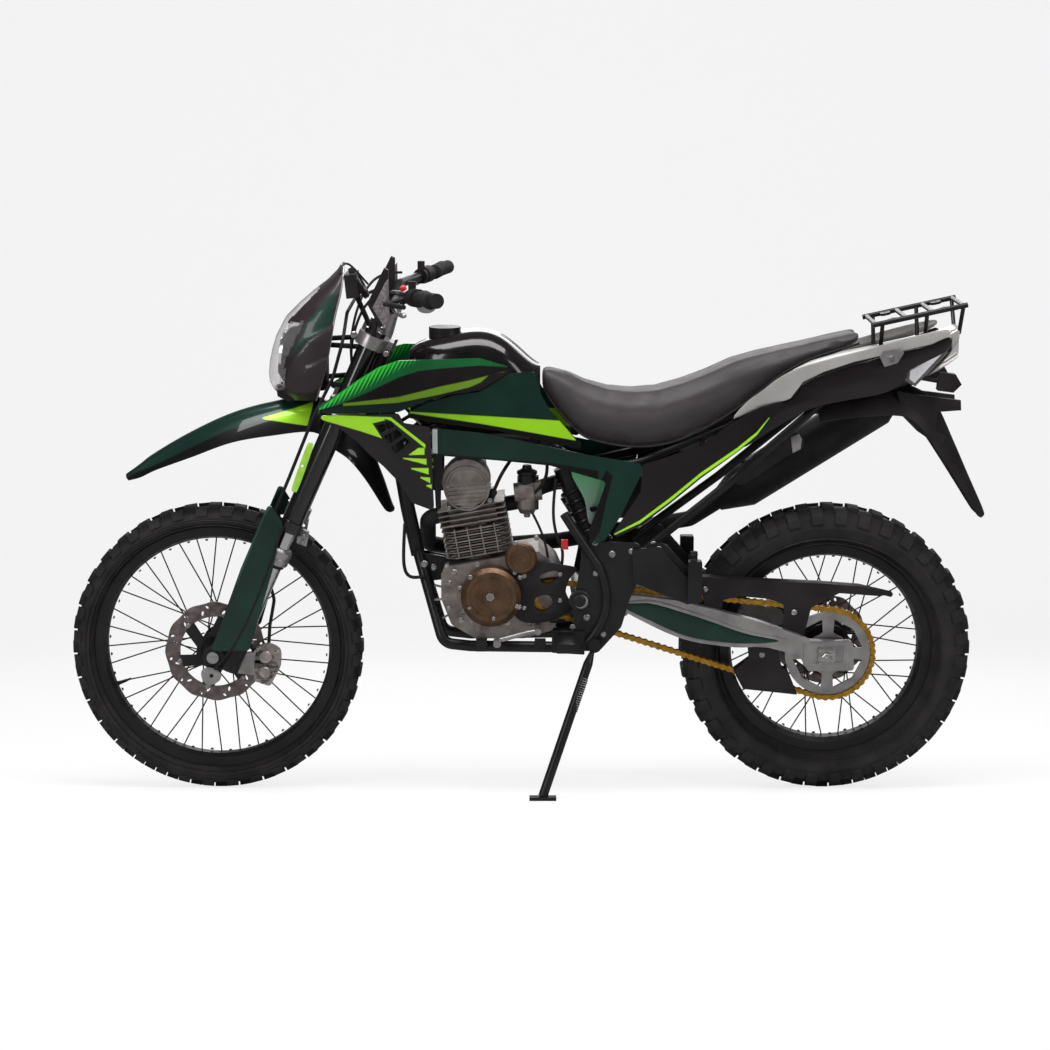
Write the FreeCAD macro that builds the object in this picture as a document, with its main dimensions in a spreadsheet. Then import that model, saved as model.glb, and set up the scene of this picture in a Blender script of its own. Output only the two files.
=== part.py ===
import FreeCAD, Part
import math
import os
import re

import Sketcher
from FreeCAD import Placement, Rotation, Vector

# A dual sport motorcycle, parked on its side stand. Millimetres.
# Every sub-part is drawn on an upright machine: -X is forward, -Y is the rider's left, +Z is up,
# the ground is z = 0 and x = 0 lies halfway between the axles. One placement then leans it all.

SIZES = [
    # The photograph that the side outlines were read from: one scale, one eye.
    ("wheelbase", 1440), ("wheelbase_px", 610), ("middle_px", 521.25), ("eye_px", 525),
    ("horizon_px", 432), ("ground_px", 792), ("eye_distance", 6000),
    # Stance.
    ("lean_angle", 9), ("origin_ahead", -13.7), ("origin_left", 188.7), ("fit_gap", 0.3), ("run_gap", 5), ("overrun", 4),
    # Wheels and tyres.
    ("front_tyre_radius", 345), ("lug_height", 9), ("lug_length", 27),
    ("scallop_radius", 15), ("scallop_depth", 4), ("rear_tyre_radius", 345), ("front_tyre_width", 88),
    ("rear_tyre_width", 122), ("tread_flat", 24), ("front_rim_radius", 291), ("rear_rim_radius", 250),
    ("rim_depth", 28), ("rim_flange", 4), ("front_rim_width", 50), ("rear_rim_width", 68),
    ("rim_well", 7), ("spoke_diameter", 3.2), ("spoke_offset", 2), ("rim_spoke_offset", 5),
    ("spoke_angle", 40),
    ("front_flange_radius", 42), ("front_flange_spread", 62), ("rear_flange_radius", 62),
    ("rear_flange_spread", 78), ("flange_width", 8), ("front_hub_radius", 24),
    ("rear_hub_radius", 44), ("front_hub_width", 104), ("rear_hub_width", 132),
    ("axle_diameter", 17), ("axle_nut_diameter", 28), ("axle_nut_width", 9),
    # Brakes and drive.
    ("front_disc_radius", 121), ("rear_disc_radius", 110), ("disc_thickness", 4),
    ("disc_band", 33), ("disc_hub_radius", 34), ("front_disc_centre", 60), ("rear_disc_centre", 76),
    ("seat_radius", 46), ("seat_width", 5),
    ("chain_line", 80), ("chain_pitch", 15.875), ("rear_teeth", 42), ("front_teeth", 14),
    ("chain_height", 15), ("plate_rise", 1.6), ("chain_width", 17), ("chain_inner_width", 10), ("roller_radius", 5.1),
    ("sprocket_thickness", 6), ("tooth_gap", 1.1), ("sprocket_band", 17),
    # Fork and steering.
    ("rake_angle", 24.2), ("axle_lead", 42), ("clamp_offset", 24), ("fork_spread", 196),
    ("fork_tube_diameter", 50), ("stanchion_diameter", 41), ("fork_tube_start", 345),
    ("fork_tube_end", 856), ("stanchion_start", 50), ("lower_clamp_reach", 660),
    ("upper_clamp_reach", 830), ("clamp_thickness", 30), ("stem_diameter", 30),
    ("head_tube_diameter", 56), ("carrier_width", 40), ("collar_height", 26), ("collar_wall", 6),
    ("steering_lock", 42), ("fender_drop", 70),
    # Handlebar.
    ("bar_diameter", 22.2), ("bar_span", 800), ("bar_clamp_height", 1152), ("bar_clamp_x", -298),
    ("bar_rise", 42), ("bar_end_height", 1208), ("bar_end_x", -183), ("bar_flat", 116),
    ("bar_bend_spread", 250), ("grip_length", 118), ("grip_diameter", 33),
    # Frame.
    ("pivot_x", 139), ("pivot_height", 482), ("pivot_diameter", 20), ("frame_tube_diameter", 34),
    ("rail_diameter", 26), ("backbone_diameter", 46), ("cradle_spread", 190), ("plate_thickness", 10),
    ("subframe_diameter", 20), ("weld_bite", 2), ("post_spread", 150), ("subframe_spread", 160), ("frame_plate_spread", 246), ("tail_spread", 92),
    # Swingarm.
    ("arm_spread", 208), ("arm_thickness", 24), ("pivot_tube_diameter", 40),
    # Side stand.
    ("stand_pivot_x", 170), ("stand_pivot_side", 142), ("stand_pivot_height", 379),
    ("stand_reach_x", 120), ("stand_reach_side", 100), ("stand_diameter", 22),
    ("stand_foot_length", 62), ("stand_foot_width", 40), ("stand_foot_height", 8),
    ("stand_axis_tilt_share", 0.166), ("stand_fold_angle", 98), ("stand_boss_diameter", 34),
    ("stand_boss_width", 14), ("stand_bolt_diameter", 10), ("stand_lug_depth", 4),
    # Engine.
    ("crankcase_width", 172), ("case_corner", 16), ("cylinder_lean", 10), ("barrel_diameter", 98),
    ("barrel_height", 84), ("fin_pitch", 12.5), ("fin_length", 158), ("fin_width", 150),
    ("fin_corner", 24), ("fin_thickness", 3), ("head_height", 62), ("rocker_height", 70), ("cam_cover_diameter", 112),
    ("stator_radius", 70), ("stator_depth", 52), ("starter_radius", 37), ("starter_depth", 34),
    ("starter_end_radius", 28), ("starter_end_depth", 20), ("clutch_radius", 76),
    ("clutch_depth", 62), ("cover_wall", 12), ("header_diameter", 38),
    ("muffler_diameter", 108), ("muffler_side", 165), ("intake_diameter", 36),
    ("airbox_width", 128), ("shock_diameter", 60),
    # Bodywork.
    ("panel_wall", 4), ("panel_corner", 8), ("fender_wall", 4), ("rack_width", 170),
    ("rack_diameter", 12), ("rack_bolt_spacing", 120), ("rack_tab_width", 24), ("rack_hole_diameter", 6.5), ("boss_diameter", 14), ("boss_reach", 110), ("stay_diameter", 12), ("mount_width", 26),
    ("mount_thickness", 8), ("lens_wall", 4), ("lamp_width", 96), ("lamp_depth", 60), ("hose_diameter", 8), ("hose_bend", 30),
    ("caliper_clearance", 4), ("peg_bracket", 9), ("brace_diameter", 28), ("shock_eye", 44),
    ("caliper_width", 50), ("chain_guard_width", 30), ("pod_depth", 28), ("pod_width", 110),
    ("pod_height", 54), ("pod_tilt", 6), ("lamp_thickness", 24), ("lower_shroud_side", 150), ("front_lamp_side", 150), ("rear_lamp_side", 92), ("switch_width", 34), ("lever_reach", 62), ("lever_diameter", 11), ("mirror_hole_diameter", 8.8), ("mirror_hole_depth", 16),
    ("cap_diameter", 74), ("cap_height", 16), ("foot_control_offset", 48), ("peg_end", 226),
    ("peg_width", 44), ("passenger_peg_width", 26),
]

document = FreeCAD.newDocument("DualSportMotorcycle")
sheet = document.addObject("Spreadsheet::Sheet", "Sizes")
for row, (alias, value) in enumerate(SIZES, start=1):
    sheet.set(f"A{row}", alias)
    sheet.set(f"B{row}", str(value))
    sheet.setAlias(f"B{row}", alias)
document.recompute()
NAMES = {alias for alias, value in SIZES}
parts = []


def mm(alias):
    """One size from the sheet, as a number."""
    return float(sheet.get(alias))


def bound(expression):
    """The expression with each size name pointing at its cell."""
    return re.sub(r"[a-z_]{2,}", lambda word: "Sizes." + word[0] if word[0] in NAMES else word[0],
                  str(expression))


def worth(expression):
    """What an expression of size names comes to."""
    value = sheet.evalExpression(bound(expression))
    return float(getattr(value, "Value", value))


def scale():
    """Millimetres to one pixel of the photograph, in the plane of the wheels."""
    return mm("wheelbase") / mm("wheelbase_px")


def spot(px, py, side=0.0):
    """Where a pixel of the photograph lies (x, z) on the plane at that distance left of the middle."""
    near = 1 - side / mm("eye_distance")
    across = (px - mm("eye_px")) * near + mm("eye_px") - mm("middle_px")
    down = (py - mm("horizon_px")) * near + mm("horizon_px")
    return across * scale(), (mm("ground_px") - down) * scale()


def at(px, py, side=0.0):
    """The same spot as a point, side counted to the left."""
    x, z = spot(px, py, side)
    return Vector(x, -side, z)


def park_placement():
    """Leans the upright machine on its stand, the edge of each tread's crown on the ground."""
    rise = mm("tread_flat") / 2 * math.sin(math.radians(mm("lean_angle")))
    return Placement(Vector(mm("origin_ahead"), mm("origin_left"), rise),
                     Rotation(Vector(1, 0, 0), mm("lean_angle")))


PARK = park_placement()


def keep(item, label, local=Placement()):
    """Names a finished sub-part, stands it in its place and lists it for export."""
    item.Label = label
    item.Placement = PARK.multiply(local)
    parts.append(item)
    return item


def solid_part(label, shape, local=Placement()):
    """A sub-part whose shape is made in code, where no sketch feature fits."""
    item = document.addObject("Part::Feature", label)
    item.Shape = shape
    return keep(item, label, local)


def new_body(name):
    return document.addObject("PartDesign::Body", name)


def sketch_on(body, role, offset=("0", "0", "0")):
    """A sketch on one of the body's own origin planes, shifted by bound offsets."""
    sketch = body.newObject("Sketcher::SketchObject", "Outline")
    plane = next(item for item in body.Origin.OriginFeatures if item.Role == role)
    sketch.AttachmentSupport = (plane, "")
    sketch.MapMode = "FlatFace"
    for axis, expression in zip("xyz", offset):
        if expression != "0":
            sketch.setExpression(f"AttachmentOffset.Base.{axis}", bound(expression))
    return sketch


def hold(sketch, kind, index, place, expression):
    """Pins one coordinate of a sketch point to an expression of sizes."""
    value = worth(expression)
    if value == 0:
        line = -1 if kind == "DistanceY" else -2
        sketch.addConstraint(Sketcher.Constraint("PointOnObject", index, place, line))
        return
    number = sketch.addConstraint(Sketcher.Constraint(kind, -1, 1, index, place, value))
    sketch.setExpression(f"Constraints[{number}]", bound(expression))


def draw_polygon(sketch, points):
    """A closed outline, each corner bound to the sheet."""
    values = [Vector(worth(x), worth(y), 0) for x, y in points]
    first = sketch.GeometryCount
    count = len(points)
    for index in range(count):
        sketch.addGeometry(Part.LineSegment(values[index], values[(index + 1) % count]))
    for index in range(count):
        follower = first + (index + 1) % count
        sketch.addConstraint(Sketcher.Constraint("Coincident", first + index, 2, follower, 1))
    for index, (x, y) in enumerate(points):
        hold(sketch, "DistanceX", first + index, 1, x)
        hold(sketch, "DistanceY", first + index, 1, y)


def draw_circle(sketch, x, y, radius):
    """A circle bound to the sheet by its centre and radius."""
    middle = Vector(worth(x), worth(y), 0)
    index = sketch.addGeometry(Part.Circle(middle, Vector(0, 0, 1), worth(radius)))
    number = sketch.addConstraint(Sketcher.Constraint("Radius", index, worth(radius)))
    sketch.setExpression(f"Constraints[{number}]", bound(radius))
    hold(sketch, "DistanceX", index, 3, x)
    hold(sketch, "DistanceY", index, 3, y)


def pad(body, sketch, length, midplane=True, backwards=False):
    feature = body.newObject("PartDesign::Pad", "Pad")
    feature.Profile = sketch
    feature.setExpression("Length", bound(length))
    feature.Midplane = midplane
    feature.Reversed = backwards
    return feature


def revolve(body, sketch):
    """Turns an outline about the sketch's own horizontal axis."""
    feature = body.newObject("PartDesign::Revolution", "Turn")
    feature.Profile = sketch
    feature.ReferenceAxis = (sketch, ["H_Axis"])
    feature.Angle = 360
    return feature


def turned(label, outline, middle=("0", "0")):
    """A round body about an axis along Y through middle: outline points are (along it, out from it)."""
    body = new_body(label)
    x, z = middle
    sketch = sketch_on(body, "YZ_Plane", ("0", z, x))
    draw_polygon(sketch, outline)
    revolve(body, sketch)
    return body


def axle_at(end):
    """The wheel's own place: its centre, front or rear."""
    x = -mm("wheelbase") / 2 if end == "front" else mm("wheelbase") / 2
    return Placement(Vector(x, 0, mm(f"{end}_tyre_radius")), Rotation())


def tyre(end):
    """A dirt tyre: a carcass seated in the rim between its flanges, with rows of lugs fused to it."""
    radius = f"{end}_tyre_radius"
    width = f"{end}_tyre_width"
    rim = f"{end}_rim_radius"
    bead = f"({end}_rim_width / 2 - rim_flange)"
    seat = f"({rim} - rim_well)"
    wall = f"({radius} - {rim})"
    right = [(bead, seat), (bead, rim), (f"{width} * 0.46", f"{rim} + {wall} * 0.22"),
             (f"{width} * 0.49", f"{rim} + {wall} * 0.46"),
             (f"{width} * 0.44", f"{radius} - {wall} * 0.2 - lug_height * 0.8"),
             (f"{width} * 0.26", f"{radius} - {wall} * 0.05 - lug_height"),
             ("tread_flat / 2", f"{radius} - lug_height")]
    left = [(f"-{x}", z) for x, z in reversed(right)]
    body = turned("Carcass", right + left)
    document.recompute()
    moulded_tyre = document.addObject("Part::Feature", "Tyre")
    moulded_tyre.Shape = body.Shape.fuse(lugs(end))
    keep(moulded_tyre, f"{end}_tyre", axle_at(end))


LUG_STEP_DEGREES = 10
CENTRE_LUG_SHARES = [(0.23, 0.05)]
SHOULDER_LUG_SHARES = [(0.3, 0.07), (0.46, 0.22), (0.5, 0.42), (0.45, 0.46)]


def lugs(end):
    """One centre block and a pair of shoulder blocks at each step round the tread, their tips on its outline."""
    radius = mm(f"{end}_tyre_radius")
    width = mm(f"{end}_tyre_width")
    wall_height = radius - mm(f"{end}_rim_radius")
    deep = mm("lug_height") * 2
    half_flat = mm("tread_flat") / 2
    slope = wall_height * 0.05 / (width * 0.28 - half_flat)
    share = CENTRE_LUG_SHARES[0][0]
    edge = (width * share, radius - slope * (width * share - half_flat))
    crown = [(half_flat, radius), edge, (edge[0], radius - deep)]
    centre = crown + [(-across, out) for across, out in reversed(crown)]
    shoulder = [(width * across, radius - wall_height * down) for across, down in SHOULDER_LUG_SHARES]
    shoulder.append((width * SHOULDER_LUG_SHARES[0][0], radius - wall_height * 0.3))
    blocks = []
    for step in range(0, 360, LUG_STEP_DEGREES):
        blocks.append(lug_block(centre, step - 90))
        for hand in (1, -1):
            outline = [(across * hand, out) for across, out in shoulder]
            blocks.append(lug_block(outline, step - 90 + LUG_STEP_DEGREES / 2))
    return blocks


def lug_block(outline, degrees):
    """A block with that outline across and out from the axle, at that angle round the wheel."""
    half = mm("lug_length") / 2
    corners = [Vector(-half, across, out) for across, out in outline]
    block = Part.Face(Part.makePolygon(corners + corners[:1])).extrude(Vector(half * 2, 0, 0))
    block.Placement = Placement(Vector(), Rotation(Vector(0, 1, 0), -degrees + 90))
    return block


def rim(end):
    """A drop-centre rim with its two flanges."""
    half = f"{end}_rim_width / 2"
    outer = f"{end}_rim_radius"
    well = f"{outer} - rim_well - fit_gap"
    inner = f"{outer} - rim_depth"
    right = [(half, outer), (half, f"{inner} + rim_well"), (f"{half} * 0.45", inner)]
    left = [(f"-({x})", z) for x, z in reversed(right)]
    lip = f"({half} - rim_flange + fit_gap)"
    body = turned("Rim", right + left + [(f"-{lip}", outer), (f"-{lip}", well), (lip, well), (lip, outer)])
    rods = document.addObject("Part::Feature", "Spokes")
    rods.Shape = spokes(end)
    laced = document.addObject("Part::Compound", "LacedRim")
    laced.Links = [body, rods]
    keep(laced, f"{end}_rim", axle_at(end))


def hub(end, left_seat, right_seat):
    """A hub: barrel, two spoke flanges, a bore for the axle, and seats for what bolts to it."""
    radius = f"{end}_hub_radius"
    flange_radius = f"{end}_flange_radius"
    inside = f"{end}_flange_spread / 2 - flange_width / 2"
    outside = f"{end}_flange_spread / 2 + flange_width / 2"
    bore = "axle_diameter / 2 + fit_gap"
    sides = []
    for seat in (right_seat, left_seat):
        reach = f"{end}_hub_width / 2" if seat is None else f"{seat} - seat_width"
        side = [(inside, radius), (inside, flange_radius), (outside, flange_radius),
                (outside, f"{radius} * 0.95"), (reach, f"{radius} * 0.9")]
        if seat is not None:
            side += [(reach, "seat_radius"), (seat, "seat_radius")]
        side.append((seat or reach, bore))
        sides.append(side)
    right, left = sides
    mirrored = [(f"-({x})", z) for x, z in reversed(left)]
    keep(turned("Hub", right + mirrored), f"{end}_hub", axle_at(end))


def spokes(end):
    """Thirty-six spokes, laced two ways from each flange, each clear of the one it crosses."""
    radius = mm("spoke_diameter") / 2
    hub_edge = mm(f"{end}_flange_radius") + radius + mm("fit_gap")
    rim_edge = mm(f"{end}_rim_radius") - mm("rim_depth") - mm("fit_gap") * 2
    lacing = mm("spoke_angle")
    rods = []
    for number in range(36):
        side = 1 if number % 2 else -1
        lead = 1 if (number // 2) % 2 else -1
        start = math.radians(number * 10)
        finish = math.radians(number * 10 + lead * lacing)
        lift = mm("spoke_offset") * lead
        at_hub = side * (mm(f"{end}_flange_spread") / 2 + lift)
        at_rim = side * (mm("rim_spoke_offset") + lift)
        foot = Vector(hub_edge * math.cos(start), at_hub, hub_edge * math.sin(start))
        head = Vector(rim_edge * math.cos(finish), at_rim, rim_edge * math.sin(finish))
        run = head - foot
        rods.append(Part.makeCylinder(radius, run.Length, foot, run))
    return Part.makeCompound(rods)


def ring_point(radius, degrees):
    """A point on a circle about the sketch's origin, as two expressions."""
    return f"({radius}) * cos({degrees})", f"({radius}) * sin({degrees})"


def disc_face(end):
    """How far out the inner face of a brake disc lies, less its seating gap."""
    return f"{end}_disc_centre - disc_thickness / 2 - fit_gap"


def brake_disc(end):
    """A disc: a braking band on six arms from its bolting ring."""
    body = new_body("Disc")
    sketch = sketch_on(body, "XZ_Plane")
    draw_circle(sketch, "0", "0", f"{end}_disc_radius")
    draw_circle(sketch, "0", "0", "disc_hub_radius")
    pad(body, sketch, "disc_thickness")
    window = sketch_on(body, "XZ_Plane")
    inner = "disc_hub_radius + disc_band * 0.45"
    outer = f"{end}_disc_radius - disc_band"
    draw_polygon(window, [ring_point(inner, 14), ring_point(outer, 6), ring_point(outer, 30),
                          ring_point(outer, 52), ring_point(inner, 38)])
    cut = body.newObject("PartDesign::Pocket", "Window")
    cut.Profile = window
    cut.Type = 1
    cut.Midplane = True
    document.recompute()
    spread = body.newObject("PartDesign::PolarPattern", "Windows")
    spread.Originals = [cut]
    spread.Axis = (window, ["N_Axis"])
    spread.Angle = 360
    spread.Occurrences = 6
    body.Tip = spread
    scallop = sketch_on(body, "XZ_Plane")
    draw_circle(scallop, f"{end}_disc_radius + scallop_radius - scallop_depth", "0", "scallop_radius")
    bite = body.newObject("PartDesign::Pocket", "Scallop")
    bite.Profile = scallop
    bite.Type = 1
    bite.Midplane = True
    document.recompute()
    waves = body.newObject("PartDesign::PolarPattern", "Waves")
    waves.Originals = [bite]
    waves.Axis = (scallop, ["N_Axis"])
    waves.Angle = 360
    waves.Occurrences = 12
    body.Tip = waves
    side = -mm("front_disc_centre") if end == "front" else mm("rear_disc_centre")
    keep(body, f"{end}_disc", axle_at(end).multiply(Placement(Vector(0, side, 0), Rotation())))


def pitch_radius(teeth):
    """Pitch radius of a sprocket with that many teeth."""
    return f"(chain_pitch / 2 / sin(180 / {teeth}))"


def rear_sprocket():
    """The driven sprocket; its teeth stand inside the chain's rollers."""
    body = new_body("rear_sprocket")
    sketch = sketch_on(body, "XZ_Plane")
    tip = f"{pitch_radius('rear_teeth')} - roller_radius - tooth_gap"
    draw_circle(sketch, "0", "0", tip)
    draw_circle(sketch, "0", "0", "disc_hub_radius")
    pad(body, sketch, "sprocket_thickness")
    window = sketch_on(body, "XZ_Plane")
    outer = f"{tip} - sprocket_band"
    inner = "disc_hub_radius + sprocket_band"
    draw_polygon(window, [ring_point(inner, 14), ring_point(outer, 10), ring_point(outer, 45),
                          ring_point(outer, 80), ring_point(inner, 76), ring_point(inner, 45)])
    cut = body.newObject("PartDesign::Pocket", "Window")
    cut.Profile = window
    cut.Type = 1
    cut.Midplane = True
    document.recompute()
    spread = body.newObject("PartDesign::PolarPattern", "Windows")
    spread.Originals = [cut]
    spread.Axis = (window, ["N_Axis"])
    spread.Angle = 360
    spread.Occurrences = 4
    body.Tip = spread
    keep(body, "rear_sprocket", axle_at("rear").multiply(Placement(Vector(0, -mm("chain_line"), 0), Rotation())))


def belt_face(front, front_radius, rear, rear_radius):
    """The flat region wrapped round two circles by an open-belt outline."""
    run = rear - front
    reach = run.Length
    tilt = math.atan2(run.z, run.x)
    lean = math.acos((rear_radius - front_radius) / reach)
    up = Vector(math.cos(tilt + math.pi - lean), 0, math.sin(tilt + math.pi - lean))
    down = Vector(math.cos(tilt - math.pi + lean), 0, math.sin(tilt - math.pi + lean))
    back = Vector(math.cos(tilt), 0, math.sin(tilt))
    edges = [Part.LineSegment(front + up * front_radius, rear + up * rear_radius).toShape(),
             Part.Arc(rear + up * rear_radius, rear + back * rear_radius, rear + down * rear_radius).toShape(),
             Part.LineSegment(rear + down * rear_radius, front + down * front_radius).toShape(),
             Part.Arc(front + down * front_radius, front - back * front_radius,
                      front + up * front_radius).toShape()]
    return Part.Face(Part.Wire(edges))


def belt_band(ends, outer_lift, inner_lift, width, side):
    """A loop of chain section: between two offsets of the pitch line, that wide."""
    front, front_radius, rear, rear_radius = ends
    outside = belt_face(front, front_radius + outer_lift, rear, rear_radius + outer_lift)
    inside = belt_face(front, front_radius - inner_lift, rear, rear_radius - inner_lift)
    band = outside.cut(inside).extrude(Vector(0, width, 0))
    band.translate(Vector(0, side - width / 2, 0))
    return band


def chain_ends():
    """Centres and pitch radii of the two sprockets on the upright machine."""
    front_x, front_z = spot(*FRONT_SPROCKET_PX)
    rear_x = mm("wheelbase") / 2
    return (Vector(front_x, 0, front_z), worth(pitch_radius("front_teeth")),
            Vector(rear_x, 0, mm("rear_tyre_radius")), worth(pitch_radius("rear_teeth")))


FRONT_SPROCKET_PX = (550, 588)


def chain():
    """The drive chain as one fixed loop: two rows of plates held apart by the rollers."""
    ends = chain_ends()
    half = mm("chain_height") / 2
    plate = (mm("chain_width") - mm("chain_inner_width")) / 2
    side = mm("chain_line")
    offset = (mm("chain_inner_width") + plate) / 2
    loop = belt_band(ends, half, half, plate, -side - offset)
    loop = loop.fuse(belt_band(ends, half, half, plate, -side + offset))
    loop = loop.fuse(belt_band(ends, mm("roller_radius"), mm("roller_radius"),
                               mm("chain_inner_width"), -side))
    solid_part("chain", loop.fuse(outer_plates(ends)))


def outer_plates(ends):
    """The outer side plates: one pair on every second link, proud of the inner plates."""
    track = belt_face(*ends).OuterWire
    pairs = round(track.Length / mm("chain_pitch") / 2)
    pins = track.discretize(Number=pairs * 4 + 1)
    long_share = 0.9
    height = mm("chain_height") * 0.8
    blocks = []
    for pair in range(pairs):
        first, last = pins[pair * 4], pins[pair * 4 + 2]
        along = last - first
        across = Vector(along.z, 0, -along.x).normalize() * (height / 2)
        reach = along * (long_share / 2)
        middle = (first + last) / 2
        ring = [middle - reach - across, middle + reach - across, middle + reach + across,
                middle - reach + across]
        proud = mm("plate_rise")
        for hand in (1, -1):
            side = mm("chain_line") + hand * (mm("chain_width") / 2 + proud / 2 - mm("weld_bite") / 4)
            corners = [point + Vector(0, -side - proud / 2, 0) for point in ring]
            blocks.append(Part.Face(Part.makePolygon(corners + corners[:1])).extrude(Vector(0, proud, 0)))
    return blocks


def steer_up():
    """Unit vector up the fork legs."""
    rake = math.radians(mm("rake_angle"))
    return Vector(math.sin(rake), 0, math.cos(rake))


def steer_back():
    """Unit vector square to the legs, to the rear."""
    rake = math.radians(mm("rake_angle"))
    return Vector(math.cos(rake), 0, -math.sin(rake))


def leg_point(reach, back=0.0, side=0.0):
    """A point by the fork: that far up the legs from the axle's level, behind them and left."""
    axle = axle_at("front").Base
    return axle + steer_back() * (mm("axle_lead") + back) + steer_up() * reach + Vector(0, -side, 0)


def fork_frame(reach, back=0.0, side=0.0):
    """A placement whose Z runs up the legs and whose X points to the rear."""
    return Placement(leg_point(reach, back, side), Rotation(Vector(0, 1, 0), mm("rake_angle")))


def fork_tubes():
    """The two outer tubes of the upside-down fork, with the collars at their lower ends."""
    shapes = []
    radius = mm("fork_tube_diameter") / 2
    for side in (1, -1):
        foot = leg_point(mm("fork_tube_start"), 0, side * mm("fork_spread") / 2)
        length = mm("fork_tube_end") - mm("fork_tube_start")
        tube = Part.makeCylinder(radius, length, foot, steer_up())
        collar = Part.makeCylinder(radius + mm("collar_wall"), mm("collar_height"), foot, steer_up())
        bore = Part.makeCylinder(mm("stanchion_diameter") / 2 + mm("fit_gap"), length - mm("collar_height"),
                                 foot, steer_up())
        shapes.append(tube.fuse(collar).cut(bore))
    tubes = Part.makeCompound(shapes)
    solid_part("fork_tubes", tubes)
    return tubes


def fork_stanchions():
    """The chromed inner legs, from the axle carriers up into the tubes."""
    shapes = []
    for side in (1, -1):
        foot = leg_point(mm("stanchion_start"), 0, side * mm("fork_spread") / 2)
        top = mm("fork_tube_end") - mm("fork_tube_start") * 0.4
        shapes.append(Part.makeCylinder(mm("stanchion_diameter") / 2, top - mm("stanchion_start"),
                                        foot, steer_up()))
    solid_part("fork_stanchions", Part.makeCompound(shapes))


def axle_carriers():
    """The castings that clamp the front axle ahead of the legs."""
    shapes = []
    frame = Rotation(Vector(0, 1, 0), mm("rake_angle"))
    width = mm("carrier_width")
    boss = mm("stanchion_diameter") * 0.62
    for side in (1, -1):
        middle = side * mm("fork_spread") / 2
        socket = Part.makeCylinder(boss, boss * 3.2, leg_point(-boss * 0.7, 0, middle), steer_up())
        hole = Part.makeCylinder(mm("stanchion_diameter") / 2 + mm("fit_gap") / 3, boss * 4,
                                 leg_point(mm("stanchion_start") - mm("fit_gap"), 0, middle), steer_up())
        eye = Part.makeCylinder(boss, width, axle_at("front").Base - Vector(0, middle + width / 2, 0),
                                Vector(0, 1, 0))
        web = Part.makeBox(mm("axle_lead"), width * 0.8, boss * 1.5)
        web.Placement = Placement(leg_point(-boss * 0.75, -mm("axle_lead"), middle + width * 0.4), frame)
        casting = socket.fuse([eye, web]).cut(hole)
        axle_bore = Part.makeCylinder(mm("axle_diameter") / 2 + mm("fit_gap") / 3, width * 2,
                                      axle_at("front").Base - Vector(0, middle + width, 0), Vector(0, 1, 0))
        shapes.append(casting.cut(axle_bore))
    castings = Part.makeCompound(shapes)
    solid_part("axle_carriers", castings)
    return castings


def bolt_outline(half, radius, head):
    """Half a bolt's outline, with a head beyond each end: (along it, out from it)."""
    far = f"{half} + axle_nut_width"
    return [(f"-({far})", "0"), (f"-({far})", head), (f"-({half})", head), (f"-({half})", radius),
            (half, radius), (half, head), (far, head), (far, "0")]


def axle(end, span):
    """A wheel spindle with a nut at each end."""
    half = f"({span}) / 2"
    middle = ("-wheelbase / 2" if end == "front" else "wheelbase / 2", f"{end}_tyre_radius")
    return turned("Axle", bolt_outline(half, "axle_diameter / 2", "axle_nut_diameter / 2"), middle)


def group(label, members):
    """Sub-parts of one kind that share a node."""
    bundle = document.addObject("Part::Compound", label)
    bundle.Links = members
    keep(bundle, label)


def clamp_plate(reach, thickness):
    """A triple clamp: a waisted plate holding both legs and the stem."""
    spread = mm("fork_spread") / 2
    outer = mm("fork_tube_diameter") * 0.72
    plate = Part.makeBox(mm("clamp_offset") + outer, spread * 2, thickness,
                         Vector(-outer * 0.35, -spread, -thickness / 2))
    stem_boss = Part.makeCylinder(mm("head_tube_diameter") * 0.55, thickness,
                                  Vector(mm("clamp_offset"), 0, -thickness / 2))
    shape = plate.fuse(stem_boss)
    for side in (1, -1):
        ear = Part.makeCylinder(outer, thickness, Vector(0, side * spread, -thickness / 2))
        shape = shape.fuse(ear)
    for side in (1, -1):
        hole = Part.makeCylinder(mm("fork_tube_diameter") / 2 + mm("fit_gap") / 3, thickness * 2,
                                 Vector(0, side * spread, -thickness))
        shape = shape.cut(hole)
    shape.Placement = fork_frame(reach)
    return shape.removeSplitter()


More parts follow.
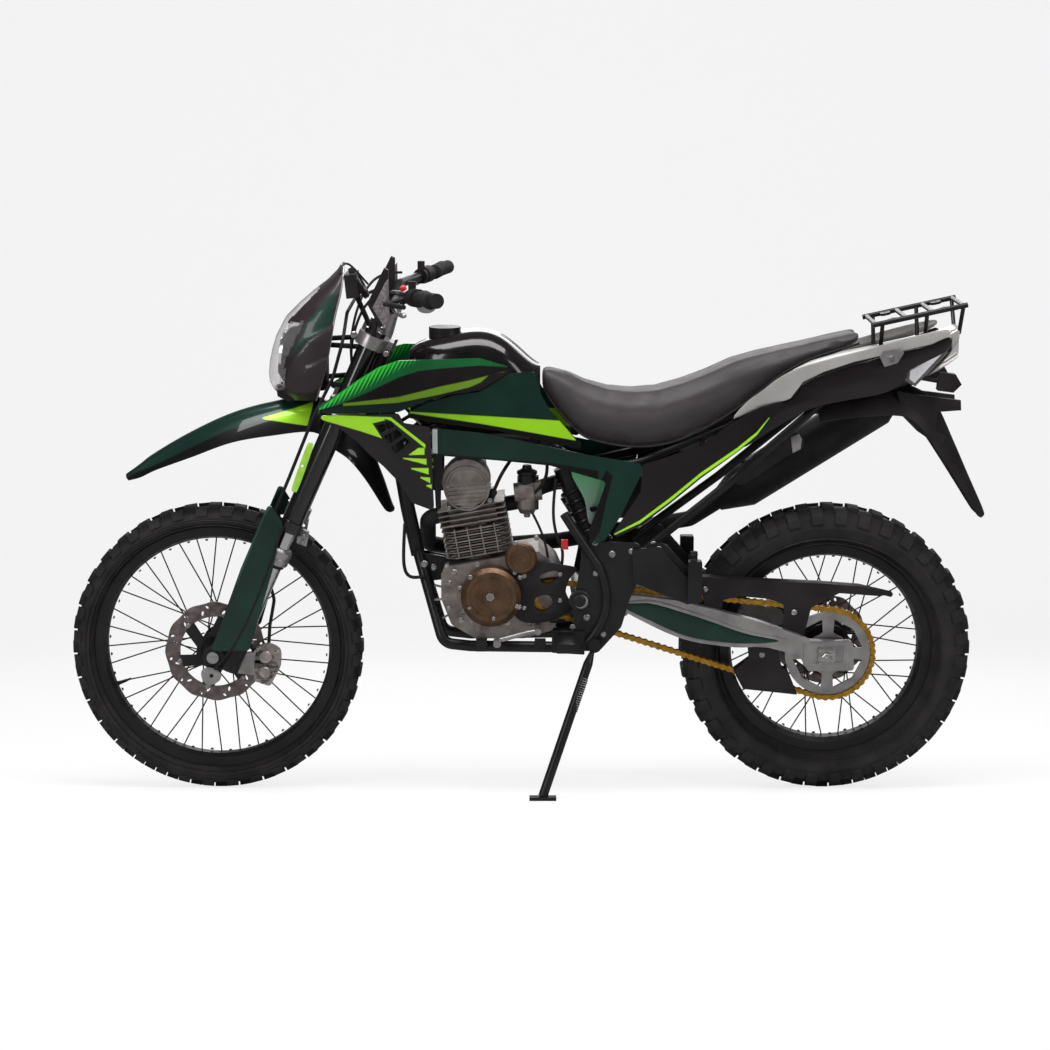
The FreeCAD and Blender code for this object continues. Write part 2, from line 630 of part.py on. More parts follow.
def triple_clamps(fender):
    """Upper and lower clamps with the steering stem between them."""
    upper = clamp_plate(mm("upper_clamp_reach"), mm("clamp_thickness"))
    lower = clamp_plate(mm("lower_clamp_reach"), mm("clamp_thickness") * 1.2)
    stem = Part.makeCylinder(mm("stem_diameter") / 2, mm("upper_clamp_reach") - mm("lower_clamp_reach"),
                             leg_point(mm("lower_clamp_reach"), mm("clamp_offset")), steer_up())
    risers = []
    for side in (1, -1):
        foot = leg_point(mm("upper_clamp_reach"), mm("clamp_offset"), side * mm("bar_flat") * 0.32)
        top = Vector(mm("bar_clamp_x"), -side * mm("bar_flat") * 0.32, mm("bar_clamp_height"))
        riser = Part.makeCylinder(mm("bar_diameter") * 0.75, (top - foot).Length, foot, top - foot)
        barrel = Part.makeCylinder(mm("bar_diameter"), mm("bar_diameter"),
                                   top - Vector(0, mm("bar_diameter") / 2, 0), Vector(0, 1, 0))
        risers.append(riser.fuse(barrel))
    posts = []
    for side in (1, -1):
        start = leg_point(mm("lower_clamp_reach"), mm("clamp_offset") / 2, side * mm("clamp_offset"))
        post = Part.makeCylinder(mm("stem_diameter") / 4, mm("fender_drop"), start, steer_up() * -1)
        posts.append(max(post.cut(fender).Solids, key=lambda piece: piece.BoundBox.ZMax))
    shape = upper.fuse([lower, stem] + risers + posts)
    seat = Part.makeCylinder(mm("bar_diameter") / 2 + mm("fit_gap"), mm("bar_flat") * 2,
                             Vector(mm("bar_clamp_x"), -mm("bar_flat"), mm("bar_clamp_height")),
                             Vector(0, 1, 0))
    shape = shape.cut(seat).removeSplitter()
    solid_part("triple_clamps", shape)
    return shape


def bent_path(points, bend):
    """Straight runs joined by tangent arcs of one radius."""
    edges = []
    start = points[0]
    for before, corner, after in zip(points, points[1:], points[2:]):
        inward = (before - corner).normalize()
        outward = (after - corner).normalize()
        half = inward.getAngle(outward) / 2
        setback = bend / math.tan(half)
        begin = corner + inward * setback
        finish = corner + outward * setback
        middle = (inward + outward).normalize()
        top = corner + middle * (bend / math.sin(half) - bend)
        edges.append(Part.LineSegment(start, begin).toShape())
        edges.append(Part.Arc(begin, top, finish).toShape())
        start = finish
    edges.append(Part.LineSegment(start, points[-1]).toShape())
    return Part.Wire(edges)


def rod(points, diameter, bend):
    """A round bar or tube bent along the given corners."""
    path = bent_path(points, bend)
    start = points[0]
    circle = Part.Wire(Part.Circle(start, points[1] - start, diameter / 2).toShape())
    return path.makePipeShell([circle], True, True)


def handlebar():
    """A bar bent up from its clamped middle and swept back to the grips."""
    x = mm("bar_clamp_x")
    z = mm("bar_clamp_height")
    points = []
    for side in (1, -1):
        half = [Vector(mm("bar_end_x"), -side * mm("bar_span") / 2, mm("bar_end_height")),
                Vector(x + mm("bar_rise") * 0.2, -side * mm("bar_bend_spread") / 2, z + mm("bar_rise")),
                Vector(x, -side * mm("bar_flat") / 2, z)]
        points += half if side == 1 else list(reversed(half))
    solid_part("handlebar", rod(points, mm("bar_diameter"), mm("bar_diameter") * 1.6))


def grips():
    """The two rubber grips, round the ends of the bar."""
    shapes = []
    for side in (1, -1):
        end = Vector(mm("bar_end_x"), -side * mm("bar_span") / 2, mm("bar_end_height"))
        bend = Vector(mm("bar_clamp_x") + mm("bar_rise") * 0.2, -side * mm("bar_bend_spread") / 2,
                      mm("bar_clamp_height") + mm("bar_rise"))
        inward = (bend - end).normalize()
        start = end - inward * mm("overrun")
        sleeve = Part.makeCylinder(mm("grip_diameter") / 2, mm("grip_length"), start, inward)
        bore = Part.makeCylinder(mm("bar_diameter") / 2 + mm("fit_gap") / 3, mm("grip_length"),
                                 end - inward * mm("fit_gap"), inward)
        shapes.append(sleeve.cut(bore))
    solid_part("grips", Part.makeCompound(shapes))


def rounded_wire(points, radius):
    """A closed outline with every corner rounded as far as its two edges allow."""
    count = len(points)
    bends = []
    for index in range(count):
        corner = points[index]
        before = points[index - 1] - corner
        after = points[(index + 1) % count] - corner
        half = before.getAngle(after) / 2
        if math.cos(half) < 0.01:
            bends.append((corner, None, corner))
            continue
        setback = min(radius / math.tan(half), 0.45 * min(before.Length, after.Length))
        before.normalize()
        after.normalize()
        bend = setback * math.tan(half)
        top = corner + (before + after).normalize() * (bend / math.sin(half) - bend)
        bends.append((corner + before * setback, top, corner + after * setback))
    edges = []
    for index in range(count):
        begin, top, finish = bends[index]
        if top is not None:
            edges.append(Part.Arc(begin, top, finish).toShape())
        edges.append(Part.LineSegment(finish, bends[(index + 1) % count][0]).toShape())
    return Part.Wire(edges)


def side_slab(outline_px, side, inner, outer, corner):
    """A slab with an outline read off the photograph, between two distances left of the middle."""
    points = [at(px, py, side) for px, py in outline_px]
    for point in points:
        point.y = -inner
    return Part.Face(rounded_wire(points, corner)).extrude(Vector(0, inner - outer, 0))


def main_piece(shape):
    """The largest solid of a cut shape."""
    return max(shape.Solids, key=lambda piece: piece.Volume)


def stay(start, finish, diameter):
    """A straight round bar between two points."""
    return Part.makeCylinder(diameter / 2, (finish - start).Length, start, finish - start)


def both_sides(shape):
    """The left-hand piece with its right-hand twin."""
    return Part.makeCompound([shape, shape.mirror(Vector(0, 0, 0), Vector(0, 1, 0))])


def wall(plan, low, high, thickness):
    """A curved upright wall; plan rows are x, distance left at the foot, and at the top."""
    wires = []
    for level, column in ((low, 1), (high, 2)):
        outer = [Vector(row[0], -row[column], level) for row in plan]
        inner = [point + Vector(0, thickness, 0) for point in outer]
        face = Part.BSplineCurve()
        face.interpolate(outer)
        back = Part.BSplineCurve()
        back.interpolate(list(reversed(inner)))
        wires.append(Part.Wire([face.toShape(), Part.LineSegment(outer[-1], inner[-1]).toShape(),
                                back.toShape(), Part.LineSegment(inner[0], outer[0]).toShape()]))
    return Part.makeLoft(wires, True, True)


def moulded(outline_px, plan_px, bosses=()):
    """A moulded side panel: its outline from the side, cut out of a curved wall.

    Each boss is a pixel on the panel, the point it reaches for, and the piece it stops against."""
    side = sum(row[1] + row[2] for row in plan_px) / len(plan_px) / 2
    points = [at(px, py, side) for px, py in outline_px]
    low = min(point.z for point in points) - mm("overrun")
    high = max(point.z for point in points) + mm("overrun")
    plan = [(spot(px, mm("horizon_px"), side)[0], foot, top) for px, foot, top in plan_px]
    slab = side_slab(outline_px, side, 0, mm("bar_span") / 2, mm("panel_corner"))
    panel = slab.common(wall(plan, low, high, mm("panel_wall")))
    core = wall(plan, low, high, mm("boss_reach"))
    core.translate(Vector(0, mm("panel_wall") / 2, 0))
    for px, py, target, carrier in bosses:
        face = at(px, py, side)
        run = face - target
        peg = stay(target, face + run, mm("boss_diameter")).common(core).cut(carrier)
        panel = panel.fuse(min(peg.Solids, key=lambda piece: piece.BoundBox.YMin))
    return main_piece(panel)


def straight_in(px, py, side):
    """The point on the middle plane straight inboard of a pixel on a panel."""
    face = at(px, py, side)
    return Vector(face.x, 0, face.z)


def head_tube():
    """The steering head's tube, between the two clamps."""
    low = mm("lower_clamp_reach") + mm("clamp_thickness") * 0.6 + mm("run_gap") / 5
    high = mm("upper_clamp_reach") - mm("clamp_thickness") / 2 - mm("run_gap") / 5
    foot = leg_point(low, mm("clamp_offset"))
    tube = Part.makeCylinder(mm("head_tube_diameter") / 2, high - low, foot, steer_up())
    bore = Part.makeCylinder(mm("stem_diameter") / 2 + mm("fit_gap"), high - low, foot, steer_up())
    return tube, bore


BACKBONE_PX = [(371, 374), (470, 402), (556, 440)]
DOWNTUBE_PX = [(370, 372), (394, 420), (408, 505), (418, 552)]
CRADLE_PX = [(418, 548), (443, 637), (470, 640), (566, 640), (598, 630)]
POST_FOOT_PX = (618, 548)
ENGINE_LUG_PX = [(416, 548), (450, 554), (464, 562), (462, 574), (430, 578), (420, 570)]
ENGINE_FOOT_PX = [(482, 634), (540, 634)]
PLATE_PX = [(583, 530), (640, 532), (645, 556), (630, 590), (622, 618), (600, 643), (580, 643),
            (572, 600), (580, 560)]
SEAT_RAIL_PX = [(574, 466), (640, 452), (800, 388), (900, 362)]
STRUT_PX = [(634, 545), (720, 478), (830, 384)]


def plate_slabs():
    """The two swingarm plates, before their pivot holes."""
    spread = mm("frame_plate_spread") / 2
    half = mm("plate_thickness") / 2
    return both_sides(side_slab(PLATE_PX, spread, spread - half, spread + half,
                                mm("frame_tube_diameter") / 2))


def plate_reach(diameter):
    """How far out a tube of that size lies when it just meets a plate's inner face."""
    return (mm("frame_plate_spread") - mm("plate_thickness") - diameter) / 2 + mm("weld_bite")


def frame_backbone():
    """Head tube, backbone and the posts down to the swingarm plates."""
    tube, bore = head_tube()
    spine = rod([at(*point) for point in BACKBONE_PX], mm("backbone_diameter"),
                mm("backbone_diameter"))
    end = at(*BACKBONE_PX[2])
    spread = mm("post_spread") / 2
    bridge = Part.makeCylinder(mm("rail_diameter") / 2, spread * 2, end - Vector(0, spread, 0),
                               Vector(0, 1, 0))
    posts = []
    for side in (1, -1):
        top = end - Vector(0, side * spread, 0)
        foot = at(*POST_FOOT_PX)
        foot.y = -side * plate_reach(mm("rail_diameter"))
        posts.append(Part.makeCylinder(mm("rail_diameter") / 2, (foot - top).Length, top, foot - top))
        posts.append(Part.makeSphere(mm("rail_diameter") / 2, top))
    shape = tube.fuse([spine, bridge] + posts).cut(bore).cut(plate_slabs()).removeSplitter()
    solid_part("frame_backbone", shape)
    return shape


def engine_mounts():
    """The plates at the foot of the downtube and the tabs on the rails that the engine sits on."""
    inner = mm("frame_tube_diameter") / 2
    lug = both_sides(side_slab(ENGINE_LUG_PX, 0, inner - mm("mount_thickness"), inner, mm("weld_bite")))
    shapes = list(lug.Solids)
    side = mm("crankcase_width") / 2
    width = mm("mount_width")
    for px, py in ENGINE_FOOT_PX:
        foot = at(px, py)
        tab = Part.makeBox(width, width, width, foot - Vector(width / 2, -side - width / 2, width / 2))
        shapes += both_sides(tab).Solids
    return shapes


def frame_cradle(backbone, engine):
    """Downtube, then two rails under the engine."""
    down = rod([at(*point) for point in DOWNTUBE_PX], mm("frame_tube_diameter"),
               mm("frame_tube_diameter") * 3)
    rails = []
    spread = mm("cradle_spread") / 2
    for side in (1, -1):
        points = [at(px, py, side * spread) for px, py in CRADLE_PX]
        points[0] = at(*CRADLE_PX[0]) - Vector(0, side * mm("rail_diameter") / 2, 0)
        for point in points[-2:]:
            point.y = -side * plate_reach(mm("rail_diameter"))
        rails.append(rod(points, mm("rail_diameter"), mm("rail_diameter") * 1.2))
    bore = head_tube()[1]
    shape = down.fuse(rails + engine_mounts()).cut([backbone, bore, engine]).cut(plate_slabs())
    shape = main_piece(shape)
    solid_part("frame_cradle", shape)
    return shape


def frame_plates():
    """The two plates that carry the swingarm pivot, the left one with the stand's lug."""
    pivot = Part.makeCylinder(mm("pivot_diameter") / 2 + mm("fit_gap") / 3, mm("bar_span"),
                              Vector(mm("pivot_x"), mm("bar_span") / 2, mm("pivot_height")),
                              Vector(0, -1, 0))
    left, right = plate_slabs().Solids
    left = left.fuse(stand_lug())
    solid_part("frame_plates", Part.makeCompound([left.cut(pivot), right.cut(pivot)]))


def subframe_rods(extra=0.0):
    """Seat rails and their struts, bridged at the tail."""
    wide = mm("subframe_spread") / 2
    narrow = mm("tail_spread") / 2
    diameter = mm("subframe_diameter")
    rods = []
    for side in (1, -1):
        rail = [at(px, py) for px, py in SEAT_RAIL_PX]
        strut = [at(px, py) for px, py in STRUT_PX]
        for point, reach in zip(rail, (mm("post_spread") / 2, wide, narrow, narrow)):
            point.y = -side * reach
        for point, reach in zip(strut, (plate_reach(diameter), wide, narrow)):
            point.y = -side * reach
        rods.append(rod(rail, diameter + extra, diameter * 2))
        rods.append(rod(strut, diameter + extra, diameter * 2))
    tail = at(*SEAT_RAIL_PX[-1])
    rods.append(Part.makeCylinder((diameter + extra) / 2, narrow * 2, tail - Vector(0, narrow, 0),
                                  Vector(0, 1, 0)))
    return rods[0].fuse(rods[1:])


def subframe(frame):
    """The welded rails that carry the seat and the tail, cut to the frame they meet."""
    shape = main_piece(subframe_rods().cut([frame, plate_slabs()]))
    solid_part("subframe", shape)
    return shape


ARM_PX = [(600, 584), (640, 587), (680, 592), (720, 602), (760, 613), (800, 627), (812, 633),
          (855, 634), (857, 664), (812, 664), (800, 648), (770, 640), (720, 637), (695, 631),
          (650, 613), (630, 604), (600, 603)]


BRACE_PX = (622, 600)


def swingarm():
    """Two tapering arms from the pivot tube to the rear axle."""
    half = mm("arm_spread") / 2
    thick = mm("arm_thickness") / 2
    pivot = Vector(mm("pivot_x"), 0, mm("pivot_height"))
    radius = mm("pivot_tube_diameter") / 2
    arm = side_slab(ARM_PX, half, half - thick, half + thick, mm("arm_thickness") / 3)
    pair = both_sides(arm)
    reach = half + thick
    tube = Part.makeCylinder(radius, reach * 2, pivot - Vector(0, reach, 0), Vector(0, 1, 0))
    nose = []
    for side in (1, -1):
        first = at(606, 593, half)
        run = Vector(first.x - pivot.x, 0, first.z - pivot.z)
        block = Part.makeBox(run.Length + radius, mm("arm_thickness"), radius * 1.7,
                             Vector(0, -mm("arm_thickness") / 2, -radius * 0.85))
        angle = -math.degrees(math.atan2(run.z, run.x))
        block.Placement = Placement(pivot - Vector(0, side * half, 0), Rotation(Vector(0, 1, 0), angle))
        nose.append(block)
    axle_bore = Part.makeCylinder(mm("axle_diameter") / 2 + mm("fit_gap") / 3, reach * 3,
                                  axle_at("rear").Base - Vector(0, reach * 1.5, 0), Vector(0, 1, 0))
    hollow = Part.makeCylinder(mm("pivot_diameter") / 2 + mm("fit_gap") / 3, reach * 3,
                               pivot - Vector(0, reach * 1.5, 0), Vector(0, 1, 0))
    brace = Part.makeCylinder(mm("brace_diameter") / 2, mm("arm_spread"),
                              at(*BRACE_PX) - Vector(0, half, 0), Vector(0, 1, 0))
    shape = tube.fuse([pair, brace] + nose).cut([axle_bore, hollow]).removeSplitter()
    solid_part("swingarm", shape)
    return shape


def pivot_bolt():
    """The bolt the swingarm swings on, with a head and a nut outside the plates."""
    half = "(frame_plate_spread + plate_thickness) / 2"
    return turned("Pivot", bolt_outline(half, "pivot_diameter / 2", "pivot_diameter * 0.8"),
                  ("pivot_x", "pivot_height"))


CRANKCASE_PX = [(450, 549), (516, 540), (536, 540), (556, 556), (564, 574), (564, 602), (552, 622),
                (524, 630), (476, 630), (452, 616), (442, 590), (442, 566)]


def sprocket_room():
    """The space on the engine's left where the chain runs round its front sprocket."""
    centre, radius, rear, rear_radius = chain_ends()
    room = radius + mm("chain_height") / 2 + mm("run_gap")
    depth = mm("bar_span") / 2
    inner = mm("chain_line") - mm("chain_width") / 2 - mm("run_gap")
    drum = Part.makeCylinder(room, depth, centre - Vector(0, inner, 0), Vector(0, -1, 0))
    exit_way = Part.makeBox(mm("wheelbase") / 4, depth, room * 2.3,
                            Vector(centre.x, -inner - depth, centre.z - room * 1.3))
    return drum.fuse(exit_way)


def crankcase():
    """The split crankcase, from the cylinder's foot to the gearbox and its output shaft."""
    half = mm("crankcase_width") / 2
    shape = side_slab(CRANKCASE_PX, 0, -half, half, mm("case_corner"))
    above = Part.makeBox(mm("fin_length") * 2, half * 4, mm("barrel_height"),
                         Vector(-mm("fin_length"), -half * 2, 0))
    above.Placement = engine_place()
    shape = shape.cut([above, sprocket_room()])
    centre, radius, rear, rear_radius = chain_ends()
    shaft_end = mm("chain_line") + mm("sprocket_thickness")
    shaft = Part.makeCylinder(mm("axle_diameter") / 2, shaft_end - half / 2,
                              centre - Vector(0, half / 2, 0), Vector(0, -1, 0))
    sprocket = Part.makeCylinder(radius - mm("roller_radius") - mm("fit_gap"), mm("sprocket_thickness"),
                                 centre - Vector(0, mm("chain_line") - mm("sprocket_thickness") / 2, 0),
                                 Vector(0, -1, 0))
    shape = shape.fuse([shaft, sprocket]).removeSplitter()
    solid_part("crankcase", shape)
    return shape


def engine_place(rise=0.0, side=0.0):
    """A place on the cylinder's own axis, which leans forward."""
    foot = at(*CYLINDER_FOOT_PX)
    turn = Rotation(Vector(0, 1, 0), -mm("cylinder_lean"))
    return Placement(foot, turn).multiply(Placement(Vector(0, -side, rise), Rotation()))


CYLINDER_FOOT_PX = (481, 552)


def cylinder():
    """An air-cooled barrel with a stack of fins."""
    body = new_body("cylinder")
    core = sketch_on(body, "XY_Plane")
    draw_circle(core, "0", "0", "barrel_diameter / 2")
    pad(body, core, "barrel_height", midplane=False)
    fin = sketch_on(body, "XY_Plane", ("0", "0", "fin_pitch"))
    half_x = "fin_length / 2"
    half_y = "fin_width / 2"
    cut = "fin_corner"
    draw_polygon(fin, [(half_x, f"{half_y} - {cut}"), (f"{half_x} - {cut}", half_y),
                       (f"{cut} - {half_x}", half_y), (f"-{half_x}", f"{half_y} - {cut}"),
                       (f"-{half_x}", f"{cut} - {half_y}"), (f"{cut} - {half_x}", f"-{half_y}"),
                       (f"{half_x} - {cut}", f"-{half_y}"), (half_x, f"{cut} - {half_y}")])
    plate = pad(body, fin, "fin_thickness", midplane=False)
    document.recompute()
    stack = body.newObject("PartDesign::LinearPattern", "Fins")
    stack.Originals = [plate]
    stack.Direction = (fin, ["N_Axis"])
    stack.Occurrences = 6
    stack.setExpression("Length", bound("fin_pitch * 5"))
    body.Tip = stack
    keep(body, "cylinder", engine_place())


def cylinder_head():
    """The finned head on the barrel, its cam box and the round cover on the left."""
    length = mm("fin_length")
    width = mm("fin_width")
    rise = mm("barrel_height") + mm("fit_gap") / 3
    top = rise + mm("head_height")
    block = Part.makeBox(length * 0.7, width * 0.72, mm("head_height"),
                         Vector(-length * 0.35, -width * 0.36, rise))
    fins = []
    for number in range(4):
        fins.append(Part.makeBox(length, width, mm("fin_thickness"),
                                 Vector(-length / 2, -width / 2, rise + mm("fin_pitch") * (number + 0.5))))
    cap = Part.makeBox(length * 0.62, width * 0.66, mm("rocker_height"),
                       Vector(-length * 0.31, -width * 0.33, top))
    cover = Part.makeCylinder(mm("cam_cover_diameter") / 2, width * 0.5,
                              Vector(0, 0, top + mm("cam_cover_diameter") * 0.36), Vector(0, -1, 0))
    port = Part.makeCylinder(mm("header_diameter") * 0.6, length * 0.5 + mm("fit_gap"),
                             Vector(0, 0, rise + mm("head_height") * 0.4), Vector(-1, 0, 0))
    inlet = Part.makeCylinder(mm("intake_diameter") * 0.6, length * 0.5 + mm("fit_gap"),
                              Vector(0, 0, rise + mm("head_height") * 0.4), Vector(1, 0, 0))
    shape = block.fuse(fins + [cap, cover, port, inlet]).removeSplitter()
    solid_part("cylinder_head", shape, engine_place())


def round_cover(centre_px, radius, depth, hand):
    """A domed round engine cover standing out from the crankcase; hand is 1 on the left."""
    half = mm("crankcase_width") / 2 + mm("fit_gap") / 3
    x, z = spot(*centre_px, hand * half)
    base = Vector(x, -hand * half, z)
    out = Vector(0, -hand, 0)
    rim = Part.makeCylinder(radius, depth * 0.7, base, out)
    dome = Part.makeCone(radius, radius * 0.82, depth * 0.3, base + out * depth * 0.7, out)
    return rim.fuse(dome)


def engine_covers():
    """The round covers of generator, starter drive and clutch."""
    generator = round_cover((491, 587), mm("stator_radius"), mm("stator_depth"), 1)
    starter = round_cover((521, 549), mm("starter_radius"), mm("starter_depth"), 1)
    clutch = round_cover((508, 596), mm("clutch_radius"), mm("clutch_depth"), -1)
    left = generator.fuse(starter).removeSplitter()
    solid_part("engine_covers", Part.makeCompound([left, clutch.removeSplitter()]))
    return left


def sprocket_cover(engine_left):
    """The plastic cover over the front sprocket, outside the chain."""
    outer = mm("chain_line") + mm("chain_width") / 2 + mm("run_gap")
    inner = mm("crankcase_width") / 2 + mm("fit_gap") / 3
    face = side_slab(SPROCKET_COVER_PX, outer, outer, outer + mm("cover_wall"), mm("case_corner") / 2)
    rim = side_slab(SPROCKET_COVER_PX, outer, inner, outer + mm("cover_wall"), mm("case_corner") / 2)
    shape = face.fuse(rim.cut(sprocket_room())).cut(engine_left)
    solid_part("sprocket_cover", shape.removeSplitter())


SPROCKET_COVER_PX = [(514, 560), (558, 556), (572, 576), (568, 606), (534, 614), (518, 606)]
HEADER_PX = [(428, 546), (458, 554), (560, 548)]
HEADER_SIDES = [-78, -126, -152]
MUFFLER_PX = [(716, 510), (884, 404)]
MUFFLER_STAY = (740, 461, -74)


def port_point(ahead):
    """A point on the line through both ports, that far beyond the face of one; rear ones are negative."""
    rise = mm("barrel_height") + mm("head_height") * 0.4 + mm("fit_gap") / 3
    reach = mm("fin_length") / 2 + mm("fit_gap") + abs(ahead)
    return engine_place().multiply(Placement(Vector(math.copysign(reach, -ahead), 0, rise), Rotation())).Base


def muffler_line():
    """The silencer's axis, front end first."""
    return [at(px, py, -mm("muffler_side")) for px, py in MUFFLER_PX]


def exhaust_pipe():
    """The header, down past the frame and back along the right-hand side."""
    diameter = mm("header_diameter")
    points = [port_point(mm("fit_gap")), port_point(diameter * 0.75)]
    points += [at(px, py, side) for (px, py), side in zip(HEADER_PX, HEADER_SIDES)]
    start, finish = muffler_line()
    along = (finish - start).normalize()
    points += [start - along * diameter * 2, start - along * mm("fit_gap")]
    solid_part("exhaust_pipe", rod(points, mm("header_diameter"), mm("header_diameter") * 0.6))


def muffler(carrier):
    """The silencer can, tapered at both ends, on a bracket to the subframe."""
    start, finish = muffler_line()
    run = finish - start
    along = Vector(run).normalize()
    radius = mm("muffler_diameter") / 2
    cone = radius * 1.4
    nose = Part.makeCone(mm("header_diameter") * 0.6, radius, cone, start, along)
    can = Part.makeCylinder(radius, run.Length - cone * 1.4, start + along * cone, along)
    tail = Part.makeCone(radius, radius * 0.7, cone * 0.4, finish - along * cone * 0.4, along)
    px, py, side = MUFFLER_STAY
    bracket = stay(at(px, py, side), start + along * run.Length * 0.25, mm("stay_diameter"))
    solid_part("muffler", main_piece(nose.fuse([can, tail, bracket]).cut(carrier)))


def section(x, half, low, high, corner):
    """A rounded cross-section standing across the machine at x."""
    points = [Vector(x, -half, low), Vector(x, -half, high), Vector(x, half, high), Vector(x, half, low)]
    return rounded_wire(points, corner)


CAP_PX = (446, 330)
TANK_ROWS = [(412, 346, 410, 34), (430, 335, 428, 68), (450, 330, 438, 84), (490, 327, 440, 92),
             (520, 345, 440, 84), (540, 360, 440, 60)]
SEAT_PAD_PX = [(646, 449), (742, 411)]
SEAT_ROWS = [(543, 364, 392, 52), (572, 375, 424, 78), (620, 386, 440, 100), (670, 380, 436, 108),
             (720, 361, 412, 100), (770, 346, 374, 88), (852, 328, 339, 66)]


def lofted(rows, corner_share):
    """A smooth body through sections read along the machine: px, top, bottom, half width."""
    wires = []
    for px, top, bottom, half in rows:
        x, high = spot(px, top)
        low = spot(px, bottom)[1]
        corner = min(half, (high - low) / 2) * corner_share
        wires.append(section(x, half, low, high, corner))
    return Part.makeLoft(wires, True, False)


def fuel_tank():
    """The tank, tunnelled for the backbone, and its cap."""
    tunnel = rod([at(*point) for point in BACKBONE_PX], mm("backbone_diameter") + mm("fit_gap") * 2,
                 mm("backbone_diameter"))
    tank = lofted(TANK_ROWS, 0.7)
    x, z = spot(*CAP_PX)
    cap = Part.makeCylinder(mm("cap_diameter") / 2, mm("cap_height") * 3,
                            Vector(x, 0, z - mm("cap_height") * 2), Vector(0, 0, 1)).cut(tank)
    tank = main_piece(tank.cut(tunnel))
    solid_part("fuel_tank", tank)
    solid_part("tank_cap", max(cap.Solids, key=lambda piece: piece.BoundBox.ZMax))
    return tank


def seat():
    """The long saddle on pads that sit on the rails."""
    shape = lofted(SEAT_ROWS, 0.8)
    width = mm("subframe_diameter")
    pads = []
    for px, py in SEAT_PAD_PX:
        place = at(px, py)
        reach = rail_reach(place.x)
        pads.append(Part.makeBox(mm("mount_width"), width, mm("mount_width") * 2,
                                 Vector(place.x, -reach - width / 2, place.z)))
    pads = [solid for pad_box in pads for solid in both_sides(pad_box).Solids]
    solid_part("seat", main_piece(shape.fuse(pads).cut(subframe_rods(mm("fit_gap") * 2))))


def rail_reach(x):
    """How far out a seat rail's axis lies at x."""
    before, after = [at(*point) for point in SEAT_RAIL_PX[1:3]]
    share = min(max((x - before.x) / (after.x - before.x), 0), 1)
    return (mm("subframe_spread") * (1 - share) + mm("tail_spread") * share) / 2


UPPER_SHROUD_PX = [(318, 392), (340, 378), (360, 364), (380, 352), (400, 346), (440, 346), (480, 346),
                   (518, 358), (490, 362), (470, 379), (440, 381), (400, 396), (330, 397)]
UPPER_SHROUD_PLAN_PX = [(300, 184, 178), (360, 190, 178), (420, 176, 150), (480, 146, 116), (540, 114, 98)]
LOWER_SHROUD_PX = [(320, 400), (400, 398), (405, 408), (431, 413), (434, 500), (412, 491), (400, 470),
                   (384, 452), (372, 441), (357, 425), (345, 415), (330, 408)]
LOWER_SHROUD_PLAN_PX = [(300, 150, 172), (350, 140, 180), (400, 130, 172), (450, 122, 140)]
TANK_PANEL_PX = [(410, 400), (430, 391), (455, 384), (480, 381), (497, 371), (510, 363), (535, 362),
                 (541, 385), (550, 400), (565, 417), (588, 441), (500, 420), (440, 411), (408, 405)]
TANK_PANEL_PLAN_PX = [(390, 146, 122), (450, 128, 108), (510, 112, 94), (560, 104, 84), (600, 104, 84)]
FRAME_COVER_PX = [(432, 416), (480, 421), (520, 429), (590, 444), (641, 452), (641, 462), (620, 505),
                  (605, 528), (593, 533), (588, 522), (606, 470), (550, 454), (500, 449), (442, 444),
                  (441, 498), (436, 498)]
FRAME_COVER_PLAN_PX = [(420, 130, 118), (500, 126, 116), (570, 134, 112), (650, 140, 114)]
SIDE_PANEL_PX = [(642, 453), (700, 434), (730, 412), (758, 396), (788, 388), (768, 410), (757, 424),
                 (735, 441), (700, 466), (670, 491), (640, 514), (608, 530), (622, 508), (640, 480)]
SIDE_PANEL_PLAN_PX = [(600, 122, 112), (680, 138, 116), (740, 136, 112), (800, 120, 104)]


def shrouds_upper(tank):
    """The upper tank shrouds, on bosses from the tank."""
    bosses = [(452, 366, straight_in(452, 366, 130), tank), (490, 353, straight_in(490, 353, 130), tank)]
    solid_part("shrouds_upper", both_sides(moulded(UPPER_SHROUD_PX, UPPER_SHROUD_PLAN_PX, bosses)))


def shrouds_lower(tank, cradle):
    """The lower shrouds, on bosses from the tank and the downtube."""
    bosses = [(422, 420, straight_in(422, 420, 140), tank), (404, 448, at(400, 448), cradle)]
    panel = moulded(LOWER_SHROUD_PX, LOWER_SHROUD_PLAN_PX, bosses)
    inner, outer = mm("bar_flat"), mm("frame_plate_spread")
    openings = [side_slab(cell, mm("lower_shroud_side"), inner, outer, mm("weld_bite")) for cell in GRILLE_PX]
    solid_part("shrouds_lower", both_sides(main_piece(panel.cut(openings))))


GRILLE_PX = [[(378, 410), (392, 406), (396, 411), (383, 418)], [(385, 421), (398, 414), (404, 420), (390, 429)],
             [(392, 432), (406, 423), (412, 428), (396, 440)]]


def tank_panels(tank):
    """The side panels of the tank."""
    bosses = [(452, 397, straight_in(452, 397, 120), tank), (520, 382, straight_in(520, 382, 110), tank)]
    solid_part("tank_panels", both_sides(moulded(TANK_PANEL_PX, TANK_PANEL_PLAN_PX, bosses)))


def frame_covers(tank, backbone):
    """The covers over the frame between the tank and the seat."""
    bosses = [(470, 425, straight_in(470, 425, 122), tank), (604, 496, at(592, 500, 90), backbone)]
    solid_part("frame_covers", both_sides(moulded(FRAME_COVER_PX, FRAME_COVER_PLAN_PX, bosses)))


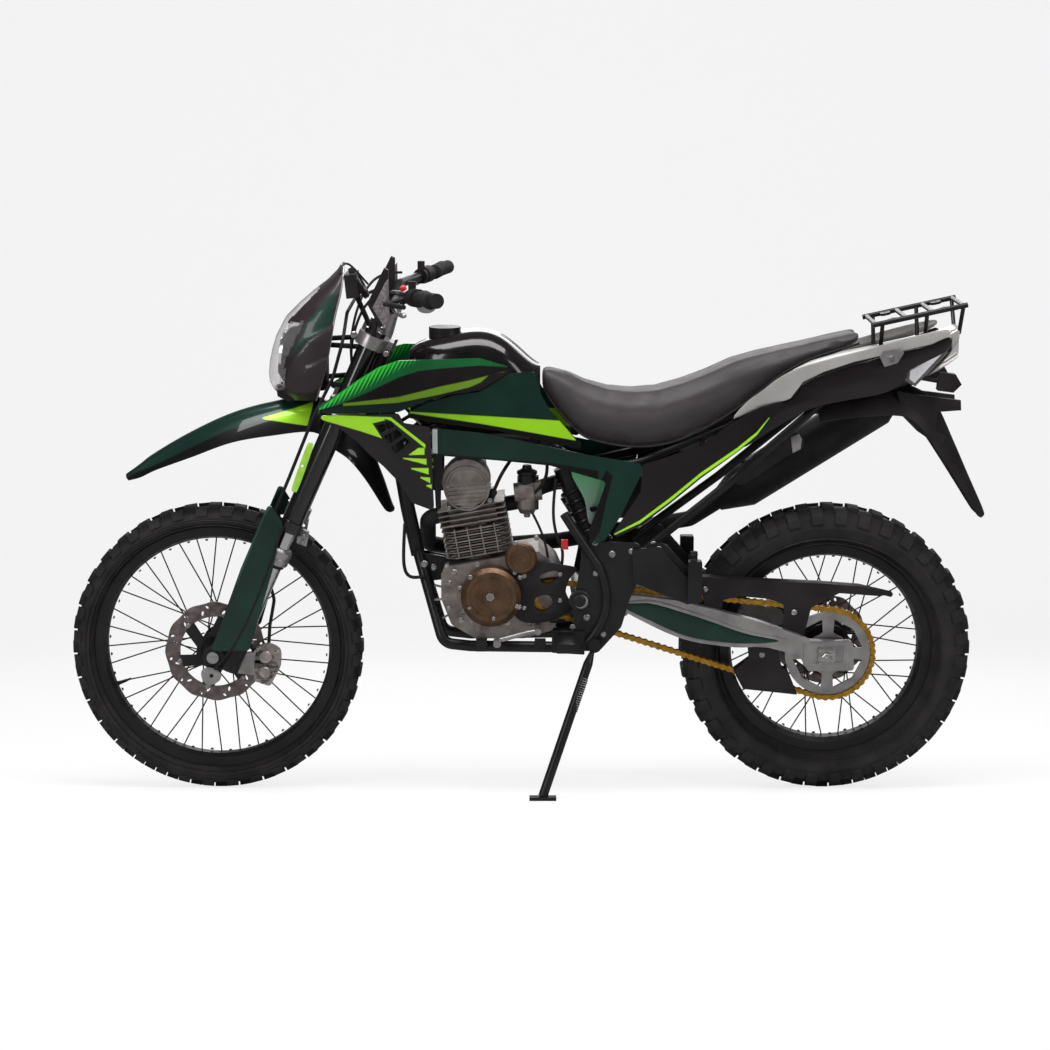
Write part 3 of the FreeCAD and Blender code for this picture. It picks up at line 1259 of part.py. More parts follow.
def side_panels(airbox, rails):
    """The panels under the seat."""
    bosses = [(645, 488, straight_in(645, 488, 120), airbox), (700, 442, at(702, 430, 70), rails)]
    solid_part("side_panels", both_sides(moulded(SIDE_PANEL_PX, SIDE_PANEL_PLAN_PX, bosses)))


TAIL_LIGHT_ROWS = [(903, 352, 377, 44), (926, 344, 368, 42), (950, 334, 352, 38)]
TAIL_ROWS = [(790, 366, 398, 84), (850, 348, 391, 76), (905, 336, 380, 62), (950, 322, 334, 44)]


def tail_cowl():
    """The tail panel under the end of the seat, with the lamp in its back."""
    whole = lofted(TAIL_ROWS, 0.6)
    cowl = main_piece(whole.cut([subframe_rods(mm("fit_gap") * 2), lofted(SEAT_ROWS, 0.8)]))
    solid_part("tail_cowl", cowl)
    solid_part("tail_light", main_piece(lofted(TAIL_LIGHT_ROWS, 0.5).cut(whole)))
    return cowl


def arched_strip(rows, wall_thickness):
    """A mudguard: arched sections along a line; rows are px, crown, edge and half width."""
    wires = []
    for px, crown, edge_px, edge, half in rows:
        x, top = spot(px, crown)
        edge_x, low = spot(edge_px, edge)
        outer = [Vector(edge_x, -half, low), Vector(x, 0, top), Vector(edge_x, half, low)]
        inset = (Vector(x, 0, top) - Vector(edge_x, 0, low)).normalize() * wall_thickness
        inner = [Vector(edge_x, half - wall_thickness, low), Vector(x, 0, top) - inset,
                 Vector(edge_x, wall_thickness - half, low)]
        wires.append(Part.Wire([Part.Arc(*outer).toShape(), Part.LineSegment(outer[2], inner[0]).toShape(),
                                Part.Arc(*inner).toShape(),
                                Part.LineSegment(inner[2], outer[0]).toShape()]))
    return Part.makeLoft(wires, True, False)


FENDER_ROWS = [(127, 472, 130, 474, 30), (150, 452, 155, 465, 50), (188, 429, 194, 448, 62),
               (230, 408, 236, 432, 70), (270, 400, 276, 426, 70), (318, 393, 318, 424, 66), (344, 414, 336, 440, 62),
               (369, 441, 352, 452, 58), (382, 470, 368, 472, 54), (393, 503, 388, 506, 46)]
MUDGUARD_ROWS = [(812, 394, 814, 414, 66), (850, 387, 850, 409, 64), (893, 381, 893, 408, 62),
                 (924, 394, 912, 420, 60), (938, 414, 926, 434, 58), (952, 442, 941, 456, 55),
                 (966, 472, 957, 482, 51), (984, 508, 977, 514, 46)]


def front_fender():
    """The high front mudguard, carried under the lower clamp, with its flap between the legs."""
    shape = arched_strip(FENDER_ROWS, mm("fender_wall"))
    solid_part("front_fender", shape)
    return shape


def rear_mudguard(cowl):
    """The rear mudguard, tucked up under the tail panel."""
    room = subframe_rods(mm("fit_gap") * 2)
    strip = arched_strip(MUDGUARD_ROWS, mm("fender_wall"))
    solid_part("rear_mudguard", main_piece(strip.cut([cowl, room])))


RACK_PX = [(862, 318), (954, 298)]
RACK_BAR_SHARES = [-0.46, -0.14, 0.14, 0.46]
RACK_SLOPE_SHARE = 0.217
RACK_LEG_ROWS = [(872, 350, 54), (915, 344, 46), (950, 328, 34)]


def rack_place():
    """The rack's own frame: X up its slope to the rear, Z square to its bars."""
    front, back = [at(px, py) for px, py in RACK_PX]
    slope = math.degrees(math.atan2(back.z - front.z, back.x - front.x))
    return Placement((front + back) / 2, Rotation(Vector(0, 1, 0), -slope)), (back - front).Length


def rear_rack(cowl):
    """A flat luggage rack: side rails, cross bars, legs and four drilled tabs."""
    half = mm("rack_width") / 2
    radius = mm("rack_diameter") / 2
    place, length = rack_place()
    bars = [Part.makeCylinder(radius, length, Vector(-length / 2, side, 0), Vector(1, 0, 0))
            for side in (half, -half)]
    for share in RACK_BAR_SHARES:
        bars.append(Part.makeCylinder(radius * 0.9, half * 2, Vector(length * share, -half, 0),
                                      Vector(0, 1, 0)))
    reach = mm("rack_bolt_spacing") / 2
    tab = mm("rack_tab_width")
    for along in (1, -1):
        for side in (1, -1):
            middle = Vector(along * reach, side * reach, -mm("cover_wall") / 4)
            bars.append(Part.makeCylinder(tab / 2, mm("cover_wall") / 2, middle))
            corner = middle + Vector(-tab / 2, 0 if side > 0 else reach - half, 0)
            bars.append(Part.makeBox(tab, half - reach, mm("cover_wall") / 2, corner))
    rack = bars[0].fuse(bars[1:])
    for along in (1, -1):
        for side in (1, -1):
            hole = Part.makeCylinder(mm("rack_hole_diameter") / 2, half,
                                     Vector(along * reach, side * reach, -half / 2))
            rack = rack.cut(hole)
    rack.Placement = place
    legs = []
    for px, py, reach in RACK_LEG_ROWS:
        for side in (1, -1):
            foot = at(px, py)
            top = Vector(foot.x, side * half, place.Base.z + (foot.x - place.Base.x) * RACK_SLOPE_SHARE)
            foot.y = side * reach
            legs.append(stay(foot, top, radius * 1.6))
    solid_part("rear_rack", main_piece(rack.fuse(legs).cut(cowl)))


MASK_ROWS = [(393, 288, 318, 66), (372, 271, 322, 84), (345, 274, 329, 96), (312, 290, 336, 94),
             (290, 311, 340, 74), (267, 341, 347, 30)]
LENS_PX = [(262, 396), (281, 396), (280, 345), (288, 319), (301, 303), (321, 286), (350, 262), (300, 262),
           (262, 300)]
LAMP_PX = [(286, 334), (296, 322), (330, 322), (330, 384), (294, 384), (283, 366)]


def mask_block(wall_thickness):
    """The mask's outer form, drawn in by a wall; its back runs past when there is one."""
    wires = []
    behind = mm("overrun") * 2 if wall_thickness else 0
    for py, front_px, back_px, half in MASK_ROWS:
        x, z = spot(back_px, py)
        nose = spot(front_px, py)[0] + wall_thickness
        reach = half - wall_thickness
        ends = [Vector(x, -reach, z), Vector(nose, 0, z), Vector(x, reach, z)]
        tails = [Vector(x + behind, reach, z), Vector(x + behind, -reach, z)]
        edges = [Part.Arc(*ends).toShape()]
        if behind:
            edges.append(Part.LineSegment(ends[2], tails[0]).toShape())
            edges.append(Part.LineSegment(tails[0], tails[1]).toShape())
            edges.append(Part.LineSegment(tails[1], ends[0]).toShape())
        else:
            edges.append(Part.LineSegment(ends[2], ends[0]).toShape())
        wires.append(Part.Wire(edges))
    return Part.makeLoft(wires, True, False)


def headlight_cowl(tubes):
    """The fork-mounted mask, its clear front, and the lamp on stays from the fork tubes."""
    shell = mask_block(0).cut(mask_block(mm("panel_wall")))
    half = mm("bar_span") / 2
    front = side_slab(LENS_PX, 0, -half, half, mm("panel_corner"))
    lens = main_piece(shell.common(front))
    mask = main_piece(shell.cut(front))
    solid_part("headlight_cowl", mask)
    solid_part("headlight", lens)
    lamp = side_slab(LAMP_PX, 0, -mm("lamp_width") / 2, mm("lamp_width") / 2, mm("panel_corner"))
    stays = []
    for px, py in LAMP_STAY_PX:
        for side in (1, -1):
            inner = at(px, py, side * mm("lamp_width") * 0.4)
            reach = (inner.z - leg_point(0).z) / steer_up().z
            clamp = leg_point(reach, 0, side * mm("fork_spread") / 2)
            stays.append(stay(inner, clamp, mm("stay_diameter")))
            wing = stay(inner, Vector(inner.x, inner.y * 4, inner.z), mm("stay_diameter"))
            stays.append(wing.common(mask_block(mm("panel_wall") / 2)))
    lamp = lamp.fuse(stays).cut([mask, lens, tubes])
    solid_part("headlight_housing", main_piece(lamp))


LAMP_STAY_PX = [(322, 338), (322, 376)]


FORK_GUARD_PX = [(270, 490), (283, 512), (272, 560), (247, 642), (206, 644), (214, 628), (240, 558)]
FORK_GUARD_PLAN_PX = [(196, 116, 112), (226, 129, 126), (256, 134, 132), (290, 132, 130)]


def fork_guards(carriers):
    """The moulded guards in front of the lower legs, on the axle castings."""
    bosses = [(232, 634, leg_point(mm("stanchion_start") * 0.8, 0, mm("fork_spread") / 2), carriers)]
    solid_part("fork_guards", both_sides(moulded(FORK_GUARD_PX, FORK_GUARD_PLAN_PX, bosses)))


CALIPER_PX = [(253, 642), (272, 648), (278, 664), (268, 682), (252, 676)]
CALIPER_BRACKET_PX = [(228, 648), (262, 646), (264, 672), (232, 668)]


def disc_room(end, side):
    """The space a turning brake disc needs, as a drum."""
    slot = mm("disc_thickness") / 2 + mm("run_gap")
    centre = axle_at(end).Base
    return Part.makeCylinder(mm(f"{end}_disc_radius") + mm("run_gap"), slot * 2,
                             centre - Vector(0, side + slot, 0), Vector(0, 1, 0))


def front_caliper(carriers):
    """The front caliper astride the disc, on a bracket from the left casting."""
    side = mm("front_disc_centre")
    half = mm("caliper_width") / 2
    block = side_slab(CALIPER_PX, side, side - half, side + half, mm("case_corner") / 2)
    foot = side + mm("disc_thickness") + mm("run_gap") * 2
    bracket = side_slab(CALIPER_BRACKET_PX, side, foot, foot + mm("peg_bracket"), mm("weld_bite"))
    shape = main_piece(block.fuse(bracket).cut([disc_room("front", side), carriers]))
    solid_part("front_caliper", shape)
    return shape


REAR_CALIPER_PX = [(772, 592), (800, 590), (808, 602), (790, 624), (774, 630), (766, 612)]


def rear_caliper():
    """The rear caliper astride the disc on the right, against the inside of the arm."""
    side = mm("rear_disc_centre")
    outer = (mm("arm_spread") - mm("arm_thickness")) / 2 - mm("fit_gap")
    block = side_slab(REAR_CALIPER_PX, -side, -outer, mm("caliper_width") / 2 - side, mm("case_corner") / 2)
    solid_part("rear_caliper", main_piece(block.cut(disc_room("rear", -side))))


PEG_BRACKET_PX = [(552, 622), (585, 622), (585, 646), (552, 644)]
PASSENGER_BRACKET_PX = [(632, 538), (660, 535), (690, 570), (704, 590), (688, 594), (634, 572)]
FOLDED_PEG_PX = [(688, 548), (702, 548), (702, 590), (688, 590)]
PEG_PX = (567, 634)


def peg_bracket(outline_px):
    """A plate bolted to the outside of the left swingarm plate, and how far out its face is."""
    inner = (mm("frame_plate_spread") + mm("plate_thickness")) / 2 + mm("fit_gap") / 3
    outer = inner + mm("peg_bracket")
    return side_slab(outline_px, inner, inner, outer, mm("weld_bite")), outer


def footpegs():
    """The rider's footrests and the passenger's, folded back on their brackets."""
    plate, face = peg_bracket(PEG_BRACKET_PX)
    width = mm("peg_width")
    x, z = spot(*PEG_PX, mm("peg_end"))
    tread = Part.makeBox(width, mm("peg_end") - face, width * 0.5, Vector(x - width / 2, -mm("peg_end"), z - width / 4))
    plate_back, face = peg_bracket(PASSENGER_BRACKET_PX)
    folded = side_slab(FOLDED_PEG_PX, face, face, face + mm("passenger_peg_width"), mm("peg_bracket") / 2)
    sides = [both_sides(plate.fuse(tread)), both_sides(plate_back.fuse(folded))]
    solid_part("footpegs", Part.makeCompound([piece for side in sides for piece in side.Solids]))


def stand_axis():
    """The stand's hinge: sideways, tipped so the folded leg tucks in."""
    return Vector(0, -1, mm("stand_axis_tilt_share")).normalize()


def side_stand():
    """The stand's leg from its hinge boss to its foot, let down."""
    pivot = stand_pivot()
    lean = math.radians(mm("lean_angle"))
    foot_side = mm("stand_pivot_side") + mm("stand_reach_side")
    ground = foot_side * math.tan(lean) - PARK.Base.z / math.cos(lean)
    foot = Vector(pivot.x - mm("stand_reach_x"), -foot_side, ground)
    sole = foot + Vector(0, math.sin(lean), math.cos(lean)) * mm("stand_foot_height")
    run = sole - pivot
    along = Vector(run).normalize()
    radius = mm("stand_diameter") / 2
    neck = mm("stand_boss_diameter") * 1.3
    taper = Part.makeCone(mm("stand_boss_width") / 5, radius, neck, pivot, along)
    leg = Part.makeCylinder(radius, run.Length - neck, pivot + along * neck, along)
    boss = Part.makeCylinder(mm("stand_boss_diameter") / 2, mm("stand_boss_width"),
                             pivot - stand_axis() * mm("stand_boss_width") / 2, stand_axis())
    sole_plate = Part.makeBox(mm("stand_foot_length"), mm("stand_foot_width"), mm("stand_foot_height"),
                              Vector(-mm("stand_foot_length") / 2, -mm("stand_foot_width") / 2, 0))
    sole_plate.Placement = Placement(foot, Rotation(Vector(1, 0, 0), -mm("lean_angle")))
    under = Part.makeBox(mm("bar_span"), mm("bar_span"), mm("bar_span"),
                         Vector(-mm("bar_span") / 2, -mm("bar_span") / 2, -mm("bar_span")))
    under.Placement = sole_plate.Placement
    bore = Part.makeCylinder(mm("stand_bolt_diameter") / 2 + mm("fit_gap"), mm("bar_span"),
                             pivot - stand_axis() * mm("bar_span") / 2, stand_axis())
    shape = boss.fuse([taper, leg, sole_plate]).cut([under, bore])
    solid_part("side_stand", shape.removeSplitter())


def stand_pivot():
    """The middle of the stand's hinge."""
    return Vector(mm("stand_pivot_x"), -mm("stand_pivot_side"), mm("stand_pivot_height"))


def stand_lug():
    """The lug on the left plate with the pin that the stand hinges on."""
    pivot = stand_pivot()
    axis = stand_axis()
    gap = mm("stand_boss_width") / 2 + mm("fit_gap") * 2
    radius = mm("stand_boss_diameter") * 0.45
    face = pivot - axis * gap
    root = face - axis * mm("stand_lug_depth")
    lug = Part.makeCylinder(radius, mm("stand_lug_depth"), face, axis * -1)
    arm = Part.makeCone(radius * 0.9, radius, mm("plate_thickness"), root, axis * -1)
    pin = Part.makeCylinder(mm("stand_bolt_diameter") / 2, gap * 2 + mm("fit_gap") * 2, face, axis)
    head = Part.makeCylinder(radius * 0.9, mm("plate_thickness") / 2, pivot + axis * gap, axis)
    return lug.fuse([arm, pin, head])


def rear_shock(backbone, arm):
    """The single shock between the frame's bridge and the swingarm's cross brace."""
    foot = at(*BRACE_PX)
    bridge = at(*BACKBONE_PX[-1])
    top = bridge + (foot - bridge).normalize() * mm("rail_diameter")
    run = foot - top
    body = Part.makeCylinder(mm("shock_diameter") / 2, run.Length * 0.7, top + run * 0.08, run)
    shaft = Part.makeCylinder(mm("shock_diameter") / 5, run.Length, top, run)
    width = mm("shock_diameter") / 2
    eyes = [Part.makeCylinder(mm("shock_eye") / 2, width, foot - Vector(0, width / 2, 0), Vector(0, 1, 0)),
            Part.makeCylinder(mm("shock_eye") / 3, width, top - Vector(0, width / 2, 0), Vector(0, 1, 0))]
    solid_part("rear_shock", main_piece(body.fuse([shaft] + eyes).cut([backbone, arm])))


AIRBOX_PX = [(600, 476), (640, 468), (690, 450), (676, 486), (640, 510), (612, 510)]
INTAKE_PX = [(540, 484), (558, 482), (604, 488)]
AIRBOX_STAY_PX = (662, 443)
CARBURETTOR_PX = (528, 486)


def intake(carrier):
    """The airbox behind the engine, its duct past the shock, and the carburettor."""
    half = mm("airbox_width") / 2
    box = side_slab(AIRBOX_PX, 0, -half, half, mm("case_corner"))
    side = (mm("shock_diameter") + mm("intake_diameter")) / 2 + mm("run_gap") / 2
    points = [port_point(-mm("fit_gap")), port_point(-mm("intake_diameter")), at(*INTAKE_PX[0])]
    points += [at(px, py) + Vector(0, side, 0) for px, py in INTAKE_PX[1:]]
    duct = rod(points, mm("intake_diameter"), mm("intake_diameter") * 0.75)
    middle = at(*CARBURETTOR_PX)
    bowl = Part.makeCylinder(mm("intake_diameter") * 0.7, mm("intake_diameter") * 2.2,
                             middle - Vector(0, 0, mm("intake_diameter") * 1.3), Vector(0, 0, 1))
    top = at(*AIRBOX_STAY_PX)
    hook = stay(Vector(top.x, -half * 0.8, top.z - mm("mount_width") * 2),
                Vector(top.x, -mm("subframe_spread") / 2, top.z), mm("stay_diameter"))
    shape = main_piece(box.fuse([duct, bowl] + both_sides(hook).Solids).cut(carrier))
    solid_part("intake", shape)
    return shape


GUARD_PX = [(700, 568), (740, 571), (820, 575), (860, 578), (894, 586), (880, 588), (840, 585), (830, 590),
            (812, 600), (804, 634), (784, 630), (785, 597), (770, 591), (740, 588), (724, 592), (720, 612),
            (706, 606), (704, 592)]
GUARD_TOP_PX = [(700, 568), (740, 571), (820, 575), (860, 578), (894, 586), (892, 589), (860, 581),
                (820, 578), (740, 574), (700, 572)]
GUIDE_PX = [(735, 665), (755, 650), (790, 665), (800, 690), (745, 684)]
GUIDE_BRACKET_PX = [(748, 632), (778, 636), (786, 672), (752, 668)]


def chain_guard(arm):
    """The guard over the top run and the guide round the bottom run, both on the left arm."""
    side = mm("chain_line")
    outer = (mm("arm_spread") - mm("arm_thickness")) / 2 + mm("panel_wall") * 1.5
    inner = outer - mm("panel_wall")
    corner = mm("weld_bite")
    face = side_slab(GUARD_PX, side, inner, outer, corner)
    roof = side_slab(GUARD_TOP_PX, side, side - mm("chain_guard_width") / 2, outer, corner / 4)
    guard = main_piece(face.fuse(roof).cut(arm))
    ends = chain_ends()
    room = belt_band(ends, mm("chain_height") / 2 + mm("fit_gap") * 2, mm("chain_height") / 2 + mm("fit_gap") * 2,
                     mm("chain_width") + mm("plate_rise") * 2 + mm("fit_gap") * 4, -side)
    guide = side_slab(GUIDE_PX, side, side - mm("chain_guard_width") / 2, outer, corner)
    bracket = side_slab(GUIDE_BRACKET_PX, side, inner, outer, corner)
    guide = main_piece(guide.fuse(bracket).cut([arm, room]))
    solid_part("chain_guard", Part.makeCompound([guard, guide]))


POD_PX = (357, 293)


def instrument(clamps):
    """The instrument pod on its bracket from the upper clamp."""
    pod = Part.makeBox(mm("pod_depth"), mm("pod_width"), mm("pod_height"),
                       Vector(-mm("pod_depth") / 2, -mm("pod_width") / 2, 0))
    base = at(*POD_PX)
    pod.Placement = Placement(base, Rotation(Vector(0, 1, 0), -mm("pod_tilt")))
    bracket = stay(leg_point(mm("upper_clamp_reach")), base + Vector(0, 0, mm("pod_depth") / 2),
                   mm("stay_diameter"))
    solid_part("instrument", main_piece(pod.fuse(bracket).cut(clamps)))


def mirror_boss(middle):
    """An upright boss on a lever perch, drilled for a mirror's stem."""
    rise = mm("grip_diameter") / 2
    height = mm("mirror_hole_depth") * 1.2
    boss = Part.makeCylinder(mm("mirror_hole_diameter"), rise + height, middle)
    hole = Part.makeCylinder(mm("mirror_hole_diameter") / 2, mm("mirror_hole_depth") + mm("overrun"),
                             middle + Vector(0, 0, rise + height - mm("mirror_hole_depth")))
    return boss, hole


def hand_controls():
    """Switch blocks with their lever perches and levers."""
    shapes = []
    for side in (1, -1):
        end = Vector(mm("bar_end_x"), -side * mm("bar_span") / 2, mm("bar_end_height"))
        bend = Vector(mm("bar_clamp_x") + mm("bar_rise") * 0.2, -side * mm("bar_bend_spread") / 2,
                      mm("bar_clamp_height") + mm("bar_rise"))
        inward = (bend - end).normalize()
        start = end + inward * (mm("grip_length") + mm("fit_gap"))
        block = Part.makeCylinder(mm("grip_diameter") * 0.62, mm("switch_width"), start, inward)
        ahead = Vector(-1, 0, -0.25).normalize()
        perch_at = start + inward * mm("switch_width") * 1.35
        ring = Part.makeCylinder(mm("grip_diameter") * 0.55, mm("switch_width") * 0.5,
                                 start + inward * (mm("switch_width") + mm("fit_gap")), inward)
        arm_end = perch_at + ahead * mm("lever_reach")
        arm = Part.makeCylinder(mm("lever_diameter") / 2, (arm_end - perch_at).Length, perch_at, ahead)
        tip = end + ahead * mm("lever_reach") + inward * mm("grip_diameter")
        lever = Part.makeCylinder(mm("lever_diameter") / 2, (tip - arm_end).Length, arm_end, tip - arm_end)
        bore = Part.makeCylinder(mm("bar_diameter") / 2 + mm("fit_gap") / 3, mm("bar_span") / 2,
                                 end, inward)
        boss, hole = mirror_boss(start + inward * mm("switch_width") * 1.3)
        shapes.append(block.cut(bore))
        shapes.append(ring.fuse([arm, lever, boss]).cut([bore, hole]))
    controls = Part.makeCompound(shapes)
    solid_part("hand_controls", controls)
    return controls


HOSE_ROUTE = [(413, 292, -247), (384.5, 299, -225), (357.5, 305.5, -140), (350, 307.5, 30), (345.5, 330.5, 100),
              (335, 367.5, 100), (314.5, 408, 100), (290.5, 466.5, 100), (268, 519, 98), (263.5, 556, 62),
              (273, 594.5, 64), (268, 620.5, 74), (265.5, 655, 74)]


def brake_hose(controls, caliper):
    """The front brake hose, from the right lever's perch round the left leg to the caliper."""
    hose = rod([at(*spot_row) for spot_row in HOSE_ROUTE], mm("hose_diameter"), mm("hose_bend"))
    solid_part("brake_hose", main_piece(hose.cut([controls, caliper])))


FRONT_LAMP_PX = [(387, 255), (391, 257), (391, 304), (383, 314), (370, 290)]
REAR_LAMP_PX = [(934, 362), (950, 364), (956, 374), (948, 382), (932, 380)]


def indicators(label, outline_px, side, root, carrier):
    """A pair of turn signals on short stalks from the piece that carries them."""
    half = mm("lamp_thickness") / 2
    lamp = side_slab(outline_px, side, side - half, side + half, mm("weld_bite"))
    middle = lamp.CenterOfMass
    stalk = stay(root, middle, mm("stay_diameter")).cut(carrier)
    stalk = min(stalk.Solids, key=lambda piece: (piece.CenterOfMass - middle).Length)
    solid_part(label, both_sides(lamp.fuse(stalk)))


SHIFT_LEVER_PX = [(538, 622), (527, 624), (497, 632)]
BRAKE_PEDAL_PX = [(546, 640), (506, 646), (466, 628)]


def foot_controls(engine, cradle):
    """The gear lever on its shaft from the crankcase and the brake pedal on its boss from the rail."""
    half = mm("crankcase_width") / 2
    side = half + mm("foot_control_offset")
    shift = [at(px, py, side) for px, py in SHIFT_LEVER_PX]
    brake = [at(px, py, -side) for px, py in BRAKE_PEDAL_PX]
    diameter = mm("lever_diameter")
    toe = Part.makeCylinder(diameter * 0.8, mm("switch_width"), shift[-1], Vector(0, -1, 0))
    shaft = stay(Vector(shift[0].x, -half * 0.9, shift[0].z), shift[0] - Vector(0, diameter, 0), diameter * 1.4)
    left = rod(shift, diameter, diameter).fuse([toe, shaft]).cut(engine)
    tread = Part.makeBox(mm("switch_width"), mm("switch_width"), diameter,
                         brake[-1] - Vector(mm("switch_width") / 2, 0, diameter / 2))
    boss = stay(Vector(brake[0].x, plate_reach(mm("rail_diameter")), brake[0].z),
                brake[0] + Vector(0, diameter, 0), diameter * 1.8)
    right = rod(brake, diameter, diameter).fuse([tread, boss]).cut(cradle)
    solid_part("foot_controls", Part.makeCompound([main_piece(left), main_piece(right)]))


def build_wheels():
    for end in ("front", "rear"):
        tyre(end)
        rim(end)
        brake_disc(end)
    hub("front", disc_face("front"), None)
    hub("rear", "chain_line - sprocket_thickness / 2 - fit_gap", disc_face("rear"))
    rear_sprocket()
    keep(axle("front", "fork_spread + carrier_width"), "front_axle")


def build_steering():
    tubes = fork_tubes()
    fork_stanchions()
    carriers = axle_carriers()
    clamps = triple_clamps(front_fender())
    handlebar()
    grips()
    controls = hand_controls()
    instrument(clamps)
    headlight_cowl(tubes)
    fork_guards(carriers)
    brake_hose(controls, front_caliper(carriers))
    root = leg_point(mm("upper_clamp_reach"), 0, mm("fork_spread") / 2 + mm("collar_height"))
    indicators("front_indicators", FRONT_LAMP_PX, mm("front_lamp_side"), root, clamps.fuse(tubes))


def build_chassis():
    """The frame, the engine that hangs in it, and what the frame carries."""
    backbone = frame_backbone()
    engine = crankcase()
    cradle = frame_cradle(backbone, engine)
    frame_plates()
    rails = subframe(backbone)
    arm = swingarm()
    group("arm_bolts", [pivot_bolt(), axle("rear", "arm_spread + arm_thickness")])
    rear_shock(backbone, arm)
    side_stand()
    footpegs()
    foot_controls(engine, cradle)
    chain()
    chain_guard(arm)
    rear_caliper()
    build_engine(rails)
    build_bodywork(backbone, cradle, rails, intake(rails))


def build_engine(rails):
    cylinder()
    cylinder_head()
    sprocket_cover(engine_covers())
    exhaust_pipe()
    muffler(rails)


def build_bodywork(backbone, cradle, rails, airbox):
    tank = fuel_tank()
    seat()
    shrouds_upper(tank)
    shrouds_lower(tank, cradle)
    tank_panels(tank)
    frame_covers(tank, backbone)
    side_panels(airbox, rails)
    cowl = tail_cowl()
    rear_mudguard(cowl)
    rear_rack(cowl)
    indicators("rear_indicators", REAR_LAMP_PX, mm("rear_lamp_side"), at(900, 368, mm("tail_spread") / 2), cowl)


def export():
    """Checks every object and shape, then writes one file to each sub-part."""
    document.recompute()
    faults = [f"{item.Label} is {state}" for item in document.Objects for state in ("Invalid", "Error")
              if state in item.State]
    faults += [f"{item.Label} has no sound shape" for item in parts
               if item.Shape.isNull() or not item.Shape.isValid()]
    if faults:
        raise RuntimeError("; ".join(faults))
    os.makedirs("parts", exist_ok=True)
    for item in parts:
        item.Shape.exportStep(f"parts/{item.Label}.step")


build_wheels()
build_steering()
build_chassis()
export()
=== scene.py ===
# %% [markdown]
# # A dual sport motorcycle, dressed in Blender
# The engineering model gives every main shape and joint. This lesson adds what the eye reads as real:
# paint, castings, rubber, the padded saddle, the roller chain, fasteners, springs, lamps and cables.

# %% Load the frame
import math

import bmesh
import bpy
from mathutils import Matrix, Vector


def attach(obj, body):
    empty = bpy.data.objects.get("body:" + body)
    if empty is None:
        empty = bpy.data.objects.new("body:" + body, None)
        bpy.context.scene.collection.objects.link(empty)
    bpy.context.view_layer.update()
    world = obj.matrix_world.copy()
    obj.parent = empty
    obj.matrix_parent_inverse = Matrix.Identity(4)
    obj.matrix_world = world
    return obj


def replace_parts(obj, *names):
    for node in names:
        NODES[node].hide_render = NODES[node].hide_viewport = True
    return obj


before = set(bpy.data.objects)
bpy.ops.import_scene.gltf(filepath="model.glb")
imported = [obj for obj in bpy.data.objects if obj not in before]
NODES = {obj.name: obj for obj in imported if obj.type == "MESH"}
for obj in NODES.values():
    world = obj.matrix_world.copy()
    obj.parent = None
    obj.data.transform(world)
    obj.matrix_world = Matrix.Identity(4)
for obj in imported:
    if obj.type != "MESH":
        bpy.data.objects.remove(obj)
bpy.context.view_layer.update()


def shown(name, data):
    """A new object in the scene for that data."""
    item = bpy.data.objects.new(name, data)
    bpy.context.scene.collection.objects.link(item)
    return item


# %% [markdown]
# The machine was drawn upright, from pixels of its side view, and then leaned on its side stand.
# The same two steps are kept here, so a detail that is seen at a pixel lands where it belongs.

# %% From a pixel of the side view to a place on the leaning machine
MM = 0.001
SCALE = 1440 / 610 * MM
MIDDLE_PX, EYE_PX, HORIZON_PX, GROUND_PX = 521.25, 525, 432, 792
EYE_DISTANCE = 6.0
PHOTO_PX, SENSOR = 1050, 36
AXLE_OUT, AXLE_UP = 0.72, 0.345
LEAN = math.radians(9)
PARK_X, PARK_Y = -13.7 * MM, 188.7 * MM
PARK = Matrix.Translation((PARK_X, PARK_Y, 12 * MM * math.sin(LEAN))) @ Matrix.Rotation(LEAN, 4, "X")


def flat(px, py, side=0.0):
    """That pixel's place on the upright machine, on the plane that far (metres) left of the middle."""
    near = 1 - side / EYE_DISTANCE
    across = (px - EYE_PX) * near + EYE_PX - MIDDLE_PX
    down = (py - HORIZON_PX) * near + HORIZON_PX
    return Vector((across * SCALE, -side, (GROUND_PX - down) * SCALE))


def at(px, py, side=0.0):
    """The same place on the leaning machine."""
    return PARK @ flat(px, py, side)


def aim(x, y, z):
    """A direction of the upright machine, turned to the leaning one, one metre long."""
    return (PARK.to_3x3() @ Vector((x, y, z))).normalized()


LEFT = aim(0, -1, 0)
UPRIGHT = PARK.inverted()
print("park", [round(v, 4) for v in PARK.translation])

# %% [markdown]
# The photographer stands six metres off, a little under a metre up, and looks slightly down. A long
# lens keeps both wheels round. The camera comes first because everything later is judged through it.

# %% Camera
camera_data = bpy.data.cameras.new("camera")
camera_data.sensor_width = SENSOR
camera_data.lens = SENSOR * EYE_DISTANCE / (PHOTO_PX * SCALE)
camera = shown("camera", camera_data)
eye_x = (EYE_PX - MIDDLE_PX) * SCALE + PARK_X
eye_drop = math.atan((EYE_PX - HORIZON_PX) * SCALE / EYE_DISTANCE)
camera.location = (eye_x, 0.095 - EYE_DISTANCE, (GROUND_PX - HORIZON_PX) * SCALE)
camera.rotation_euler = (math.pi / 2 - eye_drop, 0, 0)
bpy.context.scene.camera = camera
bpy.context.scene.view_settings.view_transform = "Standard"
print("lens", round(camera_data.lens, 1))

# %% [markdown]
# A material is a small network of nodes. One function adds a node; a value that is a socket is linked,
# anything else is set on the socket. Colours are written as the hex a painter would pick, and turned
# to Blender's linear light by one function.

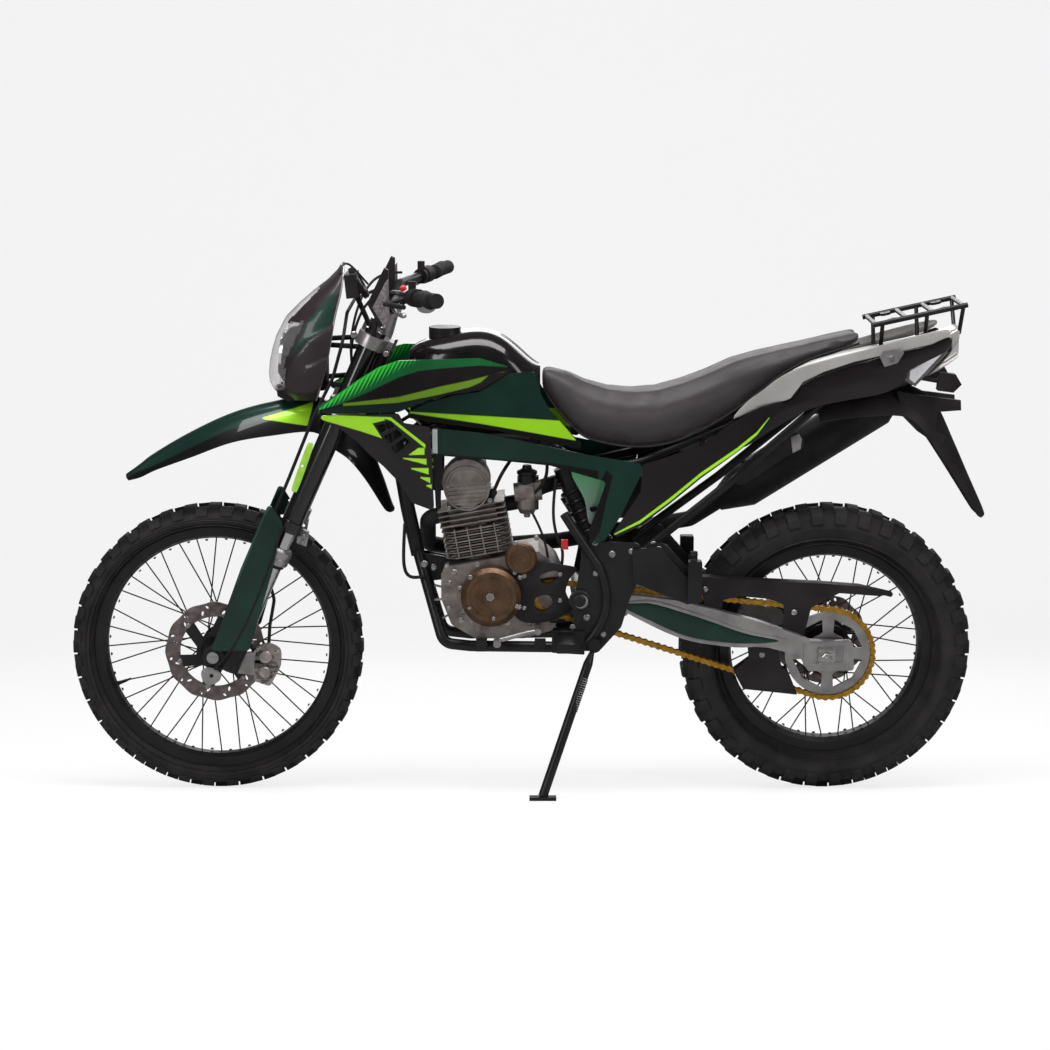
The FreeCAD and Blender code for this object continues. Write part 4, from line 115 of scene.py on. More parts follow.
# %% Colour and node helpers
def paint(hex_code):
    """An sRGB hex colour as linear red, green, blue and alpha."""
    parts = [int(hex_code[i:i + 2], 16) / 255 for i in (1, 3, 5)]
    return tuple(c / 12.92 if c <= 0.04045 else ((c + 0.055) / 1.055) ** 2.4 for c in parts) + (1.0,)


def add(tree, kind, inputs=None, **settings):
    """Adds a node to the tree. An input that is given a socket is linked, any other value is set."""
    node = tree.nodes.new(kind)
    for key, value in settings.items():
        setattr(node, key, value)
    for key, value in (inputs or {}).items():
        socket = node.inputs[key]
        if isinstance(value, bpy.types.NodeSocket):
            tree.links.new(value, socket)
        else:
            socket.default_value = value
    return node


def finish(name, **sockets):
    """A new material with one shader, its uniform numbers and colours set on the shader's own sockets."""
    material = bpy.data.materials.new(name)
    material.use_nodes = True
    shader = material.node_tree.nodes["Principled BSDF"]
    for key, value in sockets.items():
        shader.inputs[key.replace("_", " ")].default_value = value
    return material


def blend_colours(tree, share, low, high):
    """A colour between two, by a share from 0 to 1; each may be a hex colour or a socket."""
    mix = add(tree, "ShaderNodeMix", data_type="RGBA")
    for index, value in ((0, share), (6, low), (7, high)):
        if isinstance(value, str):
            mix.inputs[index].default_value = paint(value)
        elif isinstance(value, (int, float)):
            mix.inputs[index].default_value = value
        else:
            tree.links.new(value, mix.inputs[index])
    return mix.outputs[2]


def maths(tree, operation, *values, clamp=False):
    """One arithmetic node."""
    return add(tree, "ShaderNodeMath", dict(enumerate(values)), operation=operation,
        use_clamp=clamp).outputs[0]


def noise(tree, where, size_mm, detail=2.0, stretch=(1, 1, 1)):
    """Soft random patches of about that size."""
    placed = add(tree, "ShaderNodeMapping", {"Vector": where, "Scale": stretch}).outputs[0]
    return add(tree, "ShaderNodeTexNoise", {"Vector": placed, "Scale": 1 / (size_mm * MM),
        "Detail": detail}).outputs["Fac"]


def spread(tree, value, low, high, start=0.3, end=0.7):
    """Stretches the middle of a noise to lie between two numbers."""
    return add(tree, "ShaderNodeMapRange", {"Value": value, "From Min": start, "From Max": end,
        "To Min": low, "To Max": high}).outputs[0]


def weather(material, dark, light, patch_mm, rough, grain_mm, bump_mm, stretch=(1, 1, 1), colour=None):
    """Drifting colour, uneven sheen and a fine grain: what keeps a surface from looking like plain fill."""
    tree = material.node_tree
    shader = tree.nodes["Principled BSDF"]
    where = add(tree, "ShaderNodeTexCoord").outputs["Object"]
    patches = noise(tree, where, patch_mm, 4.0, stretch)
    base = colour or blend_colours(tree, spread(tree, patches, 0, 1), dark, light)
    tree.links.new(base, shader.inputs["Base Color"])
    smears = noise(tree, where, patch_mm * 0.35, 3.0, stretch)
    tree.links.new(spread(tree, smears, rough[0], rough[1]), shader.inputs["Roughness"])
    grain = noise(tree, where, grain_mm, 2.0, stretch)
    bump = add(tree, "ShaderNodeBump", {"Height": grain, "Distance": bump_mm * MM, "Strength": 1.0})
    tree.links.new(bump.outputs[0], shader.inputs["Normal"])
    return material


# %% [markdown]
# The stripes on the bodywork are printed film under lacquer. On a computer they could be cut as thin
# pieces, but film follows every curve of the panel, so it is painted by position instead: each stripe
# lies between two lines that are drawn over the side view, the same on both flanks. Two bands drawn the
# same way are painted highlights, not film: the pale strip on the frame cover and the lighter green
# line along the fork guard.

# %% Stripes by position
def side_view(tree):
    """Across and down, in pixels of the side view, for each point of either flank."""
    where = add(tree, "ShaderNodeTexCoord").outputs["Object"]
    upright = add(tree, "ShaderNodeMapping", {"Vector": where, "Location": UPRIGHT.translation,
        "Rotation": UPRIGHT.to_euler()}).outputs[0]
    parts = add(tree, "ShaderNodeSeparateXYZ", {"Vector": upright})
    side = maths(tree, "ABSOLUTE", parts.outputs[1])
    near = maths(tree, "SUBTRACT", 1.0, maths(tree, "DIVIDE", side, EYE_DISTANCE))
    across = maths(tree, "ADD", maths(tree, "DIVIDE", parts.outputs[0], SCALE), MIDDLE_PX - EYE_PX)
    across = maths(tree, "ADD", maths(tree, "DIVIDE", across, near), EYE_PX)
    down = maths(tree, "SUBTRACT", GROUND_PX - HORIZON_PX,
        maths(tree, "DIVIDE", parts.outputs[2], SCALE))
    down = maths(tree, "ADD", maths(tree, "DIVIDE", down, near), HORIZON_PX)
    return across, down


def line_over(tree, across, points, low, high):
    """The height of a drawn line at each place across, as a share of the range low to high."""
    start, stop = points[0][0], points[-1][0]
    along = add(tree, "ShaderNodeMapRange", {"Value": across, "From Min": start,
        "From Max": stop}).outputs[0]
    curve = add(tree, "ShaderNodeFloatCurve", {"Value": along})
    marks = curve.mapping.curves[0]
    shares = [((x - start) / (stop - start), (y - low) / (high - low)) for x, y in points]
    marks.points[0].location = shares[0]
    marks.points[1].location = shares[-1]
    for share in shares[1:-1]:
        marks.points.new(*share)
    for mark in marks.points:
        mark.handle_type = "VECTOR"
    curve.mapping.update()
    return curve.outputs[0]


def stripe(tree, across, down, top, bottom):
    """1 between two drawn lines, 0 outside, with an edge one pixel soft."""
    low = min(y for x, y in top + bottom) - 1
    high = max(y for x, y in top + bottom) + 1
    share = add(tree, "ShaderNodeMapRange", {"Value": down, "From Min": low, "From Max": high},
        clamp=False).outputs[0]
    under = maths(tree, "SUBTRACT", share, line_over(tree, across, top, low, high))
    over = maths(tree, "SUBTRACT", line_over(tree, across, bottom, low, high), share)
    inside = maths(tree, "MULTIPLY", maths(tree, "MINIMUM", under, over), high - low)
    ends = maths(tree, "MINIMUM", maths(tree, "SUBTRACT", across, top[0][0]),
        maths(tree, "SUBTRACT", top[-1][0], across))
    return maths(tree, "ADD", maths(tree, "MINIMUM", inside, ends), 0.5, clamp=True)


def livery(material, ground, overlays):
    """Lays bands of colour, each between two drawn lines, over the ground colour: printed films, and on two
    panels a painted highlight.
    """
    tree = material.node_tree
    across, down = side_view(tree)
    where = add(tree, "ShaderNodeTexCoord").outputs["Object"]
    colour = blend_colours(tree, spread(tree, noise(tree, where, 120, 3), 0, 1), *ground)
    for overlay, top, bottom in overlays:
        colour = blend_colours(tree, stripe(tree, across, down, top, bottom), colour, overlay)
    return colour


LIME, DEEP_GREEN, PANEL_BLACK = "#8fca1c", ("#0b231d", "#12332a"), "#0c0a0b"

# %% [markdown]
# Painted ABS panels: injection moulded, sprayed with a metallic green base and a clear lacquer. The
# lacquer gives a sharp reflection over a softer coloured glow, which is what the coat socket is for.

# %% Lacquered panels
def lacquered(name, ground, overlays, rough=(0.28, 0.4), flake=0.35):
    """Metallic base paint under a clear coat, with bands under the same coat: printed films, and on the
    fork guard and frame cover a painted highlight.
    """
    material = finish(name, Metallic=flake, Coat_Weight=0.6, Coat_Roughness=0.05, Coat_IOR=1.45,
        Specular_IOR_Level=0.22)
    return weather(material, None, None, 160, rough, 14, 0.012, colour=livery(material, ground, overlays))


fender_paint = lacquered("lacquered_green_fender", DEEP_GREEN, [(LIME, [(265, 411), (315, 396.5)],
    [(265, 412), (309, 418), (315, 418.5)]), (PANEL_BLACK, [(118, 476), (150, 462), (190, 442),
    (230, 423), (265, 412.5), (309, 418), (316, 396), (420, 390)], [(118, 540), (420, 540)])])
# The lighter green line (#24443d) along the fork guard is a painted highlight, not a film.
fork_guard_paint_and_highlight = lacquered("lacquered_green_guard_and_highlight", DEEP_GREEN,
    [("#24443d", [(236, 566), (262, 500), (272, 490)], [(236, 574), (264, 506), (272, 494)])])
tank_paint = lacquered("lacquered_green_tank_side", DEEP_GREEN,
    [(PANEL_BLACK, [(400, 404), (412, 401.5), (480, 412.5), (573, 429), (600, 430)],
    [(400, 460), (600, 460)]), (LIME, [(411, 399.2), (560, 410.5), (575, 429)],
    [(411, 400.4), (480, 412), (575, 430)])])
# On the frame cover, the pale grey strip (#c9cdcb) at its front is a painted highlight, not a film. The
# black bands are the cover's own colour.
frame_cover_paint_and_highlight = lacquered("lacquered_green_frame_cover_and_highlight", DEEP_GREEN,
    [("#c9cdcb", [(433, 417), (438, 417.5)], [(433, 442), (438, 442)]),
    (PANEL_BLACK, [(430, 441), (500, 447), (550, 451), (598, 459)], [(430, 520), (598, 520)]),
    (PANEL_BLACK, [(586, 520), (600, 470), (606, 458), (612, 464)], [(586, 540), (600, 520), (606, 490),
    (612, 466)])])

# %% [markdown]
# The upper shroud carries a printed comb: bright teeth that start at its top edge and taper to points.
# A tooth is a fraction of its pitch that is wide at the edge and shrinks to nothing a few centimetres in.

# %% Upper shroud
shroud_paint = finish("lacquered_bright_green_shroud", Metallic=0.3, Coat_Weight=0.65,
    Coat_Roughness=0.05, Coat_IOR=1.45, Specular_IOR_Level=0.25)
EDGE_LINE = [(316, 396), (340, 378), (360, 364), (380, 352), (400, 344), (420, 337), (440, 332),
    (480, 328), (530, 350)]
INNER_LINE = [(316, 398), (340, 388), (360, 379), (380, 368), (400, 357), (420, 349), (440, 341),
    (480, 333), (530, 352)]


def shroud_colours(material):
    """Green over black, the comb of bright teeth, and the olive film on the black."""
    tree = material.node_tree
    colour = livery(material, ("#0d4a26", "#11602f"), [])
    across, down = side_view(tree)
    band = stripe(tree, across, down, EDGE_LINE, INNER_LINE)
    low, high = 320, 400
    share = add(tree, "ShaderNodeMapRange", {"Value": down, "From Min": low, "From Max": high},
        clamp=False).outputs[0]
    top = line_over(tree, across, EDGE_LINE, low, high)
    inner = line_over(tree, across, INNER_LINE, low, high)
    depth = maths(tree, "DIVIDE", maths(tree, "SUBTRACT", share, top),
        maths(tree, "MAXIMUM", maths(tree, "SUBTRACT", inner, top), 0.01))
    slant = maths(tree, "ADD", maths(tree, "MULTIPLY", across, 0.24),
        maths(tree, "MULTIPLY", down, 0.11))
    tooth = maths(tree, "FRACT", slant)
    tooth = maths(tree, "MULTIPLY", maths(tree, "SUBTRACT", maths(tree, "SUBTRACT", 1.0, depth), tooth),
        6, clamp=True)
    fade = spread(tree, across, 1.0, 0.15, 380, 470)
    tooth = maths(tree, "MULTIPLY", maths(tree, "MULTIPLY", tooth, band), fade)
    colour = blend_colours(tree, tooth, colour, "#35c23a")
    black = stripe(tree, across, down, [(310, 396), (340, 388), (370, 375.5), (400, 362), (420, 356.5),
        (440, 355), (480, 353.5), (530, 358)], [(310, 420), (530, 420)])
    colour = blend_colours(tree, black, colour, "#120d10")
    green = stripe(tree, across, down, [(322, 394), (345, 389), (400, 388), (440, 381)],
        [(322, 400), (345, 400), (400, 400), (440, 400)])
    colour = blend_colours(tree, green, colour, "#0f1f1a")
    olive = stripe(tree, across, down, [(345, 386.5), (400, 381), (440, 372.5), (470, 367.5),
        (505, 360)], [(345, 389), (400, 386.5), (440, 380), (470, 374), (505, 361)])
    return blend_colours(tree, olive, colour, "#5c7d1c")


weather(shroud_paint, None, None, 160, (0.26, 0.38), 14, 0.012, colour=shroud_colours(shroud_paint))

# %% [markdown]
# Gloss black panels get a sharper lacquer and no metal flakes. The bright slashes on the lower
# shroud and the line that runs up the side panel are films again.

# %% Lower shroud, side panel and tank in gloss black
BLACK_PAIR = ("#0b090b", "#181316")
wing_paint = lacquered("gloss_black_shroud", BLACK_PAIR, [(LIME, [(321, 398), (386, 401.2)],
    [(321, 403), (362, 415.5), (386, 424)]), (PANEL_BLACK, [(374, 407.5), (392, 403), (395, 405),
    (425, 433)], [(374, 408), (398, 448), (425, 433.5)]),
    (LIME, [(386, 401), (392, 401.5), (426, 430.5)], [(386, 403), (392, 405), (426, 434.5)]),
    (LIME, [(410, 440.4), (419, 434), (425, 434)], [(410, 441), (419, 441), (425, 441)]),
    (LIME, [(404, 443.8), (427, 445.5)], [(404, 444.6), (427, 451.5)]),
    (LIME, [(412, 454.6), (429, 455)], [(412, 455.6), (429, 461.5)]), (LIME, [(421, 464), (430.5, 465)],
    [(421, 465), (430.5, 470.5)]), (LIME, [(427, 472.6), (432, 472)], [(427, 473.6), (432, 476.5)])],
    rough=(0.16, 0.26), flake=0.0)
side_paint = lacquered("gloss_black_side_panel", BLACK_PAIR, [(LIME,
    [(608, 526), (640, 508.5), (670, 485.5), (700, 460.5), (735, 436.5), (755, 420.5), (767, 406)],
    [(608, 527), (640, 511.5), (670, 489), (700, 464), (735, 440), (755, 423.5), (767, 407)])],
    rough=(0.16, 0.26), flake=0.0)
tank_black = lacquered("gloss_black_tank", BLACK_PAIR, [], rough=(0.14, 0.24), flake=0.0)
tail_paint = lacquered("silver_tail_panel", ("#a7a5a3", "#bdbbb8"),
    [(PANEL_BLACK, [(700, 430), (735, 409), (785, 391), (800, 371), (820, 361), (850, 351), (880, 344),
    (915, 336), (946, 331)], [(700, 460), (946, 460)])], rough=(0.3, 0.42), flake=0.6)

# %% [markdown]
# Moulded plastic that isn't painted gets its look from the mould: a fine spark-eroded grain that breaks
# up the reflection. The real grain is near half a millimetre; it is drawn at two so that it still shows.

# %% Moulded plastics
moulded_black = weather(finish("moulded_grained_polypropylene", IOR=1.49, Specular_IOR_Level=0.25),
    "#151214", "#211d1f", 60, (0.46, 0.6), 2.0, 0.05)
mask_paint = finish("moulded_gloss_mask", IOR=1.5, Specular_IOR_Level=0.3, Coat_Weight=0.35,
    Coat_Roughness=0.08)


mask_colour = livery(mask_paint, ("#1b1417", "#2a2023"), [("#0c2b22",
    [(293, 347), (302, 331), (310, 313), (325, 296), (341, 278)],
    [(293, 348), (315, 328.5), (335, 314.5), (341, 280)])])
weather(mask_paint, None, None, 90, (0.3, 0.44), 3.0, 0.03, colour=mask_colour)
clear_lens = finish("clear_polycarbonate_lens", Base_Color=paint("#f2f1f1"), Transmission_Weight=0.96,
    IOR=1.2, Roughness=0.02, Coat_Weight=0.5)
smoked_lens = finish("red_acrylic_lens", Base_Color=paint("#c9c4c4"), Transmission_Weight=0.6, IOR=1.49,
    Roughness=0.08)
for lens, height in ((clear_lens, 0.02), (smoked_lens, 0.05)):
    tree = lens.node_tree
    wave = noise(tree, add(tree, "ShaderNodeTexCoord").outputs["Object"], 30, 1)
    bump = add(tree, "ShaderNodeBump", {"Height": wave, "Distance": height * MM})
    tree.links.new(bump.outputs[0], tree.nodes["Principled BSDF"].inputs["Normal"])

# %% [markdown]
# Metals: a metal shows mostly what it reflects, so each one is told apart by how it was made. Sand
# casting leaves a pebbled skin, powder coat an orange peel, brushing fine lines, plating a mirror.

# %% Metals
powder_black = weather(finish("powder_coated_steel", IOR=1.5, Specular_IOR_Level=0.28, Coat_Weight=0.12,
    Coat_Roughness=0.12), "#0d0c0e", "#1a181a", 80, (0.34, 0.46), 5, 0.05)
cast_silver = weather(finish("sand_cast_aluminium", Metallic=0.85), "#7d7571", "#a59c98", 25,
    (0.38, 0.56), 3, 0.12)
satin_silver = weather(finish("shot_blasted_aluminium", Metallic=0.9), "#8f8b8c", "#b3afaf", 50,
    (0.28, 0.42), 3, 0.05)
bronze_paint = weather(finish("bronze_painted_casting", Metallic=0.75), "#4e3a2a", "#6d5340", 30,
    (0.36, 0.5), 3, 0.1)
ground_steel = weather(finish("ground_stainless_steel", Metallic=0.95), "#8f8d8d", "#b9b7b6", 40,
    (0.2, 0.36), 2, 0.03, stretch=(1, 1, 6))
disc_steel = weather(finish("used_brake_disc_steel", Metallic=0.85), "#5f5553", "#85797a", 16,
    (0.28, 0.46), 2, 0.03)
chrome_plate = weather(finish("hard_chrome_plate", Metallic=1.0), "#c9c9cb", "#d8d8da", 200,
    (0.06, 0.12), 20, 0.005)
gold_chain = weather(finish("gold_zinc_plated_steel", Metallic=0.9), "#9d7424", "#c89a3c", 12,
    (0.28, 0.46), 2, 0.04)
gloss_tube = weather(finish("gloss_black_anodised_tube", IOR=1.5, Specular_IOR_Level=0.4,
    Coat_Weight=0.7, Coat_Roughness=0.04), "#09080a", "#121012", 120, (0.16, 0.26), 6, 0.01)
heat_black = weather(finish("heat_proof_black_enamel", IOR=1.5, Specular_IOR_Level=0.3), "#100f10",
    "#1f1c1b", 45, (0.5, 0.66), 2.5, 0.05)

# %% [markdown]
# Rubber is nearly black, rough and finely grained; a tyre is a little dustier than a grip. The saddle
# cover is vinyl with a coarser grain and a lighter tone.

# %% Rubber and vinyl
tyre_rubber = weather(finish("vulcanised_tyre_rubber", IOR=1.52, Specular_IOR_Level=0.3), "#141213",
    "#232021", 60, (0.6, 0.78), 3, 0.12)
grip_rubber = weather(finish("moulded_soft_rubber", IOR=1.52, Specular_IOR_Level=0.3), "#0f0e0f",
    "#1b191a", 20, (0.62, 0.76), 1.8, 0.12)
seat_vinyl = finish("grained_seat_vinyl", IOR=1.5, Specular_IOR_Level=0.35, Sheen_Weight=0.1,
    Sheen_Roughness=0.45)
weather(seat_vinyl, "#2c282a", "#373234", 90, (0.5, 0.62), 3.2, 0.35)

# %% [markdown]
# Each engineering part gets one of these finishes by its name.

# %% Which finish goes on which part
FINISHES = {fender_paint: "front_fender", fork_guard_paint_and_highlight: "fork_guards", tank_paint: "tank_panels",
    frame_cover_paint_and_highlight: "frame_covers", shroud_paint: "shrouds_upper", wing_paint: "shrouds_lower",
    side_paint: "side_panels", tank_black: "fuel_tank", tail_paint: "tail_cowl",
    mask_paint: "headlight_cowl",
    moulded_black: "instrument front_indicators rear_indicators chain_guard sprocket_cover "
    "intake rear_mudguard headlight_housing hand_controls", clear_lens: "headlight",
    smoked_lens: "tail_light", gloss_tube: "fork_tubes",
    powder_black: "frame_backbone frame_cradle frame_plates subframe axle_carriers side_stand "
    "rear_rack footpegs front_rim rear_rim front_hub rear_hub rear_shock tank_cap handlebar",
    heat_black: "exhaust_pipe muffler", cast_silver: "crankcase cylinder cylinder_head",
    satin_silver: "triple_clamps swingarm rear_sprocket front_caliper rear_caliper foot_controls",
    bronze_paint: "engine_covers", ground_steel: "front_axle arm_bolts",
    disc_steel: "front_disc rear_disc", chrome_plate: "fork_stanchions", gold_chain: "chain",
    tyre_rubber: "front_tyre rear_tyre", grip_rubber: "grips brake_hose", seat_vinyl: "seat"}
for material, names in FINISHES.items():
    for name in names.split():
        data = NODES[name].data
        for index in range(len(data.materials)):
            data.materials[index] = material
print("finishes", len(FINISHES))

# %% [markdown]
# Every added piece is a mesh in the machine's own frame that rides on one of its bodies. One function
# builds it from corners and faces, closes it up and hands it over.

# %% Piece helpers
WELD = 1e-6


def turns(steps, shift=0.0):
    """Angles evenly round a circle."""
    return [2 * math.pi * (step + shift) / steps for step in range(steps)]


def spokes(out, across, steps):
    """Directions evenly round a circle that starts at one direction and turns towards the other."""
    return [out * math.cos(turn) + across * math.sin(turn) for turn in turns(steps)]


def round_axis(axis, steps):
    """Directions evenly round an axis."""
    out = axis.orthogonal().normalized()
    return spokes(out, axis.cross(out), steps)


def hand_over(item, body):
    """Lets an object ride on its body."""
    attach(item, body)
    return item


def piece(name, corners, faces, material, body, smooth=40):
    """A mesh piece from corners and faces, with the faces turned outward."""
    data = bpy.data.meshes.new(name)
    data.from_pydata([tuple(corner) for corner in corners], [], faces)
    shape = bmesh.new()
    shape.from_mesh(data)
    bmesh.ops.remove_doubles(shape, verts=shape.verts, dist=WELD)
    bmesh.ops.recalc_face_normals(shape, faces=shape.faces)
    shape.to_mesh(data)
    shape.free()
    data.materials.append(material)
    if smooth:
        data.shade_smooth()
        data.set_sharp_from_angle(angle=math.radians(smooth))
    return hand_over(shown(name, data), body)


def ring_faces(rows, around):
    """Faces that skin rows of points, each row going once round, with a cap at each end."""
    faces = [tuple(range(around))[::-1], tuple(range((rows - 1) * around, rows * around))]
    for row in range(rows - 1):
        for step in range(around):
            after = (step + 1) % around
            faces.append((row * around + step, row * around + after, (row + 1) * around + after,
                (row + 1) * around + step))
    return faces


def baked(item):
    """The evaluated object as a plain mesh without modifiers."""
    graph = bpy.context.evaluated_depsgraph_get()
    data = bpy.data.meshes.new_from_object(item.evaluated_get(graph), preserve_all_data_layers=True,
        depsgraph=graph)
    item.modifiers.clear()
    item.data = data
    return item


def walled(item, thickness, smooth):
    """Gives an open skin its thickness, inward."""
    shell = item.modifiers.new("wall", "SOLIDIFY")
    shell.thickness = thickness
    shell.offset = -1
    baked(item)
    item.data.set_sharp_from_angle(angle=math.radians(smooth))
    return item


# %% [markdown]
# The saddle is foam under grained vinyl. It is lofted from sections read along its length, cut a little
# small, remeshed to an even skin, and blown up as cloth, so its sides bulge and its top crowns the way
# a stretched cover does. The rolled lower edge comes afterwards, because remeshing would eat it.

# %% Saddle
# Rows of px, top, bottom, half width in millimetres.
SEAT_STATIONS = [(543, 361, 384, 46), (550, 361, 397, 58), (565, 368, 414, 72), (582, 377, 431, 84),
    (605, 384, 437, 95), (630, 386.5, 440, 103), (655, 384.5, 439, 107), (680, 377.5, 432, 107),
    (705, 368, 420, 103), (730, 356.5, 405, 98), (755, 349.5, 386, 92), (780, 344, 366, 87),
    (805, 338.5, 353, 81), (830, 332.5, 346, 74), (853, 327.5, 339, 66)]
AROUND, CLOTH_ROOM, BULGE, CLOTH_FRAMES = 28, 3 * MM, 7 * MM, 16


def seat_ring(px, top, bottom, half, inset):
    """One closed section: flat below, pulled-in sides, crowned top."""
    half = half * MM - inset
    ring = []
    for turn in turns(AROUND):
        across = math.copysign(abs(math.cos(turn)) ** 0.45, math.cos(turn))
        lift = math.copysign(abs(math.sin(turn)) ** (0.72 if math.sin(turn) > 0 else 0.35),
            math.sin(turn))
        share = (lift + 1) / 2
        wide = half * (1 - 0.16 * (1 - share) ** 2)
        spot = flat(px, bottom + (top - bottom) * share, 0.4 * half * (1 - share))
        ring.append(PARK @ Vector((spot.x, across * wide, spot.z + (inset if share < 0.5 else -inset))))
    return ring


def saddle():
    """The padded saddle, as one closed skin."""
    corners = [corner for station in SEAT_STATIONS for corner in seat_ring(*station, CLOTH_ROOM)]
    item = piece("saddle", corners, ring_faces(len(SEAT_STATIONS), AROUND), seat_vinyl, "chassis")
    remesh = item.modifiers.new("even_skin", "REMESH")
    remesh.mode = "VOXEL"
    remesh.voxel_size = 6 * MM
    item.modifiers.new("soften", "SMOOTH").iterations = 6
    baked(item)
    start = [vertex.co.copy() for vertex in item.data.vertices]
    cloth = item.modifiers.new("pressure", "CLOTH").settings
    cloth.use_pressure = True
    cloth.uniform_pressure_force = 3
    cloth.effector_weights.gravity = 0
    cloth.quality = 5
    scene = bpy.context.scene
    for step in range(1, CLOTH_FRAMES + 1):
        scene.frame_set(step)
    baked(item)
    for vertex, home in zip(item.data.vertices, start):
        shift = vertex.co - home
        if shift.length > BULGE:
            vertex.co = home + shift.normalized() * BULGE
    scene.frame_set(1)
    level = item.modifiers.new("fine", "SUBSURF")
    level.levels = level.render_levels = 1
    baked(item)
    item.data.shade_smooth()
    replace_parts(item, "seat")
    return item


seat_item = saddle()
print("saddle", len(seat_item.data.polygons))

# %% [markdown]
# Fasteners repeat everywhere, so they are made by one Geometry Nodes tree: a flanged hex head is set
# on each point of a mesh, turned to the point's aim and scaled to its size.

# %% Fastener tree
def fastener_tree(name, sides):
    """Points with aim and size become flanged bolt heads."""
    tree = bpy.data.node_groups.new(name, "GeometryNodeTree")
    face = tree.interface
    face.new_socket("Geometry", in_out="INPUT", socket_type="NodeSocketGeometry")
    for label, value in (("Head radius", 1.0), ("Head height", 0.9), ("Flange radius", 1.35)):
        face.new_socket(label, in_out="INPUT", socket_type="NodeSocketFloat").default_value = value
    face.new_socket("Finish", in_out="INPUT", socket_type="NodeSocketMaterial")
    face.new_socket("Geometry", in_out="OUTPUT", socket_type="NodeSocketGeometry")
    given = add(tree, "NodeGroupInput").outputs
    head = add(tree, "GeometryNodeMeshCone",
        {"Vertices": sides, "Radius Top": maths(tree, "MULTIPLY", given[1], 0.86),
        "Radius Bottom": given[1], "Depth": given[2]})
    flange = add(tree, "GeometryNodeMeshCone", {"Vertices": 20, "Radius Top": given[1],
        "Radius Bottom": given[3], "Depth": maths(tree, "MULTIPLY", given[2], 0.3)})
    both = add(tree, "GeometryNodeJoinGeometry")
    for part in (head, flange):
        tree.links.new(part.outputs[0], both.inputs[0])
    aim = add(tree, "GeometryNodeInputNamedAttribute", {"Name": "aim"},
        data_type="FLOAT_VECTOR").outputs[0]
    size = add(tree, "GeometryNodeInputNamedAttribute", {"Name": "size"}, data_type="FLOAT").outputs[0]
    turn = add(tree, "FunctionNodeAlignRotationToVector", {"Vector": aim}, axis="Z").outputs[0]
    placed = add(tree, "GeometryNodeInstanceOnPoints", {"Points": given[0], "Instance": both.outputs[0],
        "Rotation": turn, "Scale": size})
    real = add(tree, "GeometryNodeRealizeInstances", {"Geometry": placed.outputs[0]})
    coloured = add(tree, "GeometryNodeSetMaterial", {"Geometry": real.outputs[0], "Material": given[4]})
    add(tree, "NodeGroupOutput", {"Geometry": coloured.outputs[0]})
    return tree


HEX_TREE = fastener_tree("flanged_hex_heads", 6)


def fasteners(name, spots, body, tree=HEX_TREE, material=ground_steel):
    """Bolt heads at (point, aim, size) spots, as one plain mesh; steel hex heads unless told otherwise."""
    data = bpy.data.meshes.new(name)
    data.from_pydata([tuple(point) for point, way, size in spots], [], [])
    data.attributes.new("aim", "FLOAT_VECTOR", "POINT")
    data.attributes.new("size", "FLOAT", "POINT")
    for index, (point, way, size) in enumerate(spots):
        data.attributes["aim"].data[index].vector = way
        data.attributes["size"].data[index].value = size
    item = shown(name, data)
    modifier = item.modifiers.new("fasteners", "NODES")
    modifier.node_group = tree
    for socket in tree.interface.items_tree:
        if socket.name == "Finish" and socket.in_out == "INPUT":
            modifier[socket.identifier] = material
    baked(item)
    item.data.shade_smooth()
    item.data.set_sharp_from_angle(angle=math.radians(30))
    return hand_over(item, body)


def side_bolts(name, rows, side, body):
    """Bolts that face left at (px, py, metres further left than side, size in millimetres) rows."""
    return fasteners(name, [(at(px, py, side + more), LEFT, size * MM) for px, py, more, size in rows],
        body)


def surface_spot(name, px, py, guess):
    """The point of a CAD node's outermost skin on the left at that pixel."""
    hit, place, normal, index = NODES[name].ray_cast(at(px, py, guess + 0.25), -LEFT, distance=0.6)
    return place if hit else at(px, py, guess)


def skin(node, px, py, guess=0.1):
    """How far left the node's skin is there, upright, in metres."""
    return -(UPRIGHT @ surface_spot(node, px, py, guess)).y


def on_skin(node, guess, rows):
    """Bolt spots on a node's left skin at (px, py, size mm) rows."""
    return [(surface_spot(node, px, py, guess) + LEFT * size * MM * 0.3, LEFT, size * MM)
        for px, py, size in rows]


# Rows of node, where its skin is about, and bolts.
BOLT_ROWS = [
    ("frame_plates", 0.12, [(616, 548, 6), (636, 545, 5), (590, 616, 6), (607, 634, 5)]),
    ("frame_cradle", 0.1, [(424, 555, 6), (454, 564, 6), (428, 572, 6)]),
    ("engine_covers", 0.14, [(470, 566, 4.2), (514, 570, 4.2), (516, 604, 4.2), (492, 617, 4.2),
        (467, 605, 4.2)]),
    ("chain_guard", 0.1, [(714, 588, 5), (796, 605, 5), (775, 659, 5)]),
    ("sprocket_cover", 0.12, [(520, 568, 4), (562, 572, 4), (562, 600, 4), (524, 608, 4)]),
    ("crankcase", 0.1, [(460, 613, 5), (471, 620, 5), (530, 626, 4.5)]),
    ("subframe", 0.1, [(659, 538, 5.5), (637, 566, 5.5)]),
]
CHASSIS_BOLTS = [bolt for row in BOLT_ROWS for bolt in on_skin(*row)]
fasteners("chassis_bolts", CHASSIS_BOLTS, "chassis")
print("bolts", len(CHASSIS_BOLTS))

# %% [markdown]
# The drive chain is alternate inner and outer links. A walk along a closed path sets a pair of figure
# of eight plates and a roller at each pitch, and every other pair lies further out.

